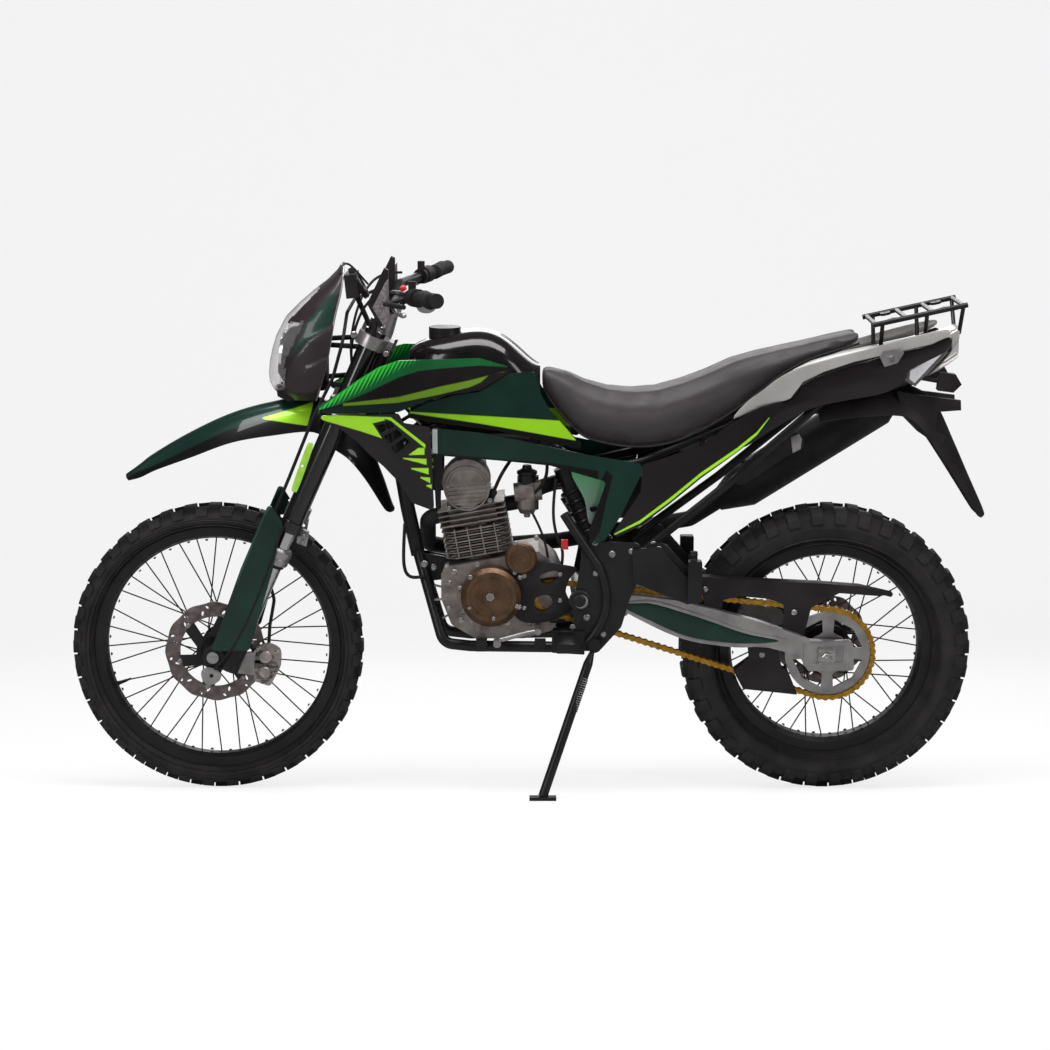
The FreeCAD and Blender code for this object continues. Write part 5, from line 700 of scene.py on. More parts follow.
# %% Drive chain
PITCH = 15.875 * MM
FRONT_SPROCKET = flat(550, 588)
REAR_SPROCKET = Vector((AXLE_OUT, 0, AXLE_UP))
FRONT_TEETH, REAR_TEETH = 14, 42
CHAIN_SIDE, OUTER_PLATE, INNER_PLATE = 80 * MM, 7.4 * MM, 5.2 * MM
PLATE_WAIST, PLATE_TIP, PLATE_THICK = 4.4 * MM, 7.0 * MM, 1.8 * MM


def pitch_radius(teeth):
    """The radius on which a sprocket's chain pins run."""
    return PITCH / (2 * math.sin(math.pi / teeth))


def chain_path(side):
    """Points on the closed line round both sprockets, every one pitch apart."""
    small, large = pitch_radius(FRONT_TEETH), pitch_radius(REAR_TEETH)
    run = REAR_SPROCKET - FRONT_SPROCKET
    tilt = math.atan2(run.z, run.x)
    lean = math.acos((large - small) / run.length)
    line = []
    for centre, radius, start, sweep, steps in ((FRONT_SPROCKET, small, tilt + math.pi - lean, 2 * lean,
            400), (REAR_SPROCKET, large, tilt - math.pi + lean, 2 * math.pi - 2 * lean, 800)):
        for step in range(steps + 1):
            turn = start + sweep * step / steps
            line.append(centre + Vector((math.cos(turn), 0, math.sin(turn))) * radius)
    line.append(line[0])
    lengths = [0]
    for a, b in zip(line, line[1:]):
        lengths.append(lengths[-1] + (b - a).length)
    count = 2 * round(lengths[-1] / PITCH / 2)
    spots, index = [], 0
    for link in range(count):
        goal = lengths[-1] * link / count
        while lengths[index + 1] < goal:
            index += 1
        share = (goal - lengths[index]) / (lengths[index + 1] - lengths[index])
        spots.append(line[index].lerp(line[index + 1], share) + Vector((0, -side, 0)))
    return spots


def link_outline(start, end, waist, tip):
    """A figure of eight round two pins, in the chain's plane."""
    along = (end - start).normalized()
    up = Vector((-along.z, 0, along.x))
    shape = []
    for pin, first, hollow in ((start, math.pi / 2, -waist), (end, -math.pi / 2, waist)):
        for turn in (first + math.pi * step / 6 for step in range(7)):
            shape.append(pin + (along * math.cos(turn) + up * math.sin(turn)) * tip)
        shape.append((start + end) / 2 + up * hollow)
    return shape


def plate(corners, faces, outline, side, thickness):
    """Adds one flat plate with that outline between two planes."""
    first = len(corners)
    count = len(outline)
    for shift in (side - thickness / 2, side + thickness / 2):
        corners.extend(PARK @ (point + Vector((0, shift, 0))) for point in outline)
    faces.append(tuple(range(first, first + count)))
    faces.append(tuple(range(first + count, first + 2 * count))[::-1])
    for step in range(count):
        after = (step + 1) % count
        faces.append((first + step, first + count + step, first + count + after, first + after))


def drive_chain():
    """All plates, rollers and pin ends of the chain."""
    spots = chain_path(CHAIN_SIDE)
    corners, faces = [], []
    for link, start in enumerate(spots):
        end = spots[(link + 1) % len(spots)]
        offset = OUTER_PLATE if link % 2 else INNER_PLATE
        outline = link_outline(start, end, PLATE_WAIST, PLATE_TIP)
        for hand in (1, -1):
            plate(corners, faces, outline, hand * offset, PLATE_THICK)
        for radius, width in ((5.0, 8.0), (2.5, 18.6)):
            around = [start + way * radius * MM
                for way in spokes(Vector((1, 0, 0)), Vector((0, 0, 1)), 8)]
            plate(corners, faces, around, 0, width * MM)
    item = piece("drive_chain", corners, faces, gold_chain, "chassis")
    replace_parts(item, "chain")
    return len(spots)


print("chain links", drive_chain())

# %% [markdown]
# Springs are wires on a helix: the side stand's pull-back spring and the coil round the shock absorber.

# %% Springs
def coil(name, start, end, radius, wire, coils, material, body, steps=20):
    """A closed wire wound round the line from start to end; radius and wire in millimetres."""
    axis = (end - start).normalized()
    around = round_axis(axis, steps)
    count = coils * steps
    corners = []
    for step in range(count + 1):
        out = around[step % steps]
        middle = start.lerp(end, step / count) + out * radius * MM
        corners += [middle + way * wire * MM for way in spokes(out, axis, 8)]
    return piece(name, corners, ring_faces(count + 1, 8), material, body)


coil("shock_spring", at(571, 476, 0), at(603, 554, 0), 33, 5, 8, powder_black, "chassis")

# %% [markdown]
# Flat metal and moulded parts are cut from an outline seen in the side view. A filled flat curve can
# have holes and gets its thickness and its rounded edge from two numbers, so it is the quickest true way.

# %% Cut-out plates, lathed parts and bent tubes
def mesh_of(data, material):
    """The mesh that a curve draws, in one finish."""
    item = shown("outline", data)
    graph = bpy.context.evaluated_depsgraph_get()
    mesh = bpy.data.meshes.new_from_object(item.evaluated_get(graph), depsgraph=graph)
    bpy.data.objects.remove(item)
    mesh.materials.clear()
    mesh.materials.append(material)
    for face in mesh.polygons:
        face.material_index = 0
    return mesh


def cutout(name, outlines, side, depth, edge, material, body, both=False):
    """A plate with holes, its outer face side metres left of the middle; depth and edge in mm."""
    depth, edge = depth * MM, edge * MM
    data = bpy.data.curves.new(name, "CURVE")
    data.dimensions = "2D"
    data.fill_mode = "BOTH"
    data.extrude = depth / 2 - edge
    data.bevel_depth = edge
    data.bevel_resolution = 1
    data.offset = -edge
    for outline in outlines:
        line = data.splines.new("POLY")
        line.points.add(len(outline) - 1)
        for point, (px, py) in zip(line.points, outline):
            spot = flat(px, py, side)
            point.co = (spot.x, spot.z, 0, 1)
        line.use_cyclic_u = True
    mesh = mesh_of(data, material)
    stand_up = Matrix(((1, 0, 0, 0), (0, 0, -1, -side + depth / 2), (0, 1, 0, 0), (0, 0, 0, 1)))
    shape = bmesh.new()
    shape.from_mesh(mesh)
    bmesh.ops.remove_doubles(shape, verts=shape.verts, dist=WELD)
    bmesh.ops.transform(shape, matrix=stand_up, verts=shape.verts)
    if both:
        other = bmesh.ops.duplicate(shape, geom=shape.verts[:] + shape.edges[:]
            + shape.faces[:])["geom"]
        turned = [v for v in other if isinstance(v, bmesh.types.BMVert)]
        bmesh.ops.transform(shape, matrix=Matrix.Scale(-1, 4, (0, 1, 0)), verts=turned)
    bmesh.ops.transform(shape, matrix=PARK, verts=shape.verts)
    bmesh.ops.recalc_face_normals(shape, faces=shape.faces)
    shape.to_mesh(mesh)
    shape.free()
    mesh.shade_smooth()
    mesh.set_sharp_from_angle(angle=math.radians(35))
    return hand_over(shown(name, mesh), body)


def lathed(name, centre, axis, profile, material, body, steps=48, smooth=30):
    """A turned part: rows of (along the axis, out from it) in millimetres."""
    axis = axis.normalized()
    around = round_axis(axis, steps)
    corners = [centre + (axis * along + away * radius) * MM for along, radius in profile
        for away in around]
    return piece(name, corners, ring_faces(len(profile), steps), material, body, smooth)


def lathe_ring(name, centre, axis, profile, material, body, steps=96):
    """A closed ridge that runs once round an axis, from a profile in millimetres."""
    count = len(profile)
    corners = [centre + (axis * along + away * radius) * MM for away in round_axis(axis, steps)
        for along, radius in profile]
    faces = []
    for step in range(steps):
        after = (step + 1) % steps
        for k in range(count):
            faces.append((step * count + k, step * count + (k + 1) % count,
                after * count + (k + 1) % count, after * count + k))
    return piece(name, corners, faces, material, body, 50)


def tube(name, points, radius, material, body, smooth=True, steps=10):
    """A round bar along points, its radius in millimetres: a smooth cable, or straight runs."""
    data = bpy.data.curves.new(name, "CURVE")
    data.dimensions = "3D"
    data.bevel_depth = radius * MM
    data.bevel_resolution = 3
    data.use_fill_caps = True
    data.resolution_u = steps
    line = data.splines.new("NURBS" if smooth else "POLY")
    line.points.add(len(points) - 1)
    for point, spot in zip(line.points, points):
        point.co = (*spot, 1)
    if smooth:
        line.order_u = 3
        line.use_endpoint_u = True
    mesh = mesh_of(data, material)
    mesh.shade_smooth()
    return hand_over(shown(name, mesh), body)


def circle(px, py, radius, steps=24):
    """A round outline in pixels, its radius in millimetres."""
    radius = radius * MM / SCALE
    return [(px + radius * math.cos(turn), py + radius * math.sin(turn)) for turn in turns(steps)]


def smooth_line(points, steps=6, closed=True):
    """More points between the given ones, on a line that bends through them all."""
    count = len(points)
    line = []
    for k in range(count if closed else count - 1):
        a, b, c, d = (points[(k + j) % count if closed else max(0, min(count - 1, k + j))]
            for j in (-1, 0, 1, 2))
        for t in (step / steps for step in range(steps)):
            line.append(tuple(v
                + 0.5 * t * (w - u + t * (2 * u - 5 * v + 4 * w - x + t * (3 * (v - w) + x - u)))
                for u, v, w, x in zip(a, b, c, d)))
    return line if closed else line + [points[-1]]


# %% [markdown]
# Brake discs are laser cut from stainless sheet: a wavy rim, slanted slots that clean the pads, and a
# black carrier in the middle. The plate replaces the plain disc of the engineering model.

# %% Brake discs
def disc(name, centre_px, radius, side, node, body):
    """A wavy slotted band and its black carrier on the wheel's centre, radius in millimetres."""
    cx, cy = centre_px

    def spot(reach, turn):
        """The pixel that far, in millimetres, from the centre."""
        return cx + reach * MM / SCALE * math.cos(turn), cy + reach * MM / SCALE * math.sin(turn)

    outlines = [[spot(radius - WAVE + WAVE * math.cos(WAVES * turn), turn)
        for turn in turns(WAVES * 16)], circle(cx, cy, radius * 0.70, 64)]
    for turn in turns(WAVES, 0.5):
        for reach, length, tilt, shift in ((0.80, 6.0, 0.5, -0.05), (0.90, 4.5, -0.7, 0.09)):
            mx, my = spot(radius * reach, turn + shift)
            lean = turn + shift + tilt
            slot_line = []
            for a in turns(12):
                u, v = length * math.cos(a), 2.6 * math.sin(a)
                slot_line.append((mx + (u * math.cos(lean) - v * math.sin(lean)) * MM / SCALE,
                    my + (u * math.sin(lean) + v * math.cos(lean)) * MM / SCALE))
            outlines.append(slot_line)
    band = cutout(name, outlines, side, 3.8, 0.3, disc_steel, body)
    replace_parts(band, node)
    arms = [spot(radius * reach, turn + shift) for turn in turns(6, 0.5)
        for shift, reach in ((-0.34, 0.36), (0.08, 0.72), (0.42, 0.72), (0.34, 0.36))]
    cutout(name + "_carrier", [arms, circle(cx, cy, 34.5, 40)], side + 1.0 * MM, 4.4, 0.6, powder_black,
        body)
    rivets = []
    for turn in turns(6, 0.5):
        way = Vector((math.cos(turn + 0.25), 0, -math.sin(turn + 0.25)))
        place = flat(cx, cy, side) + way * radius * 0.735 * MM
        rivets.append((PARK @ Vector((place.x, -side - 1.4 * MM, place.z)), LEFT, 4.4 * MM))
    fasteners(name + "_bobbins", rivets, body, ROUND_TREE, satin_silver)


ROUND_TREE = fastener_tree("round_button_heads", 20)
WAVES, WAVE = 12, 1.6


def plane_px(x, z, side):
    """The pixel whose place at that side is the upright point (x, z)."""
    near = 1 - side / EYE_DISTANCE
    px = (x / SCALE + MIDDLE_PX - EYE_PX) / near + EYE_PX
    return px, (GROUND_PX - z / SCALE - HORIZON_PX) / near + HORIZON_PX


disc("front_brake_disc", plane_px(-AXLE_OUT, AXLE_UP, 0.062), 121, 0.062, "front_disc", "front_wheel")
disc("rear_brake_disc", plane_px(AXLE_OUT, AXLE_UP, -0.074), 110, -0.074, "rear_disc", "rear_wheel")
print("brake discs with", WAVES, "waves")

# %% [markdown]
# Wire wheels: each spoke ends in a nipple at the rim. The spokes are in the engineering model; the
# nipples, the valve and the raised rings of the tyre's side are small repeated forms.

# %% Wheel trim
def wheel_trim(end, x, rim, width):
    """Nipples, valve and sidewall rings on one wheel; rim radius and tyre width in millimetres."""
    centre = PARK @ Vector((x, 0, AXLE_UP))
    body = f"{end}_wheel"
    spots = []
    for k, turn in enumerate(turns(SPOKES, 0.5)):
        out = aim(math.cos(turn), 0, math.sin(turn))
        spots.append((centre + out * (rim - 4) * MM + LEFT * (5 * MM if k % 2 else -5 * MM), -out,
            3.4 * MM))
    fasteners(f"{end}_nipples", spots, body, HEX_TREE, powder_black)
    low = aim(-0.93, 0, -0.36)
    lathed(f"{end}_valve", centre + low * (rim - 2) * MM, -low,
        [(0, 5.5), (6, 4.2), (22, 3.6), (24, 2.8), (34, 2.6)], grip_rubber, body, 20)
    for hand, flank in ((1, "left"), (-1, "right")):
        for number, radius, side in ((0, rim + 34, width * 0.452), (3, rim + 46, width * 0.476)):
            ridge = [(hand * (side + 0.6), radius), (hand * (side + 2.6), radius + 1.2),
                (hand * (side + 0.6), radius + 3)]
            lathe_ring(f"{end}_side_ring_{flank}_{number}", centre, LEFT, ridge, tyre_rubber, body)


SPOKES = 36
wheel_trim("front", -AXLE_OUT, 263, 88)
wheel_trim("rear", AXLE_OUT, 222, 122)
print("spoke nipples", 2 * SPOKES)

# %% [markdown]
# The engine's left side is what the eye lands on: a ribbed cam cover, a painted alternator cover with a
# plug and cast bars, the starter, and rows of small bolts round every joint.

# %% Engine covers
def ring_plate(name, px, py, outer, inner, side, depth, material):
    """A flat ring in the side view, sizes in millimetres."""
    return cutout(name, [circle(px, py, outer, 56), circle(px, py, inner, 56)], side, depth, 0.8,
        material, "chassis")


STATOR_PX, STARTER_PX, CAM_PX = (491, 587), (521, 549), (467, 480)
PLUG_PX = (490, 586.5)
stator_face = skin("engine_covers", *STATOR_PX, 0.14)
starter_face = skin("engine_covers", *STARTER_PX, 0.12)
head_face = skin("cylinder_head", *CAM_PX, 0.08)
print("faces", round(stator_face, 3), round(starter_face, 3), round(head_face, 3))
ring_plate("alternator_cover_ring", *STATOR_PX, 60, 50, stator_face + 2.5 * MM, 4, bronze_paint)
ring_plate("alternator_plug_ring", *PLUG_PX, 17, 12.5, stator_face + 3 * MM, 5, bronze_paint)
lathed("alternator_plug", at(*PLUG_PX, stator_face), LEFT, [(0, 11), (2.2, 11), (2.6, 5), (1, 4.6)],
    cast_silver, "chassis", 6)
for number, (ax, ay, bx, by) in enumerate(((470, 592, 487, 610), (475, 588, 496, 609))):
    cutout(f"alternator_bar_{number}", [[(ax, ay), (ax + 1.6, ay - 1.6), (bx + 1.6, by - 1.6),
        (bx, by)]], stator_face + 2 * MM, 3, 0.5, bronze_paint, "chassis")
ring_plate("starter_ring", *STARTER_PX, 34, 25, starter_face + 2 * MM, 4, bronze_paint)
ring_plate("starter_boss", *STARTER_PX, 13, 4, starter_face + 1.5 * MM, 3, bronze_paint)
ring_plate("cam_cover_rim", *CAM_PX, 54, 49, head_face + 3 * MM, 5, cast_silver)
CAM_ARC = [(467 + 17.5 * math.cos(a), 474 - 15 * math.sin(a))
    for a in (math.pi * k / 20 for k in range(21))]
CAM_ARC_IN = [(467 + 15.5 * math.cos(a), 474.6 - 13 * math.sin(a))
    for a in (math.pi * k / 20 for k in range(20, -1, -1))]
cutout("cam_cover_arch", [CAM_ARC + CAM_ARC_IN], head_face + 2 * MM, 3, 0.4, cast_silver, "chassis")
for number in range(6):
    py = 477.5 + number * 4.2
    half = math.sqrt(max(0, 20.5 ** 2 - (py - 480) ** 2)) - 1
    slope = 0.09 * half
    cutout(f"cam_cover_bar_{number}", [[(467 - half, py + slope), (467 + half, py - slope),
        (467 + half, py - slope + 1.7), (467 - half, py + slope + 1.7)]], head_face + 2 * MM, 3, 0.4,
        cast_silver, "chassis")
side_bolts("engine_bolts", [(px, py, face + drop * MM, size)
    for face, drop, px, py, size in ((head_face, 0, 488.8, 476, 4.6), (head_face, 0, 490, 492.5, 4.6),
    (head_face, 0, 448, 478, 4), (head_face, 0, 449, 500, 4), (starter_face, -4, 515.5, 533, 4.5),
    (starter_face, -4, 536.5, 527.5, 4.5), (starter_face, -12, 524, 567, 4.5),
    (stator_face, -14, 477, 554.5, 4.5), (stator_face, -22, 449, 573.5, 4),
    (stator_face, -20, 459.5, 578.5, 4), (stator_face, -16, 519, 598, 4.5),
    (stator_face, -16, 508, 615, 4.2), (stator_face, -24, 448, 600, 4),
    (stator_face, -22, 461, 612.5, 5.5), (stator_face, -22, 471, 613, 4.2))], 1 * MM, "chassis")

# %% [markdown]
# The fins of an air-cooled barrel are tied by thin upright webs, cast between them so they don't ring.

# %% Webs between the fins
ENGINE_LEAN = math.radians(10)


def engine_point(x, y, z):
    """A point in the cylinder's own leaning frame, in millimetres from its foot."""
    foot = flat(481, 552)
    forward = Vector((-math.sin(ENGINE_LEAN), 0, math.cos(ENGINE_LEAN)))
    along = Vector((math.cos(ENGINE_LEAN), 0, math.sin(ENGINE_LEAN)))
    return PARK @ (foot + along * x * MM + Vector((0, y * MM, 0)) + forward * z * MM)


def block(corners, faces, low, high):
    """Adds a box between two corners of the cylinder's frame."""
    first = len(corners)
    for x in (low[0], high[0]):
        for y in (low[1], high[1]):
            for z in (low[2], high[2]):
                corners.append(engine_point(x, y, z))
    for face in ((0, 1, 3, 2), (4, 6, 7, 5), (0, 4, 5, 1), (2, 3, 7, 6), (0, 2, 6, 4), (1, 5, 7, 3)):
        faces.append(tuple(first + k for k in face))


web_corners, web_faces = [], []
for x in (-48, -18, 14, 46):
    block(web_corners, web_faces, (x - 1.6, -74, 12), (x + 1.6, -40, 82))
for number in range(5):
    z = 17.5 + 12.5 * number
    block(web_corners, web_faces, (-66, -66, z + 0.2), (66, -40, z + 2.6))
piece("fin_webs", web_corners, web_faces, cast_silver, "chassis", smooth=0)

# %% [markdown]
# The open cover over the front sprocket is a moulded plate with cut-outs; the chain shows through it.

# %% Sprocket cover
sprocket_side = skin("sprocket_cover", 545, 585, 0.12)
cover_item = cutout("sprocket_cover_plate", [smooth_line([(513, 566), (524, 556), (545, 553),
    (562, 556), (577, 560), (570, 570), (566, 584), (572, 600), (556, 612), (532, 616), (516, 610),
    (509, 588)], 4), smooth_line([(541, 566), (556, 562), (560, 567), (550, 575), (541, 573)], 4),
    smooth_line([(536, 590), (548, 587), (553, 596), (544, 604), (535, 600)], 4)], sprocket_side, 10,
    1.2, moulded_black, "chassis")
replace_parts(cover_item, "sprocket_cover")

# %% [markdown]
# The headlight cowl is one thin moulded skin with a clear window let into its nose. Its sections are
# U-shapes that grow from the tip of the screen to the lamp and close under it. The window is the same
# skin again in clear plastic, so the two always meet; the creases are small steps pressed in the sides.

# %% Headlight cowl
# Rows of py, front px, rear px, half width in millimetres.
COWL_ROWS = [(262, 345.0, 347.5, 36), (268, 341.0, 347.0, 46), (278, 331.0, 345.5, 60),
    (288, 317.6, 343.5, 72), (300, 303.5, 340.0, 82), (314, 289.5, 336.5, 90), (332, 280.0, 333.5, 96),
    (345, 276.0, 331.0, 98), (357, 273.2, 328.5, 98), (368, 272.2, 325.5, 94), (377, 272.6, 322.8, 88),
    (385, 277.0, 320.6, 78), (393, 288.0, 318.4, 62)]
WINDOW = [(338, 266), (322, 285.5), (305, 301.5), (291, 316), (308, 312.5), (303, 322), (298, 333),
    (291, 346), (288, 354), (287, 382), (268, 386), (262, 340), (268, 308), (300, 275)]
CREASES = [((345, 312), (328, 320), (310, 330.5), (296, 346), (288, 362)),
    ((345, 341), (328, 347.5), (308, 358), (296, 374))]
COWL_STEPS, COWL_ACROSS = 60, 56
COWL_HALF, CREASE_RISE, SCREEN_FOOT_PX = 0.09, 4.5 * MM, 313


def between(rows, place):
    """The row at that first value, read off straight lines between the given rows."""
    for low, high in zip(rows, rows[1:]):
        if place <= high[0]:
            share = (place - low[0]) / (high[0] - low[0])
            return tuple(a + (b - a) * share for a, b in zip(low, high))
    return rows[-1]


def inside(px, py, outline):
    """Whether a pixel lies in an outline."""
    found = False
    for (ax, ay), (bx, by) in zip(outline, outline[1:] + outline[:1]):
        if (ay > py) != (by > py) and px < (bx - ax) * (py - ay) / (by - ay) + ax:
            found = not found
    return found


def step_below(px, py, line):
    """1 just below a drawn line, fading out further down, 0 above it."""
    if px < line[-1][0] or px > line[0][0]:
        return 0.0
    under = py - between([(-x, y) for x, y in line], -px)[1]
    return 0.0 if under < 0 else min(1.0, under / 1.2) * max(0.0, 1 - under / 34)


def cowl_pixel(row, column):
    """The side-view pixel, side (metres) and turn of one point of the cowl's grid."""
    place = COWL_ROWS[0][0] + (COWL_ROWS[-1][0] - COWL_ROWS[0][0]) * row / COWL_STEPS
    py, front, rear, half = between(COWL_ROWS, place)
    turn = math.pi * (column / COWL_ACROSS - 0.5)
    px = rear - (rear - front) * max(0.0, math.cos(turn)) ** 0.85
    side = half * MM * math.copysign(abs(math.sin(turn)) ** 0.8, math.sin(turn))
    return px, py, side


def cowl_skin(name, material, thickness, proud, wanted):
    """The part of the cowl's grid whose faces are wanted, given thickness inward."""
    corners, faces = [], []
    across = COWL_ACROSS + 1
    for row in range(COWL_STEPS + 1):
        for column in range(across):
            px, py, side = cowl_pixel(row, column)
            out = proud
            if not inside(px, py, WINDOW):
                out += CREASE_RISE * sum(step_below(px, py, crease) for crease in CREASES)
            reach = 1 + out / COWL_HALF
            corners.append(at(px, py, side * reach))
    for row in range(COWL_STEPS):
        for column in range(COWL_ACROSS):
            px, py, side = (sum(values) / 2 for values in zip(cowl_pixel(row, column),
                cowl_pixel(row + 1, column + 1)))
            if wanted(px, py):
                first = row * across + column
                faces.append((first, first + 1, first + across + 1, first + across))
    item = piece(name, corners, faces, material, "steering", 30)
    shape = bmesh.new()
    shape.from_mesh(item.data)
    bmesh.ops.delete(shape, geom=[v for v in shape.verts if not v.link_faces], context="VERTS")
    middle = at(315, 335, 0)
    for face in shape.faces:
        if face.normal.dot(face.calc_center_median() - middle) < 0:
            face.normal_flip()
    shape.to_mesh(item.data)
    shape.free()
    return walled(item, thickness, 30)


screen_grey = weather(finish("smoked_acrylic_screen", IOR=1.49, Coat_Weight=0.6, Coat_Roughness=0.03),
    "#8d8689", "#c3bec0", 50, (0.1, 0.2), 40, 0.01)
shell_item = cowl_skin("headlight_cowl_skin", mask_paint, 3 * MM, 0.0,
    lambda px, py: not inside(px, py, WINDOW))
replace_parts(shell_item, "headlight_cowl")
cowl_skin("cowl_screen", screen_grey, 2 * MM, -0.5 * MM,
    lambda px, py: inside(px, py, WINDOW) and py < SCREEN_FOOT_PX)
lens_item = cowl_skin("headlight_lens", clear_lens, 2 * MM, -0.5 * MM,
    lambda px, py: inside(px, py, WINDOW) and py >= SCREEN_FOOT_PX)
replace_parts(lens_item, "headlight")
# A thin rim runs along each rear edge of the cowl. Its satin silver is a painted highlight: it stands in
# for the light that this edge catches.
for hand, flank in ((1, "left"), (-1, "right")):
    rim = [at(px, py, hand * (half - 1) * MM) for py, front, px, half in COWL_ROWS]
    tube(f"cowl_edge_highlight_{flank}", rim, 2.2, satin_silver, "steering")
tube("screen_loop", [at(345.5, 268, 0.046), at(345.5, 261, 0.034), at(350, 258.5, 0.03),
    at(356.5, 262.5, 0.03), at(371, 279.5, 0.03)], 2.6, powder_black, "steering")

# %% [markdown]
# Inside the lamp: a bright bowl round the bulb, with trim blades on each side that the window shows.

# %% Lamp inside
bowl_axis, BULB = aim(-0.93, 0, 0.12), at(304, 350, 0)
bowl_profile = [(0, 0), (2, 12), (12, 30), (28, 44), (44, 52), (46, 52), (40, 54), (20, 44), (4, 30),
    (-6, 12), (-8, 0)]
mirror_coat = weather(finish("vacuum_plated_reflector", Metallic=1.0), "#cfcfd2", "#e2e2e6", 40,
    (0.05, 0.14), 12, 0.02)
lathed("lamp_reflector", BULB, bowl_axis, bowl_profile, mirror_coat, "steering")
lathed("bulb_shield", BULB + bowl_axis * 22 * MM, bowl_axis, [(0, 10), (12, 10), (17, 6), (18, 0)],
    chrome_plate, "steering", 24)
BLADES = (([(293, 317.5), (306, 313.5), (301, 322), (292, 334), (287.5, 344), (284.5, 341.5),
    (289, 327)], mirror_coat), ([(282.5, 341.5), (287, 327.5), (290, 326), (286, 341), (290.5, 349),
    (286, 352.5)], moulded_black), ([(283.5, 354), (285, 354), (284, 378), (282.5, 378)], mirror_coat),
    ([(287, 352), (288.5, 352), (287.5, 380), (286, 380)], mirror_coat))
for number, (outline, material) in enumerate(BLADES):
    cutout(f"lamp_blade_{number}", [outline], 0.036 - 0.004 * number, 3, 0.4, material, "steering",
        both=True)
cutout("cowl_feet", [[(279, 383), (287, 381), (297, 386), (300, 394), (290, 395), (280, 390)]], 0.04,
    14, 2, moulded_black, "steering", both=True)


# %% [markdown]
# The controls are the small busy part of a handlebar: a red stop button on the switches, the fluid
# reservoir with its screws, a lever on each side and the cables that loop forward.

# %% Controls and cables
stop_red = weather(finish("red_acetal_button", IOR=1.48), "#a3141b", "#c01d24", 8, (0.3, 0.42), 3, 0.02)
lathed("stop_button", at(405.5, 267.5, 0.262), aim(-0.4, -0.2, 0.9),
    [(-4, 7.5), (4, 7.5), (6, 6), (6.5, 0)], stop_red, "steering", 24)
cutout("master_cylinder", [smooth_line([(416.5, 281), (420, 278.5), (436, 281), (437.5, 287),
    (431, 291.5), (421, 290)], 4)], 0.265, 24, 3, satin_silver, "steering")
for number, (px, py) in enumerate(((420, 284), (433.5, 286))):
    lathed(f"master_screw_{number}", at(px, py, 0.2655), LEFT, [(-1, 3.4), (1.6, 3.2), (2.2, 1.6),
        (0.8, 1.2)], ground_steel, "steering", 16)


# Rows of px, py, side, half height and half depth, the last three in millimetres.
LEVER_ROWS = [(402, 279, 175, 5.0, 9), (398, 281.5, 200, 4.5, 8), (396, 284, 240, 4.2, 7),
    (396.5, 286, 290, 4.0, 6.5), (399, 287, 330, 4.0, 6), (403, 287, 352, 4.6, 5.5),
    (405, 286.5, 362, 6.5, 6.5), (406, 286, 370, 6.0, 6.0), (406.5, 286, 375, 2.5, 2.5)]


def lever(name, hand):
    """A forged lever: a flat blade that swells at its ball end, ahead of the grip."""
    corners = []
    for px, py, side, tall, deep in LEVER_ROWS:
        spot = flat(px, py, side * MM)
        corners += [PARK @ Vector((spot.x + math.cos(turn) * deep * MM, hand * -side * MM,
            spot.z + math.sin(turn) * tall * MM)) for turn in turns(12)]
    return piece(name, corners, ring_faces(len(LEVER_ROWS), 12), satin_silver, "steering", 60)


def cable(name, points, radius, body):
    """A sleeved cable through (px, py, side) points, its radius in millimetres."""
    return tube(name, [at(px, py, side) for px, py, side in points], radius, grip_rubber, body,
        steps=12)


# %% [markdown]
# A grip is a soft sleeve with raised rings. They are turned on the bar's own line, read off the sleeve.

# %% Grips
GRIP_END, GRIP_RINGS = 14 * MM, 22


def grip_rings(name, hand):
    """Rings round the sleeve, on the bar's own line at the grip."""
    grips = NODES["grips"]
    own = [UPRIGHT @ grips.matrix_world @ vertex.co for vertex in grips.data.vertices]
    own = [corner for corner in own if corner.y * -hand > 0]
    middles = []
    for end in (min(corner.y for corner in own), max(corner.y for corner in own)):
        near = [corner for corner in own if abs(corner.y - end) < 4 * MM]
        middles.append(sum(near, Vector()) / len(near))
    span = middles[1] - middles[0]
    axis = span.normalized()
    length = span.length - 2 * GRIP_END
    reaches = []
    for way in (corner - middles[0] for corner in own):
        if 0.02 < way.dot(axis) < length:
            reaches.append((way - axis * way.dot(axis)).length)
    reach = sorted(reaches)[len(reaches) // 2] / MM if reaches else 16
    step = length / MM / GRIP_RINGS
    profile = [(0.0, reach - 1)]
    for ring in range(GRIP_RINGS):
        profile += [(step * ring + along, reach + rise) for along, rise in ((0.5, 0.2), (1.2, 1.6),
            (3.4, 1.6), (4.1, 0.2))]
    profile.append((length / MM, reach - 1))
    lathed(name, PARK @ (middles[0] + axis * GRIP_END), PARK.to_3x3() @ axis, profile, grip_rubber,
        "steering", 28, 50)
    print(name, "radius", round(reach, 1), "length", round(length, 3))


grip_rings("grip_rings_left", 1)
grip_rings("grip_rings_right", -1)

# %% [markdown]
# Both mudguards are thin arched strips. A loft through few sections swings past its last ones, so the
# visible strips are drawn again with even steps; they keep the drawn sections and their width.

# %% Mudguards
GUARD_STEPS = 24


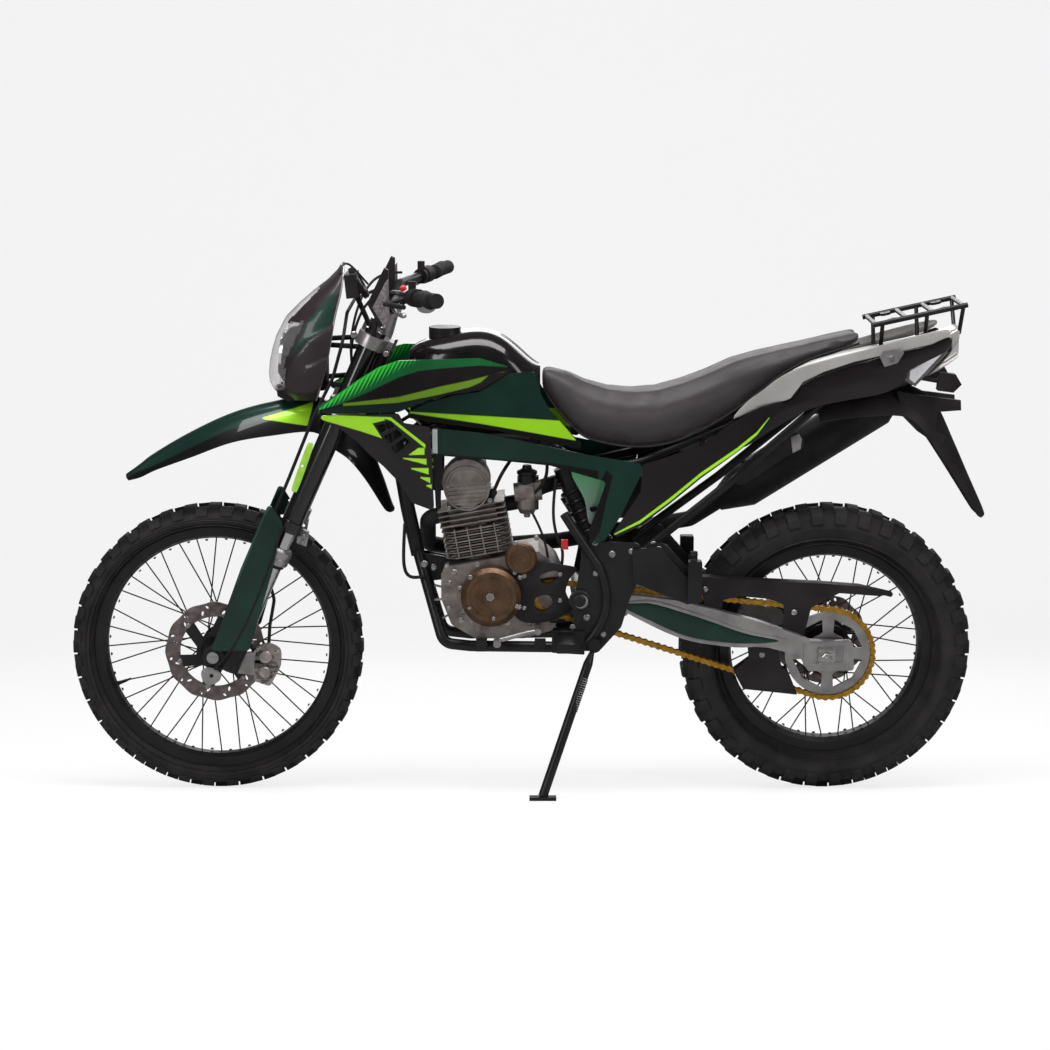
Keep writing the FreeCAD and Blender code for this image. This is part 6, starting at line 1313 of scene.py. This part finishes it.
def arched_guard(name, rows, material, body, node, ridge):
    """An arched strip over rows of crown pixel, edge pixel and half width, with a raised ridge."""
    corners, faces = [], []
    rows = smooth_line(rows, closed=False)
    for px, crown, edge_px, edge, half in rows:
        for step in range(GUARD_STEPS + 1):
            share = 2 * step / GUARD_STEPS - 1
            drop = abs(share) ** 2.2
            raised = ridge * max(0.0, 1 - (abs(share) / 0.34) ** 6)
            spot = flat(px + (edge_px - px) * drop, crown + (edge - crown) * drop - raised)
            corners.append(PARK @ Vector((spot.x, -share * half * MM, spot.z)))
    for row in range(len(rows) - 1):
        for step in range(GUARD_STEPS):
            first = row * (GUARD_STEPS + 1) + step
            faces.append((first, first + 1, first + GUARD_STEPS + 2, first + GUARD_STEPS + 1))
    item = piece(name, corners, faces, material, body)
    if sum(face.normal.z for face in item.data.polygons) < 0:
        item.data.flip_normals()
    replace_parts(walled(item, 3.2 * MM, 40), node)


arched_guard("front_mudguard", [(128, 472.5, 131, 474.5, 26), (140, 464, 144, 470.5, 40),
    (156, 452, 161, 462, 52), (190, 432, 196, 449, 62), (230, 413, 236, 434, 70),
    (270, 401, 276, 427, 70), (318, 394, 318, 424, 66), (344, 414, 336, 440, 62),
    (369, 441, 352, 452, 58), (382, 470, 368, 472, 54), (392, 500, 386, 502, 40),
    (395, 507, 391, 508, 20)], fender_paint, "steering", "front_fender", ridge=2.2)
arched_guard("rear_mudguard_strip", [(812, 394, 814, 414, 66), (850, 387, 850, 409, 64),
    (893, 381, 893, 408, 62), (918, 388, 910, 416, 60), (934, 404, 925, 434, 58),
    (950, 437, 940, 456, 54), (966, 472, 957, 482, 48), (980, 502, 973, 507, 38),
    (983.5, 511, 979, 513, 24)], moulded_black, "chassis", "rear_mudguard", ridge=1.2)

# %% [markdown]
# The tail is two mouldings: a silver wedge that runs back from under the saddle, and a black one below
# it that closes the gap to the side panel. A triangular red lamp with a clear cover sits at the end.

# %% Tail panels, plate bracket and muffler shield
SILVER_WEDGE = [(731.7, 408.3), (744, 392), (760, 380), (775, 368), (793.3, 358.3), (820, 350),
    (860, 339.3), (900, 328), (926.7, 321.7), (943, 319.3), (942, 326), (920, 335.5), (893, 341.7),
    (860, 351.5), (826.7, 361.7), (800, 373.3), (791, 386.7), (760, 396)]
BLACK_WEDGE = [(712, 430), (731, 409), (760, 397), (791, 387), (800, 374), (826, 362.5), (893, 342.5),
    (920, 336.5), (942, 327), (946, 333), (938, 343), (905, 360), (900, 372), (880, 383), (850, 389),
    (812, 397), (790, 408), (770, 420), (745, 436), (722, 441)]
cutout("tail_wedge_silver", [smooth_line(SILVER_WEDGE, 3)], 0.104, 9, 3, tail_paint, "chassis",
    both=True)
cutout("tail_wedge_black", [smooth_line(BLACK_WEDGE, 3)], 0.100, 9, 3, side_paint, "chassis", both=True)
cutout("tail_lamp_cover", [[(903, 361), (940, 340.5), (943, 343), (911, 377), (902, 372)]], 0.086, 8,
    1.5, clear_lens, "chassis", both=True)
cutout("tail_lamp_mirror", [[(905.5, 361.5), (938, 343), (910, 374), (905, 370)]], 0.079, 2, 0.5,
    mirror_coat, "chassis", both=True)
cutout("plate_bracket", [[(893, 384), (915, 388), (956.7, 393.3), (957.3, 403.3), (934, 405),
    (931.7, 423.3), (943.3, 430), (938, 440), (914, 424), (900, 410)]], 0.05, 12, 1.5, moulded_black,
    "chassis", both=True)
cutout("seat_lock_bracket", [[(875, 346), (879, 340), (897, 336.5), (899, 342), (893, 352), (880, 356)],
    circle(886.5, 347, 6)], 0.109, 6, 1.2, satin_silver, "chassis")
lathed("seat_lock", at(886.5, 347, 0.108), LEFT, [(-2, 5.4), (2, 5.4), (2.6, 4.6), (2.2, 0)],
    ground_steel, "chassis", 24)
muffler_side = skin("muffler", 765, 450, 0.0)
print("muffler skin", round(muffler_side, 3))
cutout("muffler_shield", [smooth_line([(733, 476), (737, 463), (786, 432), (796, 428), (801, 434),
    (800, 446), (786, 452), (748, 478), (738, 481)], 4)], muffler_side + 8 * MM, 5, 1.5, heat_black,
    "chassis")
cutout("muffler_shield_end", [[(789, 433), (797, 429.5), (800, 435), (799, 445), (791, 449)]],
    muffler_side + 10 * MM, 4, 1, satin_silver, "chassis")

# %% [markdown]
# The swingarm is a pressed alloy box with a painted inlay; at its end a slotted block lets the axle slide
# for chain tension, with a big washer and nut. The frame cover's opening holds a tinted inlay.

# %% Swingarm inlay, axle block and frame inlays
arm_side = max(skin("swingarm", 690, 612, 0.1), 0.09)
axle_side = skin("swingarm", 829, 648, 0.1)
print("swingarm skins", round(arm_side, 3), round(axle_side, 3))
INLAY = [(622.4, 597), (640, 594.5), (657.6, 596), (704.7, 610.8), (745.9, 625.5), (781.2, 633.4),
    (750, 636), (722.4, 634.4), (687, 628), (651.8, 612.5)]
inlay_paint = lacquered("lacquered_green_inlay", DEEP_GREEN, [])
cutout("swingarm_inlay", [smooth_line(INLAY, 4)], arm_side + 1.4 * MM, 3, 0.8, inlay_paint, "chassis")
cutout("swingarm_inlay_rim", [smooth_line([(618, 597), (640, 591.5), (659, 592.5), (706, 607),
    (747, 622), (792, 633), (752, 640), (722, 638.5), (686, 632), (650, 616.5)], 4),
    smooth_line(INLAY, 4)[::-1]], arm_side + 2.4 * MM, 4, 1, satin_silver, "chassis")
cutout("axle_block", [[(806, 636), (852, 632), (853, 662), (812, 665), (806, 658)],
    [(816, 641), (846, 639), (846, 655), (816, 657)]], axle_side + 3 * MM, 8, 1.2, satin_silver,
    "chassis")
cutout("axle_washer", [[(821, 640), (838.5, 639), (838.5, 657), (821, 658)]], axle_side + 7 * MM, 4,
    0.8, ground_steel, "chassis")
lathed("axle_nut", at(829.5, 650, axle_side + 6 * MM), LEFT, [(0, 13), (10, 13), (12, 10), (12, 7),
    (15, 7), (16, 5), (16, 0)], ground_steel, "chassis", 6, 20)
inlay_tint = finish("tinted_green_acrylic", IOR=1.49, Coat_Weight=0.7, Coat_Roughness=0.03)
tint_tree = inlay_tint.node_tree
tint_down = side_view(tint_tree)[1]
weather(inlay_tint, None, None, 60, (0.12, 0.2), 30, 0.01,
    colour=blend_colours(tint_tree, spread(tint_tree, tint_down, 0, 1, 462, 512), "#2f7a4c", "#6d7a76"))
cutout("frame_cover_inlay", [smooth_line([(571, 463), (590, 463), (604, 466), (608, 475), (603, 495),
    (593, 514), (588, 512), (584, 490)], 4)], 0.088, 5, 1.5, inlay_tint, "chassis", both=True)
plate_side = skin("frame_plates", 615, 560, 0.1)
print("frame plate skin", round(plate_side, 3))
cutout("passenger_peg_bracket", [[(630, 541), (660, 531), (668, 535), (702, 574), (706, 582),
    (700, 586), (664, 580), (634, 572)], [(657, 547), (664, 545), (686, 572), (650, 566)]],
    plate_side - 2 * MM, 9, 2, powder_black, "chassis", both=True)
peg_side = plate_side + 8 * MM
tube("folded_peg_left", [at(694, 583, peg_side), at(694, 540, peg_side)], 9, grip_rubber, "chassis",
    smooth=False)
for number, py in enumerate(range(543, 583, 5)):
    lathe_ring(f"folded_peg_ring_{number}", at(694, py, peg_side), aim(0, 0, 1),
        [(-2, 8.6), (0, 10.4), (2, 8.6)], grip_rubber, "chassis", 24)
side_bolts("frame_bolts", ((659, 538, 0, 5.5), (637, 566, 0, 5.5), (595, 531.5, 0, 5.5),
    (596, 563, 0, 5), (573, 618, 0, 5), (637, 547, 0, 4)), plate_side + 3 * MM, "chassis")
lathed("pivot_nut", at(580, 590.5, plate_side + 2 * MM), LEFT, [(0, 25), (3, 25), (5, 22), (5, 14),
    (10, 14), (12, 11), (12, 0)], powder_black, "chassis", 48)

# %% [markdown]
# The fork: a split silver clamp closes the bottom of each outer tube, a printed capsule runs along the
# tube, and a forged caliper with two pistons straddles the disc behind the leg.

# %% Fork clamps, capsule, caliper and sensor plate
fork_axis = aim(0.41, 0, 0.912)
FORK_FOOT_X, FORK_FOOT_Z = -0.6817 + 0.41 * 0.262, 0.328 + 0.912 * 0.262
for name, side in (("left", 0.098), ("right", -0.098)):
    foot = at(*plane_px(FORK_FOOT_X, FORK_FOOT_Z, side), side)
    lathed(f"fork_clamp_{name}", foot, fork_axis, [(0, 20.5), (0, 28.5), (3, 30.5), (14, 30.5),
        (17, 29), (20, 30.5), (34, 30.5), (38, 27.5), (40, 25.5), (40, 20.5)], satin_silver, "steering",
        40)
    lathed(f"fork_wiper_{name}", foot, -fork_axis, [(0, 20.5), (0, 26.2), (7, 24.5), (9, 21.2)],
        grip_rubber, "steering", 36)
    cutout(f"fork_clamp_lug_{name}", [[(299, 519), (309, 523), (306, 538), (296, 534)]], side, 18, 2,
        satin_silver, "steering")
side_bolts("fork_bolts", [(303.5, 526.5, 0, 4.2), (302, 533, 0, 4.2)], 0.108, "steering")
CAPSULE = smooth_line([(311.5, 431), (314, 436), (299.5, 476), (295, 480), (293, 475), (307.5, 435)], 4)
capsule_ink = weather(finish("printed_vinyl_film", IOR=1.45, Coat_Weight=0.4), "#7fae2a", "#94c63a", 20,
    (0.3, 0.4), 8, 0.01)
cutout("fork_capsule", [CAPSULE, circle(303.5, 454, 3)], 0.1232, 1.2, 0.3, capsule_ink, "steering")
caliper_side = skin("front_caliper", 264, 660, 0.08)
print("caliper skin", round(caliper_side, 3))
caliper_cast = weather(finish("anodised_caliper_casting", Metallic=0.75), "#857b79", "#b0a6a4", 18,
    (0.34, 0.5), 3, 0.1)
CALIPER = smooth_line([(252, 649), (257, 641), (267, 638), (277, 643), (279, 652), (277, 664),
    (270, 675), (260, 681), (252, 674), (250, 662)], 4)
cutout("caliper_bridge", [CALIPER], caliper_side + 5 * MM, 9, 2.5, caliper_cast, "steering")
for number, (px, py, radius) in enumerate(((263, 652, 15), (262, 668, 14))):
    lathed(f"caliper_piston_{number}", at(px, py, caliper_side + 4 * MM), LEFT,
        [(0, radius), (6, radius), (8, radius - 2), (8, radius - 6), (6.5, radius - 7), (6.5, 0)],
        caliper_cast, "steering", 32)
side_bolts("caliper_bolts", [(256, 644, 0, 4.6), (274, 648, 0, 4.6), (255, 676, 0, 4.6)],
    caliper_side + 6 * MM, "steering")
cutout("wheel_sensor_plate", [smooth_line([(198, 664), (206, 660), (217, 666), (216, 674), (206, 679),
    (199, 674)], 3), circle(208, 669, 5)], 0.128, 4, 1, satin_silver, "steering")
cable("wheel_sensor_lead", [(211, 662, 0.13), (222, 650, 0.132), (238, 628, 0.13), (262, 575, 0.135),
    (283, 515, 0.135)], 2.4, "steering")

# %% [markdown]
# Between the engine and the airbox sit the carburettor with its float bowl, rubber hoses and wiring with
# one red plug. They are small dark shapes, but without them one sees straight through the machine.

# %% Carburettor, hoses and wiring
CARB_SIDE = 0.03
lathed("carburettor_body", at(527, 486, CARB_SIDE), aim(1, 0, 0.12), [(-30, 19), (-30, 23), (-18, 23),
    (-18, 28), (16, 28), (18, 24), (34, 24), (34, 20)], cast_silver, "chassis", 32)
lathed("carburettor_top", at(527, 480, CARB_SIDE), aim(0, 0, 1), [(0, 21), (26, 21), (28, 24), (34, 24),
    (40, 12), (48, 10), (50, 0)], powder_black, "chassis", 28)
lathed("float_bowl", at(527, 490, CARB_SIDE), aim(0, 0, -1), [(0, 24), (30, 24), (34, 21), (42, 17),
    (44, 8), (52, 7), (53, 0)], cast_silver, "chassis", 28)
cable("fuel_hose", [(545, 440, 0.05), (549, 462, 0.06), (541, 480, 0.06), (534, 487, 0.05)], 4,
    "chassis")
cable("breather_hose", [(405, 517, 0.055), (403, 545, 0.06), (404, 566, 0.062), (412, 573, 0.062),
    (421, 571, 0.06)], 4, "chassis")
cable("overflow_hose", [(531, 505, 0.04), (540, 520, 0.06), (548, 545, 0.075), (549, 562, 0.07)], 3,
    "chassis")
cable("loom_rear", [(556, 470, 0.075), (552, 500, 0.08), (556, 528, 0.085), (565, 545, 0.085),
    (560, 566, 0.085)], 3.6, "chassis")
cable("spark_lead", [(512, 452, 0.04), (505, 460, 0.07), (498, 473, 0.07), (494, 484, 0.06)], 4.2,
    "chassis")
lathed("plug_cap", at(494, 484, 0.06), (at(487, 497, 0.055) - at(494, 484, 0.06)),
    [(-4, 6), (0, 9), (18, 9), (22, 7), (30, 6.5), (31, 0)], grip_rubber, "chassis", 20)
cutout("red_connector", [[(561, 531), (568, 531), (568.5, 541), (561.5, 541)]], 0.095, 8, 1, stop_red,
    "chassis")
stand_side = skin("side_stand", 583, 680, 0.12)
print("stand skin", round(stand_side, 3))
spring_side = stand_side + 7 * MM
coil("stand_spring", at(586, 668, spring_side), at(575, 702, spring_side), 6, 1.5, 15, ground_steel,
    "side_stand")

# %% [markdown]
# Cables loop forward from the bar and dive beside the headstock. They ride on the steering down to the
# lower clamp, where they are clipped, so nothing tears when the bar turns.

# %% Lever blades, cables and instruments
lever("clutch_lever", 1)
lever("brake_lever", -1)
cable("clutch_cable", [(404, 279, 0.2), (388, 276, 0.17), (369, 290, 0.13), (357, 318, 0.1),
    (352, 350, 0.085), (357, 378, 0.075)], 3.2, "steering")
cable("throttle_cable", [(404, 283, -0.2), (384, 280, -0.16), (366, 296, -0.11), (356, 322, -0.06),
    (352, 352, -0.03), (356, 378, -0.01)], 3.2, "steering")
cable("switch_loom", [(409, 284, 0.2), (396, 296, 0.15), (384, 306, 0.09), (372, 318, 0.06),
    (360, 340, 0.07), (350, 366, 0.07)], 4.2, "steering")
side_bolts("clamp_bolts", [(356.5, 322.5, 0.128, 6), (388, 342, 0.122, 5), (384, 322, 0.055, 4)], 0,
    "steering")
dial_glass = weather(finish("dial_window_acrylic", IOR=1.49, Coat_Weight=0.8, Coat_Roughness=0.03),
    "#15181a", "#20262a", 30, (0.08, 0.16), 20, 0.01)
dial_place, dial_aim = at(362, 280, 0.0), aim(0.87, 0, 0.5)
lathed("dial_ring", dial_place, dial_aim, [(-6, 40), (4, 40), (7, 37), (6, 33), (2, 32)], powder_black,
    "steering", 48)
lathed("dial_window", dial_place, dial_aim, [(0, 33.5), (3, 33), (4, 20), (4.5, 0)], dial_glass,
    "steering", 48)

# %% [markdown]
# Each leaf-shaped indicator has a smoked face set in its black housing.

# %% Indicator faces
indicator_lens = weather(finish("smoked_indicator_acrylic", IOR=1.49, Coat_Weight=0.5,
    Coat_Roughness=0.06), "#433c3f", "#7b7377", 7, (0.22, 0.36), 2.5, 0.2)
leaf_side = skin("front_indicators", 384, 292, 0.2)
print("indicator skin", round(leaf_side, 3))
cutout("front_indicator_faces", [[(388, 266), (391, 262), (392, 304), (386, 309), (375, 291)]],
    leaf_side + 1 * MM, 3, 0.8, indicator_lens, "steering", both=True)

# %% [markdown]
# The saddle's cover is folded over its base and ends in a rolled edge, which reads as a thin dark line
# along the lower side. The main frame tube runs down over the pivot plate, and the crankcase has cast
# ribs that lead the bearing loads outward.

# %% Saddle edge, frame tubes and crankcase ribs
for name, hand in (("left", 1), ("right", -1)):
    edge_line = []
    for px, top, bottom, half in SEAT_STATIONS:
        spot = flat(px, bottom - 2.5, 0.4 * half * MM)
        edge_line.append(PARK @ Vector((spot.x, hand * -0.86 * half * MM, spot.z)))
    tube(f"saddle_edge_{name}", edge_line, 2.6, grip_rubber, "chassis")
    frame_side = (plate_side + 2 * MM) * hand
    tube(f"frame_main_tube_{name}", [at(px, py, frame_side) for px, py in ((564, 502), (577, 523),
        (590, 542), (603, 562), (608, 590), (602, 618), (584, 640))], 11, powder_black, "chassis")
case_side = skin("crankcase", 448, 590, 0.1)
print("crankcase skin", round(case_side, 3))
for number, (ax, ay, bx, by) in enumerate(((441, 566, 462, 577), (434, 578, 459, 584),
        (434, 593, 459, 592), (442, 612, 464, 600), (480, 624, 484, 612), (500, 622, 497, 612))):
    run = math.hypot(bx - ax, by - ay)
    nx, ny = -(by - ay) / run * 0.9, (bx - ax) / run * 0.9
    cutout(f"crankcase_rib_{number}", [[(ax + nx, ay + ny), (bx + nx, by + ny), (bx - nx, by - ny),
        (ax - nx, ay - ny)]], case_side + 3 * MM, 8, 0.8, cast_silver, "chassis")

# %% [markdown]
# The studio: a pale floor that curves up into a backdrop, a big soft light overhead, one at each side,
# one behind, and a white room. Seen by the camera the backdrop is lifted towards white; the object isn't.

# %% Floor and backdrop
FLOOR_REACH, WALL_Y, WALL_TOP, BEND = 60, 6.5, 30, 2.5
PAPER, PAPER_IN_REFLECTIONS, PAPER_LIFT = (0.9, 0.9, 0.9, 1), (0.3, 0.3, 0.3, 1), 0.78


def backdrop():
    """A floor that turns up into a wall far behind the machine."""
    profile = [(-FLOOR_REACH, 0)] + [(WALL_Y - BEND + BEND * math.sin(a), BEND - BEND * math.cos(a))
        for a in (math.pi / 2 * k / 16 for k in range(17))] + [(WALL_Y, WALL_TOP)]
    corners = [(x, y, z) for y, z in profile for x in (-FLOOR_REACH, FLOOR_REACH)]
    faces = [(2 * k, 2 * k + 1, 2 * k + 3, 2 * k + 2) for k in range(len(profile) - 1)]
    data = bpy.data.meshes.new("studio_floor")
    data.from_pydata(corners, [], faces)
    data.shade_smooth()
    material = finish("studio_paper", Roughness=0.9)
    tree = material.node_tree
    shader = tree.nodes["Principled BSDF"]
    rays = add(tree, "ShaderNodeLightPath").outputs
    seen = maths(tree, "MAXIMUM", rays["Is Camera Ray"], rays["Is Transmission Ray"])
    paper = add(tree, "ShaderNodeMix", {0: rays["Is Glossy Ray"], 6: PAPER, 7: PAPER_IN_REFLECTIONS},
        data_type="RGBA")
    tree.links.new(paper.outputs[2], shader.inputs["Base Color"])
    glow = add(tree, "ShaderNodeEmission", {"Color": (1, 1, 1, 1), "Strength": 1.0})
    amount = maths(tree, "MULTIPLY", seen, PAPER_LIFT)
    mixed = add(tree, "ShaderNodeMixShader", {0: amount, 1: shader.outputs[0], 2: glow.outputs[0]})
    tree.links.new(mixed.outputs[0], tree.nodes["Material Output"].inputs["Surface"])
    data.materials.append(material)
    shown("studio_floor", data)


backdrop()
print("floor and wall reach", FLOOR_REACH, "metres")

# %% [markdown]
# A shiny panel shows the lamps as bright bands, so the lamps are wide, few and gentle. The world round
# them is a touch darker in reflections, which keeps the blacks deep.

# %% Lights
def soft_light(name, place, target, width, height, power):
    """A rectangular softbox that faces its target."""
    data = bpy.data.lights.new(name, "AREA")
    data.shape = "RECTANGLE"
    data.size, data.size_y = width, height
    data.energy = power
    item = shown(name, data)
    item.location = place
    item.rotation_euler = (Vector(target) - Vector(place)).to_track_quat("-Z", "Y").to_euler()


soft_light("overhead", (0, -0.9, 3.2), (0, 0, 0.5), 3.6, 1.2, 115)
soft_light("front_fill", (-3.0, -3.4, 1.8), (0, 0, 0.6), 1.0, 2.2, 45)
soft_light("rear_fill", (3.4, -3.2, 2.0), (0.2, 0, 0.6), 1.0, 2.2, 38)
soft_light("back_rim", (0.5, 3.2, 2.6), (0, 0, 0.8), 3.5, 1.5, 45)
ROOM_LIGHT, SEEN_LIFT, GLOSSY_DIM = 0.4, 0.6, 0.3
world = bpy.data.worlds.new("white_room")
bpy.context.scene.world = world
world.use_nodes = True
world_tree = world.node_tree
room = world_tree.nodes["Background"]
room.inputs["Color"].default_value = (1, 1, 1, 1)
world_rays = add(world_tree, "ShaderNodeLightPath").outputs
world_seen = maths(world_tree, "MAXIMUM", world_rays["Is Camera Ray"],
    world_rays["Is Transmission Ray"])
world_dim = maths(world_tree, "MULTIPLY", world_rays["Is Glossy Ray"], -GLOSSY_DIM)
world_lift = maths(world_tree, "MULTIPLY", world_seen, SEEN_LIFT)
strength = maths(world_tree, "ADD", maths(world_tree, "ADD", ROOM_LIGHT, world_lift), world_dim)
world_tree.links.new(strength, room.inputs["Strength"])
